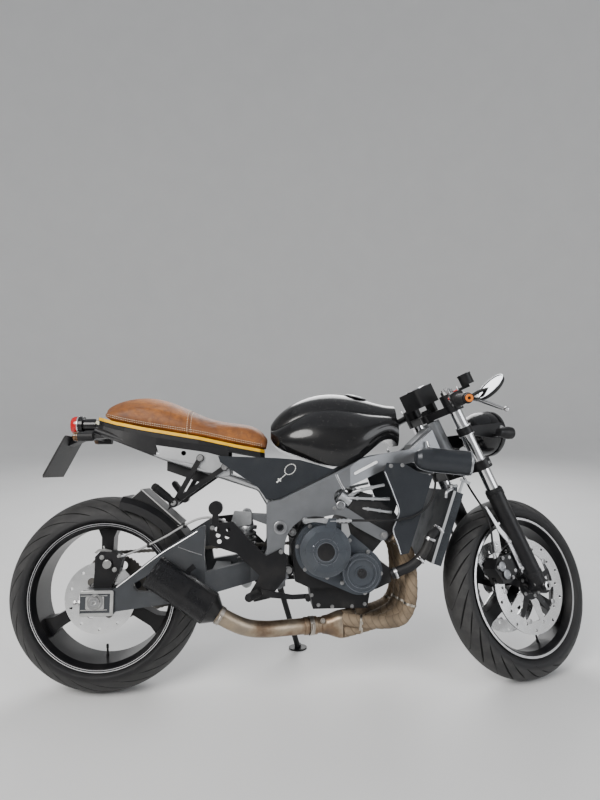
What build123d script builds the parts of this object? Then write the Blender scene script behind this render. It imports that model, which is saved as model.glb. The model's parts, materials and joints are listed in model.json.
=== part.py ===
from build123d import *
from math import asin, atan2, cos, degrees, pi, radians, sin, sqrt
import os

os.makedirs("parts", exist_ok=True)

# A cafe racer motorcycle, parked on its side stand with the steering on its left stop.
# Every piece is drawn with the machine upright and the wheels straight: +X is forward
# from the rear axle, +Y is the rider's left, +Z is up from the ground, in millimetres.
# At the end the whole machine leans onto its stand and the origin moves to the ground
# under its middle.

# Driving dimensions of the chassis
wheelbase = 1390
rake = 24
fork_offset = 30
fork_spacing = 210
steering_lock = 25
park_lean = 10
front_tyre_radius = 300
front_tyre_width = 120
rear_tyre_radius = 311
rear_tyre_width = 190

# Clearances and fits
fit = 0.05            # radial gap of a shaft in its bore
seat_gap = 0.3        # between a piece and the one that it rests on
running_gap = 5       # between pieces that move past each other

# Heights along the steering axis, from the point nearest the front axle
slider_top = 338
lower_yoke_bottom = 425
lower_yoke_thickness = 30
upper_yoke_bottom = 640
upper_yoke_thickness = 26
fork_cap_top = 722

stanchion_radius = 21.5
slider_radius = 28
stem_radius = 14

steer_dir = Vector(-sin(radians(rake)), 0, cos(radians(rake)))
steer_forward = Vector(cos(radians(rake)), 0, sin(radians(rake)))
front_axle = Vector(wheelbase, 0, front_tyre_radius)
rear_axle = Vector(0, 0, rear_tyre_radius)
steer_base = front_axle - steer_forward * fork_offset
fork_y = fork_spacing / 2


def across_steering(up):
    """A plane square to the steering axis: its X is forward and its Y is left."""
    return Plane(origin=steer_base + steer_dir * up, x_dir=steer_forward, z_dir=steer_dir)


def steering_point(forward, left, up):
    return steer_base + steer_forward * forward + Vector(0, left, 0) + steer_dir * up


def right(distance):
    """The plane at this distance right of the middle: its X is forward and its Y is up."""
    return Plane.XZ.offset(distance)


def left(distance):
    return Plane.XZ.offset(-distance)


def dome_section(x, bottom, shoulder, top, half_bottom, half_middle, half_shoulder):
    """An upright section across the machine: flat below, bulging sides and a domed top."""
    middle = (bottom + shoulder) / 2
    with BuildSketch(Plane.YZ.offset(x)) as section:
        with BuildLine():
            Line((-half_bottom, bottom), (half_bottom, bottom))
            ThreePointArc((half_bottom, bottom), (half_middle, middle), (half_shoulder, shoulder))
            ThreePointArc((half_shoulder, shoulder), (0, top), (-half_shoulder, shoulder))
            ThreePointArc((-half_shoulder, shoulder), (-half_middle, middle), (-half_bottom, bottom))
        make_face()
    return section


shoulder_drop = {"front": 48, "rear": 66}
tread_facets = 6
tread_sides = 60


def dome_radius(half_width, rise):
    """The radius of an arc that rises this much over this half width."""
    return (half_width**2 + rise**2) / (2 * rise)


def tread_points(name, radius, half_width):
    """The tread's section, from shoulder to shoulder, as straight stretches of an arc."""
    crown = dome_radius(half_width, shoulder_drop[name])
    edge = asin(half_width / crown)
    angles = [edge * (2 * step / tread_facets - 1) for step in range(tread_facets + 1)]
    return [(crown * sin(angle), radius - crown * (1 - cos(angle))) for angle in angles]


def lowest(centre, axis, tread):
    """How high the lowest point of a leaning tyre is."""
    return min(centre.Z + across * axis.Z - out * sqrt(1 - axis.Z**2) for across, out in tread)


# How it stands: the steering turns left to its stop, the machine leans left, and it
# pitches and sinks until both tyres touch the ground
head_frame = Location(across_steering(0))
steered = head_frame * Location((0, 0, 0), (0, 0, steering_lock)) * head_frame.inverse()
front_tread = tread_points("front", front_tyre_radius, front_tyre_width / 2)
rear_tread = tread_points("rear", rear_tyre_radius, rear_tyre_width / 2)


def turned(place, vector):
    """A direction carried by a placement."""
    return (place * Pos(*vector)).position - place.position


def moved_point(place, point):
    return (place * Pos(*point)).position


pitch = 0
for _ in range(6):
    leaning = Location((0, 0, 0), (0, pitch, 0)) * Location((0, 0, 0), (-park_lean, 0, 0))
    rear_low = lowest(moved_point(leaning, rear_axle), turned(leaning, (0, 1, 0)), rear_tread)
    front_low = lowest(moved_point(leaning * steered, front_axle),
                       turned(leaning * steered, (0, 1, 0)), front_tread)
    pitch += degrees((front_low - rear_low) / wheelbase)
parked = Pos(0, 0, -rear_low) * leaning
ground = Plane(parked.inverse())


def flat_turn(place):
    """Turns the flats round a tyre so that the middle of one is on the ground."""
    down = atan2(-turned(place, (0, 0, 1)).Z, -turned(place, (1, 0, 0)).Z)
    return degrees(down) - 180 / tread_sides


bodies = {"root": [], "steering": [], "front_wheel": [], "rear_wheel": [], "side_stand": []}

# Wheels and tyres
bead_seat = 222
bead_top = 231
flange_radius = 229
flange_width = 6
rim_inner = 208
axle_radius = 10
spoke_count = 3

front_hub_reach = 59
rear_hub_reach = 91
wheels = [
    # name, axle, tread, bead half width, hub radius, hub half length, spoke width, how it stands
    ("front", front_axle, front_tread, 44, 38, front_hub_reach, 40, parked * steered),
    ("rear", rear_axle, rear_tread, 78, 52, rear_hub_reach, 56, parked),
]
for name, axle, tread, bead, hub_radius, hub_reach, spoke, standing in wheels:
    wheel_section = Plane(origin=axle, x_dir=(0, 1, 0), z_dir=(1, 0, 0))
    wheel_face = Plane(origin=axle, x_dir=(1, 0, 0), z_dir=(0, -1, 0))
    axle_line = Axis(axle, (0, 1, 0))

    with BuildPart() as tyre:
        for across, out in [(-bead, bead_top), *tread, (bead, bead_top)]:
            with BuildSketch(wheel_face.offset(across)):
                RegularPolygon(out, tread_sides, major_radius=False, rotation=flat_turn(standing))
        loft(ruled=True)
        with BuildSketch(wheel_face):
            RegularPolygon(bead_seat, tread_sides, major_radius=False, rotation=flat_turn(standing))
        extrude(amount=bead, both=True, mode=Mode.SUBTRACT)
    tyre.part.label = f"{name}_tyre"

    with BuildPart() as rim:
        with BuildSketch(wheel_section):
            with BuildLine():
                Polyline((bead, bead_seat), (bead + seat_gap, bead_seat), (bead + seat_gap, flange_radius),
                         (bead + flange_width, flange_radius), (bead + flange_width, bead_seat - 4),
                         (bead - 14, rim_inner), (-bead + 14, rim_inner),
                         (-bead - flange_width, bead_seat - 4), (-bead - flange_width, flange_radius),
                         (-bead - seat_gap, flange_radius), (-bead - seat_gap, bead_seat),
                         (-bead, bead_seat), close=True)
            make_face()
        revolve(axis=axle_line)
        with BuildSketch(wheel_face):
            with PolarLocations(0, spoke_count, start_angle=90):
                Polygon((0, 26), (hub_radius + 30, 17), (rim_inner - 30, 20), (rim_inner + 3, 34),
                        (rim_inner + 3, -34), (rim_inner - 30, -20), (hub_radius + 30, -17), (0, -26),
                        align=None)
        extrude(amount=spoke / 2, both=True)
        with BuildSketch(wheel_face):
            Circle(hub_radius)
        extrude(amount=hub_reach, both=True)
        with BuildSketch(wheel_face):
            Circle(axle_radius + fit)
        extrude(amount=hub_reach, both=True, mode=Mode.SUBTRACT)
    rim.part.label = f"{name}_rim"
    bodies[f"{name}_wheel"] += [tyre, rim]

# Front brake discs: a floating ring on a carrier, one each side of the hub
disc_thickness = 5
front_disc_radius = 155
disc_ring_width = 42
carrier_arm_count = 5
drilling_radius = 5
# circle radius, holes, first hole's angle
front_drilling = [(124, 10, 0), (143, 10, 18)]
rear_drilling = [(94, 10, 18)]
front_face = Plane(origin=front_axle, x_dir=(1, 0, 0), z_dir=(0, -1, 0))
with BuildPart() as front_discs:
    with BuildSketch(front_face.offset(front_hub_reach)):
        Circle(front_disc_radius)
        Circle(front_disc_radius - disc_ring_width, mode=Mode.SUBTRACT)
        with PolarLocations(0, carrier_arm_count):
            Polygon((26, 16), (front_disc_radius - disc_ring_width + 3, 9),
                    (front_disc_radius - disc_ring_width + 3, -9), (26, -16), align=None)
        Circle(46)
        Circle(26, mode=Mode.SUBTRACT)
        for circle, count, first in front_drilling:
            with PolarLocations(circle, count, start_angle=first):
                Circle(drilling_radius, mode=Mode.SUBTRACT)
    extrude(amount=disc_thickness)
    mirror(about=Plane.XZ)
front_discs.part.label = "front_discs"
bodies["front_wheel"].append(front_discs)

# Rear brake disc on the right and sprocket on the left
rear_disc_radius = 110
rear_face = Plane(origin=rear_axle, x_dir=(1, 0, 0), z_dir=(0, -1, 0))
with BuildPart() as rear_disc:
    with BuildSketch(rear_face.offset(rear_hub_reach)):
        Circle(rear_disc_radius)
        Circle(32, mode=Mode.SUBTRACT)
        with PolarLocations(56, 6):
            Circle(13, mode=Mode.SUBTRACT)
        for circle, count, first in rear_drilling:
            with PolarLocations(circle, count, start_angle=first):
                Circle(drilling_radius, mode=Mode.SUBTRACT)
    extrude(amount=disc_thickness)
rear_disc.part.label = "rear_disc"
bodies["rear_wheel"].append(rear_disc)

# Chain drive
chain_pitch = 15.875
rear_teeth = 44
front_teeth = 15
chain_y = 108
chain_width = 15
link_height = 13
sprocket_thickness = 6
chain_running_gap = 1.5
rear_pitch_radius = chain_pitch / 2 / sin(pi / rear_teeth)
front_pitch_radius = chain_pitch / 2 / sin(pi / front_teeth)
drive_sprocket = Vector(645, 0, 408)
tooth_tip = rear_pitch_radius - link_height / 2 - chain_running_gap
with BuildPart() as rear_sprocket:
    with BuildSketch(rear_face.offset(-chain_y - sprocket_thickness / 2)):
        Circle(tooth_tip)
        with PolarLocations(tooth_tip, rear_teeth):
            Circle(3.4, mode=Mode.SUBTRACT)
        with PolarLocations(70, 5):
            Circle(15, mode=Mode.SUBTRACT)
        Circle(24, mode=Mode.SUBTRACT)
    extrude(amount=sprocket_thickness)
    with BuildSketch(rear_face.offset(-chain_y + sprocket_thickness / 2)):
        Circle(46)
        Circle(24, mode=Mode.SUBTRACT)
    extrude(amount=chain_y - sprocket_thickness / 2 - rear_hub_reach)
rear_sprocket.part.label = "rear_sprocket"
bodies["rear_wheel"].append(rear_sprocket)

# The chain's loop: two straight runs and an arc round each sprocket
chain_line = drive_sprocket - rear_axle
chain_angle = degrees(atan2(chain_line.Z, chain_line.X))
wrap_angle = degrees(asin((rear_pitch_radius - front_pitch_radius) / chain_line.length))


def chain_loop(growth):
    """The closed outline of the chain's loop, grown outwards by this much."""
    rear_r = rear_pitch_radius + growth
    front_r = front_pitch_radius + growth
    up_angle = radians(90 + chain_angle - wrap_angle)
    down_angle = radians(-90 + chain_angle + wrap_angle)

    def on_wheel(centre, r, angle):
        return (centre.X + r * cos(angle), centre.Z + r * sin(angle))

    rear_far = radians(180 + chain_angle)
    front_far = radians(chain_angle)
    with BuildLine(right(0)) as loop:
        ThreePointArc(on_wheel(rear_axle, rear_r, up_angle), on_wheel(rear_axle, rear_r, rear_far),
                      on_wheel(rear_axle, rear_r, down_angle))
        Line(on_wheel(rear_axle, rear_r, down_angle), on_wheel(drive_sprocket, front_r, down_angle))
        ThreePointArc(on_wheel(drive_sprocket, front_r, down_angle),
                      on_wheel(drive_sprocket, front_r, front_far),
                      on_wheel(drive_sprocket, front_r, up_angle))
        Line(on_wheel(drive_sprocket, front_r, up_angle), on_wheel(rear_axle, rear_r, up_angle))
    return loop.line


pitch_line = Wire(chain_loop(0).edges())
link_count = round(pitch_line.length / chain_pitch)
side_plate = 3
pin_radius = 4
with BuildPart() as drive_chain:
    for inner in (chain_y - chain_width / 2, chain_y + chain_width / 2 - side_plate):
        with BuildSketch(left(inner)):
            with BuildLine():
                add(chain_loop(link_height / 2))
            make_face()
            with BuildLine():
                add(chain_loop(-link_height / 2))
            make_face(mode=Mode.SUBTRACT)
        extrude(amount=-side_plate)
    with BuildSketch(left(chain_y - chain_width / 2 + side_plate)):
        # one at every second pitch, to keep the chain light
        pins = [pitch_line @ (link / link_count) for link in range(0, link_count, 2)]
        with Locations(*[(pin.X, pin.Z) for pin in pins]):
            RegularPolygon(pin_radius, 4)
    extrude(amount=-(chain_width - 2 * side_plate))
drive_chain.part.label = "drive_chain"
bodies["root"].append(drive_chain)

# Frame: a cast spar and pivot plate each side, and the steering head between them
plate_inner = 118
plate_outer = 152
head_half = 144
pivot = Vector(545, 0, 400)
pivot_radius = 28
# from the seat's corner along the top to the steering head, and back underneath
spar_top = [(522, 603), (540, 607), (563, 611), (741, 694), (830, 740), (901, 756), (1007, 772), (1085, 838)]
spar_bottom = [(1124, 748), (1013, 729), (906, 703), (774, 646)]
window_end = (760, 618)
window_radius = 24
# the arm that hangs the head's side from the spar
hanger_arm = [(732, 566), (746, 597), (779, 583), (837, 545), (905, 507), (900, 482), (884, 480),
              (801, 526), (770, 556)]
hanger_foot = (893, 497)
hanger_thickness = 9
hanger_boss = 15
engine_arch = [(700, 556), (640, 552), (598, 520), (578, 470)]
plate_foot = [(574, 400), (590, 372), (560, 345), (512, 350), (505, 420), (522, 460)]
spar_plan = [
    (480, plate_inner), (740, plate_inner), (1030, 58), (1130, 50),
    (1130, 66), (1040, 92), (790, plate_outer), (480, plate_outer),
]
bolt_hole = (564, 525)
bolt_hole_radius = 11
bolt_ring_radius = 22
ring_rise = 3
edge_chamfer = 6
# the spar's outer face ahead of the plate, and the long recess in it
spar_face = Plane(origin=(790, -plate_outer, 0), x_dir=(250, 60, 0), z_dir=(60, -250, 0))
recess_middle = (55, 711)
recess_length = 84
recess_width = 12
recess_depth = 3
with BuildPart() as frame_right:
    with BuildSketch(right(0)):
        with BuildLine():
            Polyline(*plate_foot, *spar_top, *spar_bottom)
            head_end = (window_end[0] - 8, window_end[1] + window_radius)
            Line(spar_bottom[-1], head_end)
            ThreePointArc(head_end, (window_end[0] - window_radius, window_end[1]),
                          (window_end[0] - 8, window_end[1] - window_radius))
            Line((window_end[0] - 8, window_end[1] - window_radius), (754, 566))
            Line((754, 566), engine_arch[0])
            ThreePointArc(engine_arch[0], engine_arch[2], engine_arch[3])
            Line(engine_arch[3], plate_foot[0])
        make_face()
        with Locations(bolt_hole):
            Circle(bolt_hole_radius, mode=Mode.SUBTRACT)
        with Locations((pivot.X, pivot.Z)):
            Circle(axle_radius, mode=Mode.SUBTRACT)
    extrude(amount=plate_outer + 10)
    with BuildSketch(Plane.XY.offset(200)):
        Polygon(*[(x, -y) for x, y in spar_plan], align=None)
    extrude(amount=800, mode=Mode.INTERSECT)
    outer_edges = frame_right.faces().sort_by(Axis.Y)[0].outer_wire().edges()
    chamfer(outer_edges.filter_by_position(Axis.X, 510, 790).group_by(Axis.Z)[-1], length=edge_chamfer)
    with BuildSketch(right(plate_outer)):
        with Locations(bolt_hole, (pivot.X, pivot.Z)):
            Circle(bolt_ring_radius)
        with Locations(bolt_hole):
            Circle(bolt_hole_radius, mode=Mode.SUBTRACT)
        with Locations((pivot.X, pivot.Z)):
            Circle(axle_radius, mode=Mode.SUBTRACT)
    extrude(amount=ring_rise)
    with BuildSketch(spar_face.offset(-recess_depth)):
        with Locations(recess_middle):
            SlotCenterToCenter(recess_length, recess_width, rotation=25.5)
    extrude(amount=2 * recess_depth, mode=Mode.SUBTRACT)
    with BuildSketch(right(head_half + seat_gap)):
        Polygon(*hanger_arm, align=None)
        with Locations(hanger_foot):
            Circle(hanger_boss)
    extrude(amount=hanger_thickness)
    with BuildSketch(right(head_half + seat_gap + hanger_thickness)):
        with Locations(hanger_foot):
            Circle(hanger_boss - 5)
    extrude(amount=4)
frame_right.part.label = "frame_right"

# The head tube leans with the fork; the casting behind it carries both spars
head_bottom = lower_yoke_bottom + lower_yoke_thickness + running_gap
head_top = upper_yoke_bottom - running_gap
head_half_width = 49.7
with BuildPart() as steering_head:
    with BuildSketch(right(-head_half_width)):
        Polygon((1150, 704), (1085, 850), (1020, 790), (1016, 735), align=None)
    extrude(amount=2 * head_half_width)
    with BuildSketch(across_steering(head_bottom)):
        Circle(31)
    extrude(amount=head_top - head_bottom)
    with BuildSketch(across_steering(head_bottom)):
        Circle(stem_radius + fit)
    extrude(amount=head_top - head_bottom, mode=Mode.SUBTRACT)
steering_head.part.label = "steering_head"

# Side stand: it hangs from the left plate, and folds up and back
stand_pivot = Vector(566, 138, 300)
stand_foot_x = 640
stand_foot_y = 236
stand_folded = Vector(296, 190, 262)
stand_plate = 12
stand_eye_radius = 17
stand_bolt_radius = 7
stand_tube_radius = 10
foot_radius = 24
foot_thickness = 6
ground_rise = -ground.z_dir.Y / ground.z_dir.Z
ground_slope = -ground.z_dir.X / ground.z_dir.Z
ground_at_middle = ground.origin.dot(ground.z_dir) / ground.z_dir.Z
stand_foot = Vector(stand_foot_x, stand_foot_y,
                    ground_at_middle + ground_slope * stand_foot_x + ground_rise * stand_foot_y)
stand_leg = stand_foot - stand_pivot
stand_axis = stand_leg.cross(stand_folded - stand_pivot).normalized()
stand_travel = stand_leg.get_angle(stand_folded - stand_pivot)
stand_plane = Plane(origin=stand_pivot, x_dir=stand_leg, z_dir=stand_axis)

with BuildPart() as side_stand:
    with BuildSketch(stand_plane.offset(seat_gap)):
        Circle(stand_eye_radius)
        Polygon((0, 12), (60, 9), (60, -9), (0, -12), align=None)
        Circle(stand_bolt_radius + fit, mode=Mode.SUBTRACT)
    extrude(amount=stand_plate)
    leg_start = stand_plane.offset(seat_gap + stand_plate / 2).from_local_coords((50, 0, 0))
    leg_end = stand_foot + ground.z_dir * foot_thickness
    with BuildSketch(Plane(origin=leg_start, z_dir=leg_end - leg_start)):
        Circle(stand_tube_radius)
    extrude(amount=(leg_end - leg_start).length - stand_tube_radius / 2)
    with BuildSketch(Plane(origin=stand_foot, x_dir=(1, 0, 0), z_dir=ground.z_dir)):
        Ellipse(foot_radius * 1.4, foot_radius)
    extrude(amount=foot_thickness)
    with BuildSketch(Plane(origin=stand_foot + ground.z_dir * foot_thickness, x_dir=(1, 0, 0),
                           z_dir=ground.z_dir)):
        Circle(stand_tube_radius + 2)
    extrude(amount=12)
side_stand.part.label = "side_stand"
bodies["side_stand"].append(side_stand)

# The left frame is the right one's mirror, with the lug that the stand turns on
with BuildPart() as frame_left:
    add(mirror(frame_right.part, about=Plane.XZ, mode=Mode.PRIVATE))
    with BuildSketch(stand_plane):
        Circle(stand_eye_radius)
    extrude(amount=-stand_plate)
    with BuildSketch(left(plate_inner)):
        Polygon((545, 300), (560, 286), (590, 292), (590, 372), (548, 372), align=None)
    extrude(amount=-12)
    with BuildSketch(stand_plane.offset(-stand_plate)):
        Circle(stand_bolt_radius)
    extrude(amount=2 * stand_plate + 2 * seat_gap)
    with BuildSketch(stand_plane.offset(stand_plate + 2 * seat_gap)):
        Circle(stand_bolt_radius + 4)
    extrude(amount=5)
frame_left.part.label = "frame_left"
bodies["root"] += [frame_right, frame_left, steering_head]

# Swingarm: a braced triangular arm each side, beams that run between the chain's two
# runs to the pivot tube, and a cross beam ahead of the tyre
arm_inner = 121
arm_outer = 152
arm_profile = [
    (50, 279), (50, 345), (189, 454), (309, 527), (330, 538), (326, 440), (338, 372), (326, 316), (222, 300),
]
arm_window = [(106, 358), (122, 337), (240, 330), (258, 348), (158, 388)]
arm_face_step = 3
block_rear = -46
block_front = 56
block_bottom = 268
block_top = 346
beam_sections = [
    # x, inner side, outer side, bottom, top
    (330, arm_inner, arm_outer, 322, 392),
    (470, 78, 112, 352, 418),
    (pivot.X, 78, 112, 376, 424),
]
with BuildPart() as swingarm:
    with BuildSketch(right(arm_inner + arm_face_step)) as arm_side:
        Polygon(*arm_profile, align=None)
        fillet(arm_side.vertices().sort_by(Axis.X)[2:], radius=6)
    extrude(amount=arm_outer - arm_inner - 2 * arm_face_step)
    with BuildSketch(right(arm_inner)) as arm_opening:
        Polygon(*arm_window, align=None)
        fillet(arm_opening.vertices(), radius=8)
    extrude(amount=arm_outer - arm_inner, mode=Mode.SUBTRACT)
    with BuildSketch(right(arm_inner)):
        with Locations(((block_rear + block_front) / 2, (block_bottom + block_top) / 2)):
            RectangleRounded(block_front - block_rear, block_top - block_bottom, 10)
        with Locations((0, rear_axle.Z)):
            Circle(axle_radius, mode=Mode.SUBTRACT)
    extrude(amount=arm_outer - arm_inner)
    for start, end in zip(beam_sections, beam_sections[1:]):
        for x, inner, outer, bottom, top in (start, end):
            with BuildSketch(Plane.YZ.offset(x)):
                Polygon((-outer, bottom), (-inner, bottom), (-inner, top), (-outer, top), align=None)
        loft()
    mirror(about=Plane.XZ)
    with Locations((372, 0, 360)):
        Box(52, 2 * 108, 54)
    with BuildSketch(right(0)):
        with Locations((pivot.X, pivot.Z)):
            Circle(pivot_radius)
    extrude(amount=plate_inner - seat_gap, both=True)
    with BuildSketch(right(0)):
        with Locations((pivot.X, pivot.Z)):
            Circle(axle_radius)
    extrude(amount=plate_inner, both=True, mode=Mode.SUBTRACT)
swingarm.part.label = "swingarm"

# Rear axle with its nuts and spacers, bored in both ends for a stand's pins
axle_bore = 6
axle_bore_depth = 40
rear_axle_reach = 164
with BuildPart() as rear_axle_piece:
    with BuildSketch(rear_face.offset(-rear_axle_reach)):
        Circle(axle_radius)
    extrude(amount=2 * rear_axle_reach)
    for side in (right, left):
        with BuildSketch(side(arm_outer)):
            with Locations((0, rear_axle.Z)):
                RegularPolygon(18, 6)
        extrude(amount=(1 if side is right else -1) * 9)
        with BuildSketch(side(rear_hub_reach + seat_gap)):
            with Locations((0, rear_axle.Z)):
                Circle(17)
        extrude(amount=(1 if side is right else -1) * (arm_inner - rear_hub_reach - 2 * seat_gap))
    for side in (-1, 1):
        with BuildSketch(rear_face.offset(side * rear_axle_reach)):
            Circle(axle_bore)
        extrude(amount=-side * axle_bore_depth, mode=Mode.SUBTRACT)
rear_axle_piece.part.label = "rear_axle"
bodies["root"] += [swingarm, rear_axle_piece]

# Rear shock absorber between the swingarm's beams
shock_x = 455
shock_bottom = 345
shock_top = 520
coil_count = 8
coil_wire = 5
with BuildPart() as shock_absorber:
    with BuildSketch(Plane.XY.offset(shock_bottom)):
        with Locations((shock_x, 0)):
            Circle(24)
    extrude(amount=shock_top - shock_bottom)
    for turn in range(coil_count):
        with BuildSketch(Plane.XY.offset(shock_bottom + 14 + turn * 20)):
            with Locations((shock_x, 0)):
                Circle(34)
        extrude(amount=2 * coil_wire)
    with BuildSketch(Plane.XY.offset(shock_top)):
        with Locations((shock_x, 0)):
            Rectangle(36, 36)
    extrude(amount=30)
    with BuildSketch(right(20)):
        with Locations((shock_x, shock_top + 40)):
            Circle(17)
    extrude(amount=-40)
    with BuildSketch(right(20)):
        with Locations((shock_x, shock_top + 40)):
            Circle(6 + fit)
    extrude(amount=-40, mode=Mode.SUBTRACT)
    with BuildSketch(right(12)):
        with Locations((shock_x, shock_bottom - 12)):
            Circle(18)
    extrude(amount=-24)
    # the drilled plate beside the shock's head, on a stub
    with BuildSketch(right(15)):
        with Locations((445, 530)):
            Circle(7)
    extrude(amount=17)
    with BuildSketch(right(30)):
        Polygon((413, 570), (471, 564), (471, 526), (402, 516), align=None)
        with Locations((430, 556), (462, 552), (418, 527)):
            Circle(4, mode=Mode.SUBTRACT)
    extrude(amount=5)
shock_absorber.part.label = "shock_absorber"
bodies["root"].append(shock_absorber)

# Engine: crankcase with its sump, and the cylinders leaning forward under the spars
case_half = 112
sprocket_pocket = 95
cylinder_lean = 36
cylinder_foot = Vector(795, 0, 462)
block_half = 134
cam_cover_half = 138
cylinder_plane = Plane(origin=cylinder_foot, z_dir=(0, -1, 0),
                       x_dir=(sin(radians(cylinder_lean)), 0, cos(radians(cylinder_lean))))
case_profile = [
    (600, 470), (612, 352), (660, 330), (672, 256), (850, 256), (866, 330), (915, 352), (915, 392),
    (870, 420), (782, 480), (724, 540), (634, 540),
]
engine_bosses = [(604, 507), (590, 388)]
engine_boss_radius = 18
crank_half = 148
crank_profile = [(722, 480), (722, 352), (866, 330), (915, 352), (915, 392), (870, 420), (782, 480)]
with BuildPart() as cylinder_block:
    with BuildSketch(cylinder_plane):
        Polygon((0, 62), (0, -62), (78, -70), (78, 70), align=None)
    extrude(amount=block_half, both=True)
    with BuildSketch(cylinder_plane):
        Polygon((78, 80), (78, -80), (134, -84), (134, 84), align=None)
    extrude(amount=head_half, both=True)
    with BuildSketch(cylinder_plane):
        Polygon((134, 76), (134, -76), (160, -70), (168, -48), (168, 48), (160, 70), align=None)
    extrude(amount=cam_cover_half, both=True)
cylinder_block.part.label = "cylinder_block"

with BuildPart() as crankcase:
    with BuildSketch(right(0)):
        Polygon(*case_profile, align=None)
    extrude(amount=case_half, both=True)
    with BuildSketch(right(0)):
        Polygon(*crank_profile, align=None)
    extrude(amount=crank_half, both=True)
    # the sump narrows below the gearbox
    for side in (-1, 1):
        with BuildSketch(Plane.XY.offset(250)):
            with Locations((760, side * (70 + 50))):
                Rectangle(340, 100)
        extrude(amount=80, mode=Mode.SUBTRACT)
    # the pocket of the drive sprocket, and its shaft
    with BuildSketch(left(sprocket_pocket)):
        with Locations((drive_sprocket.X, drive_sprocket.Z)):
            Circle(front_pitch_radius + link_height / 2 + running_gap)
        Polygon((590, 330), (645, 360), (645, 458), (590, 480), align=None)
    extrude(amount=sprocket_pocket - case_half - 1, mode=Mode.SUBTRACT)
    with BuildSketch(left(sprocket_pocket)):
        with Locations((drive_sprocket.X, drive_sprocket.Z)):
            Circle(15)
    extrude(amount=sprocket_pocket - chain_y + sprocket_thickness / 2)
    with BuildSketch(left(chain_y - sprocket_thickness / 2)):
        with Locations((drive_sprocket.X, drive_sprocket.Z)):
            Circle(front_pitch_radius - pin_radius - seat_gap)
    extrude(amount=-sprocket_thickness)
    # the bosses that meet the pivot plates
    with BuildSketch(right(0)):
        with Locations(*engine_bosses):
            Circle(engine_boss_radius)
    extrude(amount=plate_inner - seat_gap, both=True)
    add(cylinder_block.part, mode=Mode.SUBTRACT)
crankcase.part.label = "crankcase"
bodies["root"] += [crankcase, cylinder_block]

# Right covers: the clutch with its ribs, and the small pulse cover with its rings
clutch_centre = (701, 457)
clutch_radius = 79
clutch_reach = 218
clutch_bevel = 14
cover_flange = 12
cover_base = 160
clutch_rib_count = 6
clutch_rib_rise = 1.5
pulse_centre = (813, 388)
pulse_radius = 60
pulse_reach = 196
with BuildPart() as right_covers:
    with BuildSketch(right(case_half)):
        with Locations(clutch_centre):
            Circle(clutch_radius + cover_flange)
        with Locations(pulse_centre):
            Circle(pulse_radius + cover_flange)
        make_hull()
    extrude(amount=cover_base - case_half)
    with BuildSketch(right(case_half)):
        with Locations(clutch_centre):
            Circle(clutch_radius)
    extrude(amount=clutch_reach - case_half - clutch_bevel)
    with BuildSketch(right(clutch_reach - clutch_bevel)):
        with Locations(clutch_centre):
            Circle(clutch_radius)
    extrude(amount=clutch_bevel, taper=50)
    with BuildSketch(right(clutch_reach)):
        with Locations(clutch_centre):
            Circle(34)
    extrude(amount=4)
    with BuildSketch(right(clutch_reach - 6)):
        with Locations(clutch_centre):
            with PolarLocations(0, clutch_rib_count, start_angle=0):
                Polygon((30, 2.5), (66, 2.5), (66, -2.5), (30, -2.5), align=None)
    extrude(amount=6 + clutch_rib_rise)
    # the cover's bolts stand round its flange
    with BuildSketch(right(cover_base)):
        with Locations(clutch_centre):
            with PolarLocations(clutch_radius + 6, 7, start_angle=70):
                Circle(5)
        with Locations(pulse_centre):
            with PolarLocations(pulse_radius + 6, 5, start_angle=-150):
                Circle(5)
    extrude(amount=6)
    with BuildSketch(right(clutch_reach - 26)):
        Polygon((700, 530), (735, 516), (735, 556), (712, 556), align=None)
    extrude(amount=18)
    with BuildSketch(right(case_half)):
        with Locations(pulse_centre):
            Circle(pulse_radius)
    extrude(amount=pulse_reach - case_half)
    with BuildSketch(right(pulse_reach)):
        with Locations(pulse_centre):
            Circle(pulse_radius - 12)
            Circle(pulse_radius - 20, mode=Mode.SUBTRACT)
            Circle(20)
    extrude(amount=5)
    add(crankcase.part, mode=Mode.SUBTRACT)
    add(cylinder_block.part, mode=Mode.SUBTRACT)
right_covers.part.label = "right_covers"

# Left covers: the alternator's drum, and the sprocket cover behind it
alternator_centre = (800, 392)
alternator_radius = 66
alternator_reach = 188
with BuildPart() as left_covers:
    with BuildSketch(left(case_half)):
        with Locations(alternator_centre):
            Circle(alternator_radius)
    extrude(amount=case_half - alternator_reach)
    with BuildSketch(left(alternator_reach)):
        with Locations(alternator_centre):
            Circle(30)
    extrude(amount=-5)
    with BuildSketch(left(chain_y + chain_width)):
        Polygon((604, 360), (604, 460), (640, 480), (716, 470), (716, 372), (664, 346), align=None)
    extrude(amount=-26)
    with BuildSketch(left(case_half)):
        with Locations((708, 440)):
            Circle(13)
    extrude(amount=-(chain_y + chain_width - case_half))
    add(crankcase.part, mode=Mode.SUBTRACT)
    add(cylinder_block.part, mode=Mode.SUBTRACT)
left_covers.part.label = "left_covers"

# Throttle bodies: four short tubes from the back of the head, joined by a rail
throttle_spacing = 80
throttle_radius = 24
throttle_face = Plane(
    origin=cylinder_plane.from_local_coords((106, 84, 0)),
    x_dir=(0, 1, 0),
    z_dir=cylinder_plane.y_dir,
)
with BuildPart() as throttle_bodies:
    with BuildSketch(throttle_face.offset(seat_gap)):
        with GridLocations(throttle_spacing, 1, 4, 1):
            Circle(throttle_radius)
    extrude(amount=40)
    with BuildSketch(throttle_face.offset(12)):
        Rectangle(3.4 * throttle_spacing, 18)
    extrude(amount=18)
throttle_bodies.part.label = "throttle_bodies"
bodies["root"] += [right_covers, left_covers, throttle_bodies]

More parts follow.
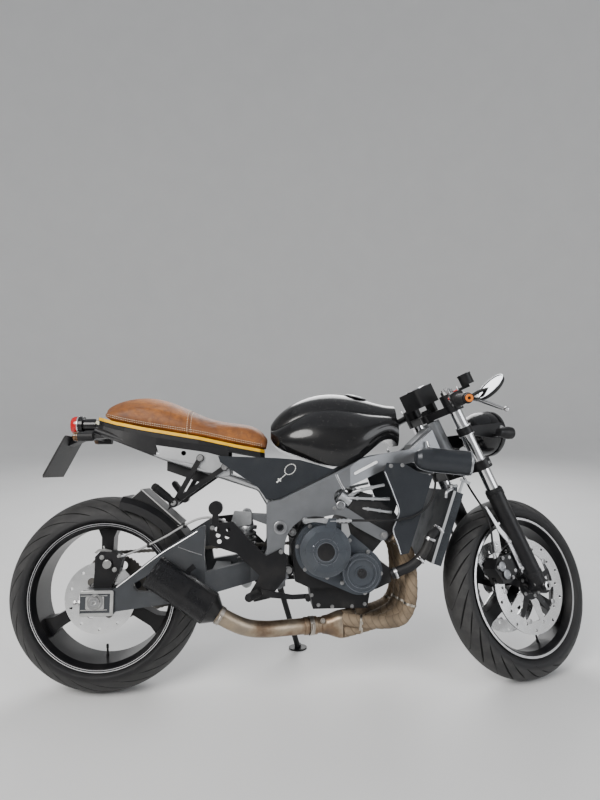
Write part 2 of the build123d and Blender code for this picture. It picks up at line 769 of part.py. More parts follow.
# Fuel tank: its crown rises to the middle and falls towards the steering head
tank_rest = seat_gap / cos(radians(27))
tank_stations = [
    # x, bottom, shoulder, top, half bottom, half middle, half shoulder
    (536, 812, 838, 858, 40, 50, 34),
    (575, 770, 852, 906, 82, 98, 60),
    (650, 742, 888, 950, 108, 128, 84),
    (745, 716, 902, 968, 122, 142, 94),
    (850, 754, 892, 952, 112, 134, 86),
    (968, 784, 880, 926, 70, 92, 60),
]
with BuildPart() as fuel_tank:
    for station in tank_stations:
        add(dome_section(*station).sketch)
    loft()
    # its underside follows the spars where it rests on them
    with BuildSketch(right(0)):
        Polygon(*[(x, z + tank_rest) for x, z in spar_top[:7]], (1007, 600), (522, 600), align=None)
    extrude(amount=plate_outer, both=True, mode=Mode.SUBTRACT)
fuel_tank.part.label = "fuel_tank"

# Seat: a hump at the tail and a saddle that narrows to the tank
seat_stations = [
    (-22, 878, 896, 912, 70, 74, 60),
    (30, 862, 908, 938, 98, 106, 84),
    (120, 842, 912, 950, 108, 118, 92),
    (210, 828, 896, 930, 112, 122, 94),
    (300, 812, 866, 890, 112, 120, 96),
    (420, 784, 846, 862, 98, 106, 84),
    (500, 768, 826, 838, 82, 88, 68),
    (530, 764, 790, 800, 66, 70, 54),
]
seat_seam = [(-40, 886), (30, 866), (120, 847), (300, 816), (420, 790), (540, 768)]
with BuildPart() as seat:
    for station in seat_stations:
        add(dome_section(*station).sketch)
    loft()
    with BuildSketch(right(0)):
        Polygon(*seat_seam, (540, 700), (-40, 700), align=None)
    extrude(amount=200, both=True, mode=Mode.SUBTRACT)
seat.part.label = "seat"
bodies["root"] += [fuel_tank, seat]

# Under the seat: the yellow trim band, then the pan, both following the seam
trim_thickness = 10
pan_thickness = 16
pan_outline = [(-34, 60), (-12, 86), (60, 108), (300, 117), (420, 104), (500, 84), (516, 62)]


def seam_layer(top, bottom, inset):
    """A layer that follows the seat's seam, between two depths below it."""
    upper = [(x, z - top) for x, z in seat_seam]
    lower = [(x, z - bottom) for x, z in reversed(seat_seam)]
    outline = [(x, half - inset) for x, half in pan_outline]
    mirrored = [(x, -half) for x, half in reversed(outline)]
    with BuildPart() as layer:
        with BuildSketch(right(0)):
            Polygon(*upper, *lower, align=None)
        extrude(amount=150, both=True)
        with BuildSketch(Plane.XY.offset(600)):
            Polygon(*outline, *mirrored, align=None)
        extrude(amount=400, mode=Mode.INTERSECT)
    return layer


seat_trim = seam_layer(seat_gap, seat_gap + trim_thickness, 0)
seat_trim.part.label = "seat_trim"
bodies["root"].append(seat_trim)

# Subframe: a bent rail each side from the pivot plates to the tail, with cross tubes
# and the bracket plates that carry the passenger's footrests
rail_y = 95
rail_radius = 11
rail_points = [(538, 585), (500, 648), (186, 752), (20, 818), (-34, 838)]
cross_tubes = [(186, 752), (352, 697), (0, 825.5)]
cross_radius = 8
bracket_plate = [(165, 788), (328, 764), (400, 744), (402, 690), (372, 684), (283, 728), (176, 752)]
bracket_outer = 111.7
with BuildPart() as subframe:
    with BuildLine() as rail:
        FilletPolyline(*[(x, -rail_y, z) for x, z in rail_points], radius=(34, 200, 200))
    with BuildSketch(Plane(origin=rail.line @ 0, z_dir=rail.line % 0)):
        Circle(rail_radius)
    sweep(path=rail.line)
    with BuildSketch(right(rail_y - rail_radius)):
        with Locations(rail_points[0]):
            Circle(15)
    extrude(amount=plate_inner - seat_gap - rail_y + rail_radius)
    with BuildSketch(right(rail_y + rail_radius - 4)):
        Polygon(*bracket_plate, align=None)
        with Locations((253, 762)):
            Circle(8, mode=Mode.SUBTRACT)
    extrude(amount=bracket_outer - rail_y - rail_radius + 4)
    mirror(about=Plane.XZ)
    with BuildSketch(right(0)):
        with Locations(*cross_tubes):
            Circle(cross_radius)
    extrude(amount=rail_y, both=True)
subframe.part.label = "subframe"

# The pan's four feet stand on the rails
# x, level of the rail's middle, level inside the pan
pan_feet = [(60, 802, 838), (330, 704, 790)]
pan_layer = seam_layer(seat_gap + trim_thickness, seat_gap + trim_thickness + pan_thickness, 4)
with BuildPart() as seat_pan:
    add(pan_layer.part)
    for x, rail_level, pan_level in pan_feet:
        with BuildSketch(Plane.XY.offset(rail_level)):
            with Locations((x, rail_y), (x, -rail_y)):
                Circle(7)
        extrude(amount=pan_level - rail_level)
    add(subframe.part, mode=Mode.SUBTRACT)
seat_pan.part.label = "seat_pan"
bodies["root"].append(seat_pan)

# Battery tray between the rails, held by the cross tubes
tray_half = 70
with BuildPart() as battery_tray:
    with BuildSketch(right(0)):
        Polygon((194.3, 770), (194.3, 706), (300, 668), (343.7, 684), (343.7, 712), (262, 770), align=None)
    extrude(amount=tray_half, both=True)
battery_tray.part.label = "battery_tray"

# Side panels between the seat, the tank and the spar
panel_inner = 124
panel_thickness = 4
panel_profile = [(365, 752), (560, 744), (629, 738), (750, 704), (563, 614), (520, 612), (493, 651), (372, 732)]
with BuildPart() as side_panels:
    with BuildSketch(right(panel_inner)):
        Polygon(*panel_profile, align=None)
    extrude(amount=panel_thickness)
    with BuildSketch(right(bracket_outer + seat_gap)):
        with Locations((385, 735)):
            Circle(6)
    extrude(amount=panel_inner - bracket_outer - seat_gap)
    mirror(about=Plane.XZ)
side_panels.part.label = "side_panels"

# Tail: the round lamp on its bracket, and the plate on its arm with the rear indicators
tail_lamp_centre = Vector(-98, 0, 862)
with BuildPart() as tail_lamp:
    with BuildSketch(Plane(origin=tail_lamp_centre, z_dir=(-1, 0, 0))):
        Circle(31)
    extrude(amount=40)
    with BuildSketch(Plane(origin=tail_lamp_centre, z_dir=(1, 0, 0))):
        Circle(22)
    extrude(amount=44)
    fillet(tail_lamp.faces().sort_by(Axis.X)[0].edges(), radius=12)
tail_lamp.part.label = "tail_lamp"

plate_width = 190
plate_height = 150
plate_top = Vector(-128, 0, 822)
plate_slope = Vector(-64, 0, -127).normalized()
plate_plane = Plane(origin=plate_top + plate_slope * (plate_height / 2), x_dir=(0, 1, 0),
                    z_dir=Vector(0, 1, 0).cross(plate_slope) * -1)
with BuildPart() as plate_holder:
    with BuildSketch(plate_plane):
        Rectangle(plate_width, plate_height)
    extrude(amount=3)
    with BuildSketch(right(0)):
        Polygon((-8.3, 830), (-8.3, 820), (-100, 808), (-140, 790), (-124, 824), align=None)
    extrude(amount=30, both=True)
    with BuildSketch(right(0)):
        Polygon((-92, 815), (-60, 818), (-60, 852), (-92, 852), align=None)
    extrude(amount=12, both=True)
    add(tail_lamp.part, mode=Mode.SUBTRACT)
    with BuildSketch(right(0)):
        with Locations((-60, 817)):
            Circle(5)
    extrude(amount=112, both=True)
    for side in (-1, 1):
        with BuildSketch(Plane(origin=(-86, side * 118, 817), z_dir=(1, 0, 0))):
            Circle(15)
        extrude(amount=52)
plate_holder.part.label = "plate_holder"
bodies["root"] += [subframe, battery_tray, side_panels, tail_lamp, plate_holder]

# Passenger's footrests: a V of two arms each side with a folded peg at its foot
hanger_inner = bracket_outer + seat_gap
knuckle = (229, 606)
with BuildPart() as passenger_footrests:
    with BuildSketch(right(hanger_inner)):
        with BuildLine():
            Polyline((307, 746), knuckle, (386, 716))
        trace(line_width=16)
        with Locations((307, 746), (386, 716)):
            Circle(12)
    extrude(amount=9)
    with BuildSketch(right(hanger_inner)):
        with Locations(knuckle):
            Circle(15)
    extrude(amount=40)
    with BuildSketch(Plane(origin=(knuckle[0], -hanger_inner - 28, knuckle[1]), z_dir=(-50, -62, 52))):
        Circle(11)
    extrude(amount=98)
    mirror(about=Plane.XZ)
passenger_footrests.part.label = "passenger_footrests"

# Rider's footrests: a plate on each pivot plate with its peg and its drilled heel guard
rest_inner = plate_outer + ring_rise + seat_gap
rest_plate = [(566, 462), (584, 440), (580, 372), (530, 312), (482, 302), (470, 330), (500, 380),
              (430, 448), (340, 478), (346, 540), (416, 546), (470, 488), (520, 440)]
rest_thickness = 6
guard_holes = [(366, 524), (370, 505), (374, 486), (398, 500), (402, 522)]
pedal_profile = [(488, 334), (506, 340), (600, 322), (652, 324), (652, 310), (600, 308), (500, 318)]
pedal_pivot = (498, 330)
pedal_toe = (646, 317)
# the rear brake's fluid cup on its strap
fluid_cup = (361, 588)
fluid_cup_radius = 22
cup_strap = [(350, 536), (372, 536), (369, 588), (353, 588)]
with BuildPart() as rider_footrests:
    with BuildSketch(right(rest_inner)):
        Polygon(*rest_plate, align=None)
        with Locations(*guard_holes):
            Circle(7, mode=Mode.SUBTRACT)
    extrude(amount=rest_thickness)
    # the pedals, brake on the right and gears on the left, each with its toe peg
    with BuildSketch(right(rest_inner + rest_thickness)):
        Polygon(*pedal_profile, align=None)
        with Locations(pedal_pivot):
            Circle(13)
    extrude(amount=6)
    with BuildSketch(right(rest_inner + rest_thickness)):
        with Locations(pedal_toe):
            Circle(7)
    extrude(amount=44)
    with BuildSketch(Plane(origin=(500, -rest_inner - 4, 330), z_dir=(-36, -80, 0))):
        Circle(11)
    extrude(amount=84)
    mirror(about=Plane.XZ)
    with BuildSketch(right(rest_inner)):
        Polygon(*cup_strap, align=None)
    extrude(amount=rest_thickness)
    with BuildSketch(right(rest_inner + rest_thickness)):
        with Locations(fluid_cup):
            Circle(fluid_cup_radius)
    extrude(amount=-32)
    # the rear brake's master cylinder, behind the right plate
    with BuildSketch(Plane.XY.offset(452)):
        with Locations((440, -146)):
            Circle(10)
    extrude(amount=500 - seat_gap - 452)
rider_footrests.part.label = "rider_footrests"
bodies["root"] += [passenger_footrests, rider_footrests]

# Radiator: a core between two side tanks, with its cap
radiator_foot = (1040, 410)
radiator_head = (1122, 636)
radiator_depth = 26
tank_depth = 34
radiator_half = 165
side_tank = 24
radiator_up = (Vector(*radiator_head) - Vector(*radiator_foot)).normalized()
radiator_front = Vector(radiator_up.Y, -radiator_up.X)


def radiator_slab(depth):
    foot = Vector(*radiator_foot)
    head = Vector(*radiator_head)
    corners = (foot, head, head + radiator_front * depth, foot + radiator_front * depth)
    return [(corner.X, corner.Y) for corner in corners]


rib_count = 11
rib_pitch = 19
rib_rise = 3
radiator_side = Plane(origin=(radiator_foot[0], -radiator_half, radiator_foot[1]),
                      x_dir=(radiator_front.X, 0, radiator_front.Y), z_dir=(0, -1, 0))
with BuildPart() as radiator_ribs:
    with BuildSketch(radiator_side):
        with Locations((tank_depth / 2, rib_count * rib_pitch / 2 + 14)):
            with GridLocations(1, rib_pitch, 1, rib_count):
                Rectangle(tank_depth - 6, 6)
    extrude(amount=rib_rise)
with BuildPart() as radiator:
    with BuildSketch(right(0)):
        Polygon(*radiator_slab(radiator_depth), align=None)
    extrude(amount=radiator_half, both=True)
    for side in (right(radiator_half), left(radiator_half - side_tank)):
        with BuildSketch(side):
            Polygon(*radiator_slab(tank_depth), align=None)
        extrude(amount=-side_tank)
    with BuildSketch(Plane.XY.offset(radiator_head[1] - 8)):
        with Locations((radiator_head[0] + 12, -120)):
            Circle(15)
    extrude(amount=26)
    add(radiator_ribs.part)
    add(mirror(radiator_ribs.part, about=Plane.XZ, mode=Mode.PRIVATE))
radiator.part.label = "radiator"

# Shrouds each side of the radiator's duct, on bosses from the spar
shroud_inner = 170
shroud_profile = [(895, 699), (940, 575), (918, 512), (942, 437), (968, 443), (1054, 684), (1010, 694),
                  (960, 724), (905, 726)]
with BuildPart() as radiator_shrouds:
    with BuildSketch(right(shroud_inner)):
        Polygon(*shroud_profile, align=None)
    extrude(amount=4)
    with BuildSketch(right(100)):
        with Locations((918, 716), (955, 718)):
            Circle(6)
    extrude(amount=shroud_inner - 100)
    add(frame_right.part, mode=Mode.SUBTRACT)
    mirror(about=Plane.XZ)
radiator_shrouds.part.label = "radiator_shrouds"

# Intake scoops beside the steering head: an oval duct, closed at the back
scoop_y = 187
scoop_half_width = 29
scoop_half_height = 39
scoop_wall = 3
# distance behind the mouth, half width, half height
scoop_sections = [(-182, 9, 14), (-176, 17, 24), (-164, 23, 32), (-130, 28, 38),
                  (0, scoop_half_width, scoop_half_height)]
scoop_front = Plane(origin=(1174, -scoop_y, 722), x_dir=(0, -1, 0), z_dir=(1, 0, -0.1))
with BuildPart() as intake_scoops:
    for back, across, high in scoop_sections:
        with BuildSketch(scoop_front.offset(back)):
            Ellipse(across, high)
    loft(ruled=True)
    with BuildSketch(scoop_front):
        Ellipse(scoop_half_width - scoop_wall, scoop_half_height - scoop_wall)
    extrude(amount=-110, mode=Mode.SUBTRACT)
    with BuildSketch(right(80)):
        with Locations((1024, 756)):
            Circle(7)
    extrude(amount=scoop_y - 80 - 8)
    add(frame_right.part, mode=Mode.SUBTRACT)
    mirror(about=Plane.XZ)
intake_scoops.part.label = "intake_scoops"
bodies["root"] += [radiator, radiator_shrouds, intake_scoops]


def bend_radii(points, share=0.45):
    """Each corner's arc: a share of its shorter run, over the tangent of half the turn."""
    radii = []
    for before, corner, after in zip(points, points[1:], points[2:]):
        run_in = Vector(*corner) - Vector(*before)
        run_out = Vector(*after) - Vector(*corner)
        half_turn = radians(run_in.get_angle(run_out) / 2)
        radii.append(share * min(run_in.length, run_out.length) / (sin(half_turn) / cos(half_turn)))
    return radii


def tube(points, radius, share=0.45):
    """A round tube along straight runs joined by arcs."""
    with BuildPart() as piece:
        with BuildLine() as path:
            FilletPolyline(*points, radius=bend_radii(points, share))
        with BuildSketch(Plane(origin=path.line @ 0, z_dir=path.line % 0)):
            Circle(radius)
        sweep(path=path.line)
    return piece.part


# Exhaust: four pipes from the head, down behind the radiator and back under the engine
# into a collector, then one pipe to the short silencer on the right
header_radius = 19
header_spacing = 80
collector_y = -75
collector_z = 209
bundle_half = 19.7
port_plane = Plane(origin=cylinder_plane.from_local_coords((106, -84, 0)), x_dir=(0, 1, 0),
                   z_dir=cylinder_plane.y_dir * -1)
# start side, end side, end level
header_pipes = [(-1.5, -1, 1), (-0.5, -1, -1), (0.5, 1, -1), (1.5, 1, 1)]
silencer_y = 208
silencer_radius = 50
silencer_outlet = Vector(181, -silencer_y, 410)
silencer_inlet = Vector(350, -silencer_y, 297)
silencer_dir = (silencer_inlet - silencer_outlet).normalized()
neck_radius = 25
neck = silencer_inlet + silencer_dir * 52
headers = []
for start_side, end_side, end_level in header_pipes:
    y = start_side * header_spacing
    port = port_plane.from_local_coords((y, 0, seat_gap))
    elbow = port_plane.from_local_coords((y, 0, 66))
    bundle = (762, collector_y + end_side * bundle_half, collector_z + end_level * bundle_half)
    route = [tuple(port), tuple(elbow), (988, y, 372), (984, y, 262), (928, y, 208), bundle]
    headers.append(tube(route, header_radius, 0.42))
link_pipe = tube([(702, collector_y - 4, collector_z), (600, -96, 208), (520, -140, 214), (456, -192, 234),
                  tuple(neck), tuple(silencer_inlet + silencer_dir * 30)], neck_radius, 0.4)
with BuildPart() as exhaust_header:
    with BuildSketch(Plane(origin=(764, collector_y, collector_z), x_dir=(0, 1, 0), z_dir=(-1, 0, 0))):
        RectangleRounded(4 * header_radius + 2, 4 * header_radius + 2, header_radius)
    with BuildSketch(Plane(origin=(700, collector_y - 4, collector_z), x_dir=(0, 1, 0), z_dir=(-1, 0, 0))):
        RectangleRounded(2 * neck_radius + 6, 2 * neck_radius + 6, neck_radius + 2.9)
    loft()
    add(headers + [link_pipe])
    # a flange at each port, and the clamp at the collector's end
    with BuildSketch(port_plane.offset(seat_gap)):
        with GridLocations(header_spacing, 1, 4, 1):
            SlotCenterToCenter(38, 44)
    extrude(amount=8)
    with BuildSketch(Plane(origin=(700, collector_y - 4, collector_z), x_dir=(0, 1, 0), z_dir=(-1, 0, 0))):
        Circle(neck_radius + 5)
    extrude(amount=14)
exhaust_header.part.label = "exhaust_header"

# Silencer: a short can with a tapered inlet, its outlet up and back
inlet_taper = 30 - seat_gap
with BuildPart() as silencer:
    with BuildSketch(Plane(origin=silencer_outlet, z_dir=silencer_dir)):
        Circle(silencer_radius)
    extrude(amount=(silencer_inlet - silencer_outlet).length)
    with BuildSketch(Plane(origin=silencer_inlet, z_dir=silencer_dir)):
        Circle(silencer_radius)
    with BuildSketch(Plane(origin=silencer_inlet + silencer_dir * inlet_taper, z_dir=silencer_dir)):
        Circle(neck_radius + 2)
    loft()
    with BuildSketch(Plane(origin=silencer_outlet, z_dir=silencer_dir)):
        Circle(26)
    extrude(amount=120, mode=Mode.SUBTRACT)
silencer.part.label = "silencer"

# Hugger over the rear tyre, on pins from the swingarm's braces
hugger_inner = 318
hugger_wall = 3
hugger_half = 99
hugger_skirt = 40
hugger_front = 28
hugger_rear = 80
hugger_arc = hugger_rear - hugger_front
hugger_pin = (259, 466)
# the fin stands off the tyre like a spoiler, on a web each side
fin_half = 70
fin_profile = [(242, 532), (112, 646), (108, 641), (236, 525)]
fin_web = [(238, 529), (111, 643), (60, 600), (180, 500)]
hugger_plane = Plane(origin=rear_axle, x_dir=(0, -1, 0),
                     z_dir=(-sin(radians(hugger_front)), 0, cos(radians(hugger_front))))
with BuildPart() as rear_hugger:
    with BuildSketch(hugger_plane):
        with BuildLine():
            Polyline((-hugger_half, hugger_inner - hugger_skirt), (-hugger_half, hugger_inner - 16),
                     (-hugger_half + 24, hugger_inner), (hugger_half - 24, hugger_inner),
                     (hugger_half, hugger_inner - 16), (hugger_half, hugger_inner - hugger_skirt),
                     (hugger_half - hugger_wall, hugger_inner - hugger_skirt),
                     (hugger_half - hugger_wall, hugger_inner - 18),
                     (hugger_half - 26, hugger_inner - hugger_wall),
                     (-hugger_half + 26, hugger_inner - hugger_wall),
                     (-hugger_half + hugger_wall, hugger_inner - 18),
                     (-hugger_half + hugger_wall, hugger_inner - hugger_skirt), close=True)
        make_face()
    revolve(axis=Axis(rear_axle, (0, -1, 0)), revolution_arc=hugger_arc)
    with BuildSketch(right(0)):
        Polygon(*fin_profile, align=None)
    extrude(amount=fin_half, both=True)
    for inner in (fin_half - hugger_wall, -fin_half):
        with BuildSketch(right(inner)):
            Polygon(*fin_web, align=None)
            with Locations((0, rear_axle.Z)):
                Circle(hugger_inner - hugger_wall / 2, mode=Mode.SUBTRACT)
        extrude(amount=hugger_wall)
    with BuildSketch(right(hugger_half - hugger_wall)):
        with Locations(hugger_pin):
            Circle(8)
    extrude(amount=arm_inner + arm_face_step - seat_gap - hugger_half + hugger_wall)
    with BuildSketch(left(hugger_half - hugger_wall)):
        with Locations(hugger_pin):
            Circle(8)
    extrude(amount=-(arm_inner + arm_face_step - seat_gap - hugger_half + hugger_wall))
rear_hugger.part.label = "rear_hugger"

# Rear caliper over the disc, on a bracket from the axle
caliper_gap = running_gap
with BuildPart() as rear_caliper:
    with BuildSketch(right(72)):
        Polygon((-15, 396), (-15, 440), (0, 456), (52, 452), (68, 430), (60, 388), (20, 384), align=None)
    extrude(amount=46)
    with BuildSketch(right(rear_hub_reach - caliper_gap)):
        with Locations((0, rear_axle.Z)):
            Circle(rear_disc_radius + caliper_gap)
    extrude(amount=disc_thickness + 2 * caliper_gap, mode=Mode.SUBTRACT)
    with BuildSketch(right(106)):
        Polygon((-20, 311), (-15, 400), (60, 400), (22, 311), align=None)
        with Locations((0, rear_axle.Z)):
            Circle(30)
            Circle(17 + seat_gap, mode=Mode.SUBTRACT)
    extrude(amount=10)
    with BuildSketch(right(118)):
        with Locations((25, 418)):
            Circle(15)
    extrude(amount=8)
rear_caliper.part.label = "rear_caliper"

# Cords that the machine holds all the way: the rear brake hose and the clutch cable
hose_radius = 3.5
rear_hose_points = [(60, -112, 438), (104, -112, 452), (150, -118, 474), (205, -130, 500), (262, -136, 536),
                    (318, -138, 560), (372, -142, 556), (412, -144, 532), (440, -146, 503)]
clutch_cable_points = [(736, -206, 548), (790, -200, 549), (860, -193, 546), (935, -188, 546), (1000, -183, 560),
                       (1046, -178, 602), (1066, -160, 654), (1074, -130, 704), (1070, -104, 752),
                       (1062, -96, 796)]
rear_brake_hose_tube = tube(rear_hose_points, hose_radius)
clutch_cable_tube = tube(clutch_cable_points, hose_radius)
with BuildPart() as rear_brake_hose:
    add(rear_brake_hose_tube)
    add(rear_caliper.part, mode=Mode.SUBTRACT)
rear_brake_hose.part.label = "rear_brake_hose"
with BuildPart() as clutch_cable:
    add(clutch_cable_tube)
clutch_cable.part.label = "clutch_cable"

# Radiator hose from the right side tank down to the water pump
water_hose = tube([(1078, -146, 515), (1046, -158, 496), (1026, -160, 446), (984, -158, 402), (916, -146, 374)],
                  16, 0.4)
with BuildPart() as coolant_hose:
    add(water_hose)
    add(radiator.part, mode=Mode.SUBTRACT)
    add(crankcase.part, mode=Mode.SUBTRACT)
coolant_hose.part.label = "coolant_hose"

# Cross member between the pivot plates, with the ears that hold the shock's top eye
shock_eye = (shock_x, shock_top + 40)
with BuildPart() as frame_crossmember:
    with BuildSketch(right(0)):
        Polygon((526, 516), (520, 548), (534, 562), (556, 556), (560, 524), align=None)
    extrude(amount=plate_inner - seat_gap, both=True)
    for inner in (20 + seat_gap, -26 - seat_gap):
        with BuildSketch(right(inner)):
            Polygon((530, 520), (530, 556), shock_eye, (shock_x + 6, shock_eye[1] - 14), align=None)
            with Locations(shock_eye):
                Circle(14)
        extrude(amount=6)
    with BuildSketch(right(0)):
        with Locations(shock_eye):
            Circle(6)
    extrude(amount=20 + seat_gap, both=True)
frame_crossmember.part.label = "frame_crossmember"
bodies["root"] += [exhaust_header, silencer, rear_hugger, rear_caliper, rear_brake_hose, clutch_cable,
                   coolant_hose, frame_crossmember]

# Fork: stanchions in the sliders, held by the two yokes
slider_socket = 60


def yoke_outline(boss, stem_boss):
    """The yoke's shape: a boss round each fork leg and round the stem, and a web between."""
    for side in (-1, 1):
        with Locations((fork_offset, side * fork_y)):
            Circle(boss)
    Circle(stem_boss)
    Polygon((-stem_boss + 6, 16), (fork_offset - boss + 4, fork_y), (fork_offset + boss - 6, fork_y + 8),
            (stem_boss + 14, 26), (stem_boss + 14, -26), (fork_offset + boss - 6, -fork_y - 8),
            (fork_offset - boss + 4, -fork_y), (-stem_boss + 6, -16), align=None)


with BuildPart() as lower_yoke:
    with BuildSketch(across_steering(lower_yoke_bottom)):
        yoke_outline(34, 32)
        with Locations((fork_offset, fork_y), (fork_offset, -fork_y)):
            Circle(stanchion_radius + fit, mode=Mode.SUBTRACT)
    extrude(amount=lower_yoke_thickness)
    with BuildSketch(across_steering(lower_yoke_bottom + lower_yoke_thickness)):
        Circle(stem_radius)
    extrude(amount=upper_yoke_bottom + upper_yoke_thickness + 16 - lower_yoke_bottom - lower_yoke_thickness)
    with BuildSketch(across_steering(upper_yoke_bottom + upper_yoke_thickness + seat_gap)):
        RegularPolygon(19, 6)
    extrude(amount=12)
lower_yoke.part.label = "lower_yoke"

with BuildPart() as upper_yoke:
    with BuildSketch(across_steering(upper_yoke_bottom)):
        yoke_outline(31, 28)
        with Locations((fork_offset, fork_y), (fork_offset, -fork_y)):
            Circle(stanchion_radius + fit, mode=Mode.SUBTRACT)
        Circle(stem_radius + fit, mode=Mode.SUBTRACT)
    extrude(amount=upper_yoke_thickness)
upper_yoke.part.label = "upper_yoke"

with BuildPart() as fork_stanchions:
    with BuildSketch(across_steering(slider_top - slider_socket)):
        with Locations((fork_offset, fork_y), (fork_offset, -fork_y)):
            Circle(stanchion_radius)
    extrude(amount=fork_cap_top - 6 - slider_top + slider_socket)
    with BuildSketch(across_steering(fork_cap_top - 6)):
        with Locations((fork_offset, fork_y), (fork_offset, -fork_y)):
            RegularPolygon(stanchion_radius - 5, 6)
    extrude(amount=6)
fork_stanchions.part.label = "fork_stanchions"

axle_lug = 24
lug_width = 46
slider_bottom = 6
with BuildPart() as fork_sliders:
    with BuildSketch(across_steering(slider_bottom)):
        with Locations((fork_offset, -fork_y)):
            Circle(slider_radius)
    extrude(amount=slider_top - slider_bottom)
    with BuildSketch(across_steering(slider_top)):
        with Locations((fork_offset, -fork_y)):
            Circle(slider_radius + 2)
    extrude(amount=-14)
    with BuildSketch(across_steering(slider_top - slider_socket)):
        with Locations((fork_offset, -fork_y)):
            Circle(stanchion_radius + fit)
    extrude(amount=slider_socket, mode=Mode.SUBTRACT)
    with BuildSketch(right(fork_y - lug_width / 2)):
        with Locations((front_axle.X, front_axle.Z)):
            Circle(axle_lug)
    extrude(amount=lug_width)
    with BuildSketch(right(fork_y - slider_radius - 1)):
        with Locations((front_axle.X, front_axle.Z)):
            Circle(axle_radius + fit)
    extrude(amount=2 * slider_radius + 2, mode=Mode.SUBTRACT)
    mirror(about=Plane.XZ)
fork_sliders.part.label = "fork_sliders"

# Front axle with its spacers, bored in both ends for a stand's pins
front_axle_reach = 140
with BuildPart() as front_axle_piece:
    with BuildSketch(front_face.offset(-front_axle_reach)):
        Circle(axle_radius)
    extrude(amount=2 * front_axle_reach)
    for side in (-1, 1):
        with BuildSketch(front_face.offset(side * (front_hub_reach + seat_gap))):
            Circle(16)
        extrude(amount=side * (fork_y - slider_radius - front_hub_reach - 2 * seat_gap))
        with BuildSketch(front_face.offset(side * (fork_y + slider_radius + seat_gap))):
            RegularPolygon(16, 6)
        extrude(amount=side * 5)
    for side in (-1, 1):
        with BuildSketch(front_face.offset(side * front_axle_reach)):
            Circle(axle_bore)
        extrude(amount=-side * axle_bore_depth, mode=Mode.SUBTRACT)
front_axle_piece.part.label = "front_axle"

# Front calipers behind the fork legs, over the discs
front_caliper_profile = [(-96, 70), (-104, 128), (-74, 152), (-44, 140), (-38, 78), (-60, 60)]
with BuildPart() as front_calipers:
    caliper_plane = Plane(origin=steer_base, x_dir=steer_forward, z_dir=(0, -1, 0))
    with BuildSketch(caliper_plane.offset(front_hub_reach - caliper_gap - 14)):
        Polygon(*front_caliper_profile, align=None)
    extrude(amount=disc_thickness + 2 * caliper_gap + 40)
    with BuildSketch(front_face.offset(front_hub_reach - caliper_gap)):
        Circle(front_disc_radius + caliper_gap)
    extrude(amount=disc_thickness + 2 * caliper_gap, mode=Mode.SUBTRACT)
    with BuildSketch(caliper_plane.offset(front_hub_reach + disc_thickness + caliper_gap + 8)):
        Polygon((-60, 66), (-60, 146), (-20, 140), (10, 130), (10, 70), (-20, 74), align=None)
    extrude(amount=18)
    add(fork_sliders.part, mode=Mode.SUBTRACT)
    mirror(about=Plane.XZ)
front_calipers.part.label = "front_calipers"
bodies["steering"] += [lower_yoke, upper_yoke, fork_stanchions, fork_sliders, front_axle_piece, front_calipers]

# Handlebars: a clip-on bar each side, clamped above the upper yoke
bar_clamp_bottom = upper_yoke_bottom + upper_yoke_thickness + seat_gap
bar_clamp_height = 38
bar_up = bar_clamp_bottom + bar_clamp_height / 2
bar_root = steering_point(fork_offset, -fork_y, bar_up)
bar_end = steering_point(-106, -312, bar_up - 14)
bar_radius = 11
bar_bore = 8
bar_dir = (bar_end - bar_root).normalized()
bar_length = (bar_end - bar_root).length
bar_plane = Plane(origin=bar_root, x_dir=steer_dir.cross(bar_dir), z_dir=bar_dir)
cup_middle = (52, -188)
cup_radius = 22
cup_height = 32
cup_arm_bottom = 697
cup_bottom = 706
grip_length = 118
grip_radius = 16
with BuildPart() as handlebars:
    with BuildSketch(across_steering(bar_clamp_bottom)):
        with Locations((fork_offset, -fork_y)):
            Circle(31)
    extrude(amount=bar_clamp_height)
    with BuildSketch(bar_plane):
        Circle(bar_radius)
    extrude(amount=bar_length)
    with BuildSketch(across_steering(bar_clamp_bottom)):
        with Locations((fork_offset, -fork_y)):
            Circle(stanchion_radius + fit)
    extrude(amount=bar_clamp_height, mode=Mode.SUBTRACT)
    with BuildSketch(bar_plane.offset(bar_length - 60)):
        Circle(bar_bore)
    extrude(amount=60, mode=Mode.SUBTRACT)
    mirror(about=Plane.XZ)
    # the front brake's fluid cup, on an arm from the right clamp
    with BuildSketch(across_steering(cup_arm_bottom)):
        Polygon((26, -129), (34, -129), (62, -178), (44, -200), (28, -140), align=None)
    extrude(amount=cup_bottom - cup_arm_bottom)
    with BuildSketch(across_steering(cup_bottom)):
        with Locations(cup_middle):
            Circle(cup_radius)
    extrude(amount=cup_height)
    with BuildSketch(across_steering(cup_bottom + cup_height)):
        with Locations(cup_middle):
            Circle(cup_radius + 1.5)
    extrude(amount=5)
handlebars.part.label = "handlebars"

switch_width = 34
with BuildPart() as hand_grips:
    with BuildSketch(bar_plane.offset(bar_length - grip_length - 2)):
        Circle(grip_radius)
        Circle(bar_radius + fit, mode=Mode.SUBTRACT)
    extrude(amount=grip_length)
    with BuildSketch(bar_plane.offset(bar_length - grip_length - 2 - switch_width - seat_gap)):
        RectangleRounded(44, 50, 8)
        Circle(bar_radius + fit, mode=Mode.SUBTRACT)
    extrude(amount=switch_width)
    mirror(about=Plane.XZ)
hand_grips.part.label = "hand_grips"

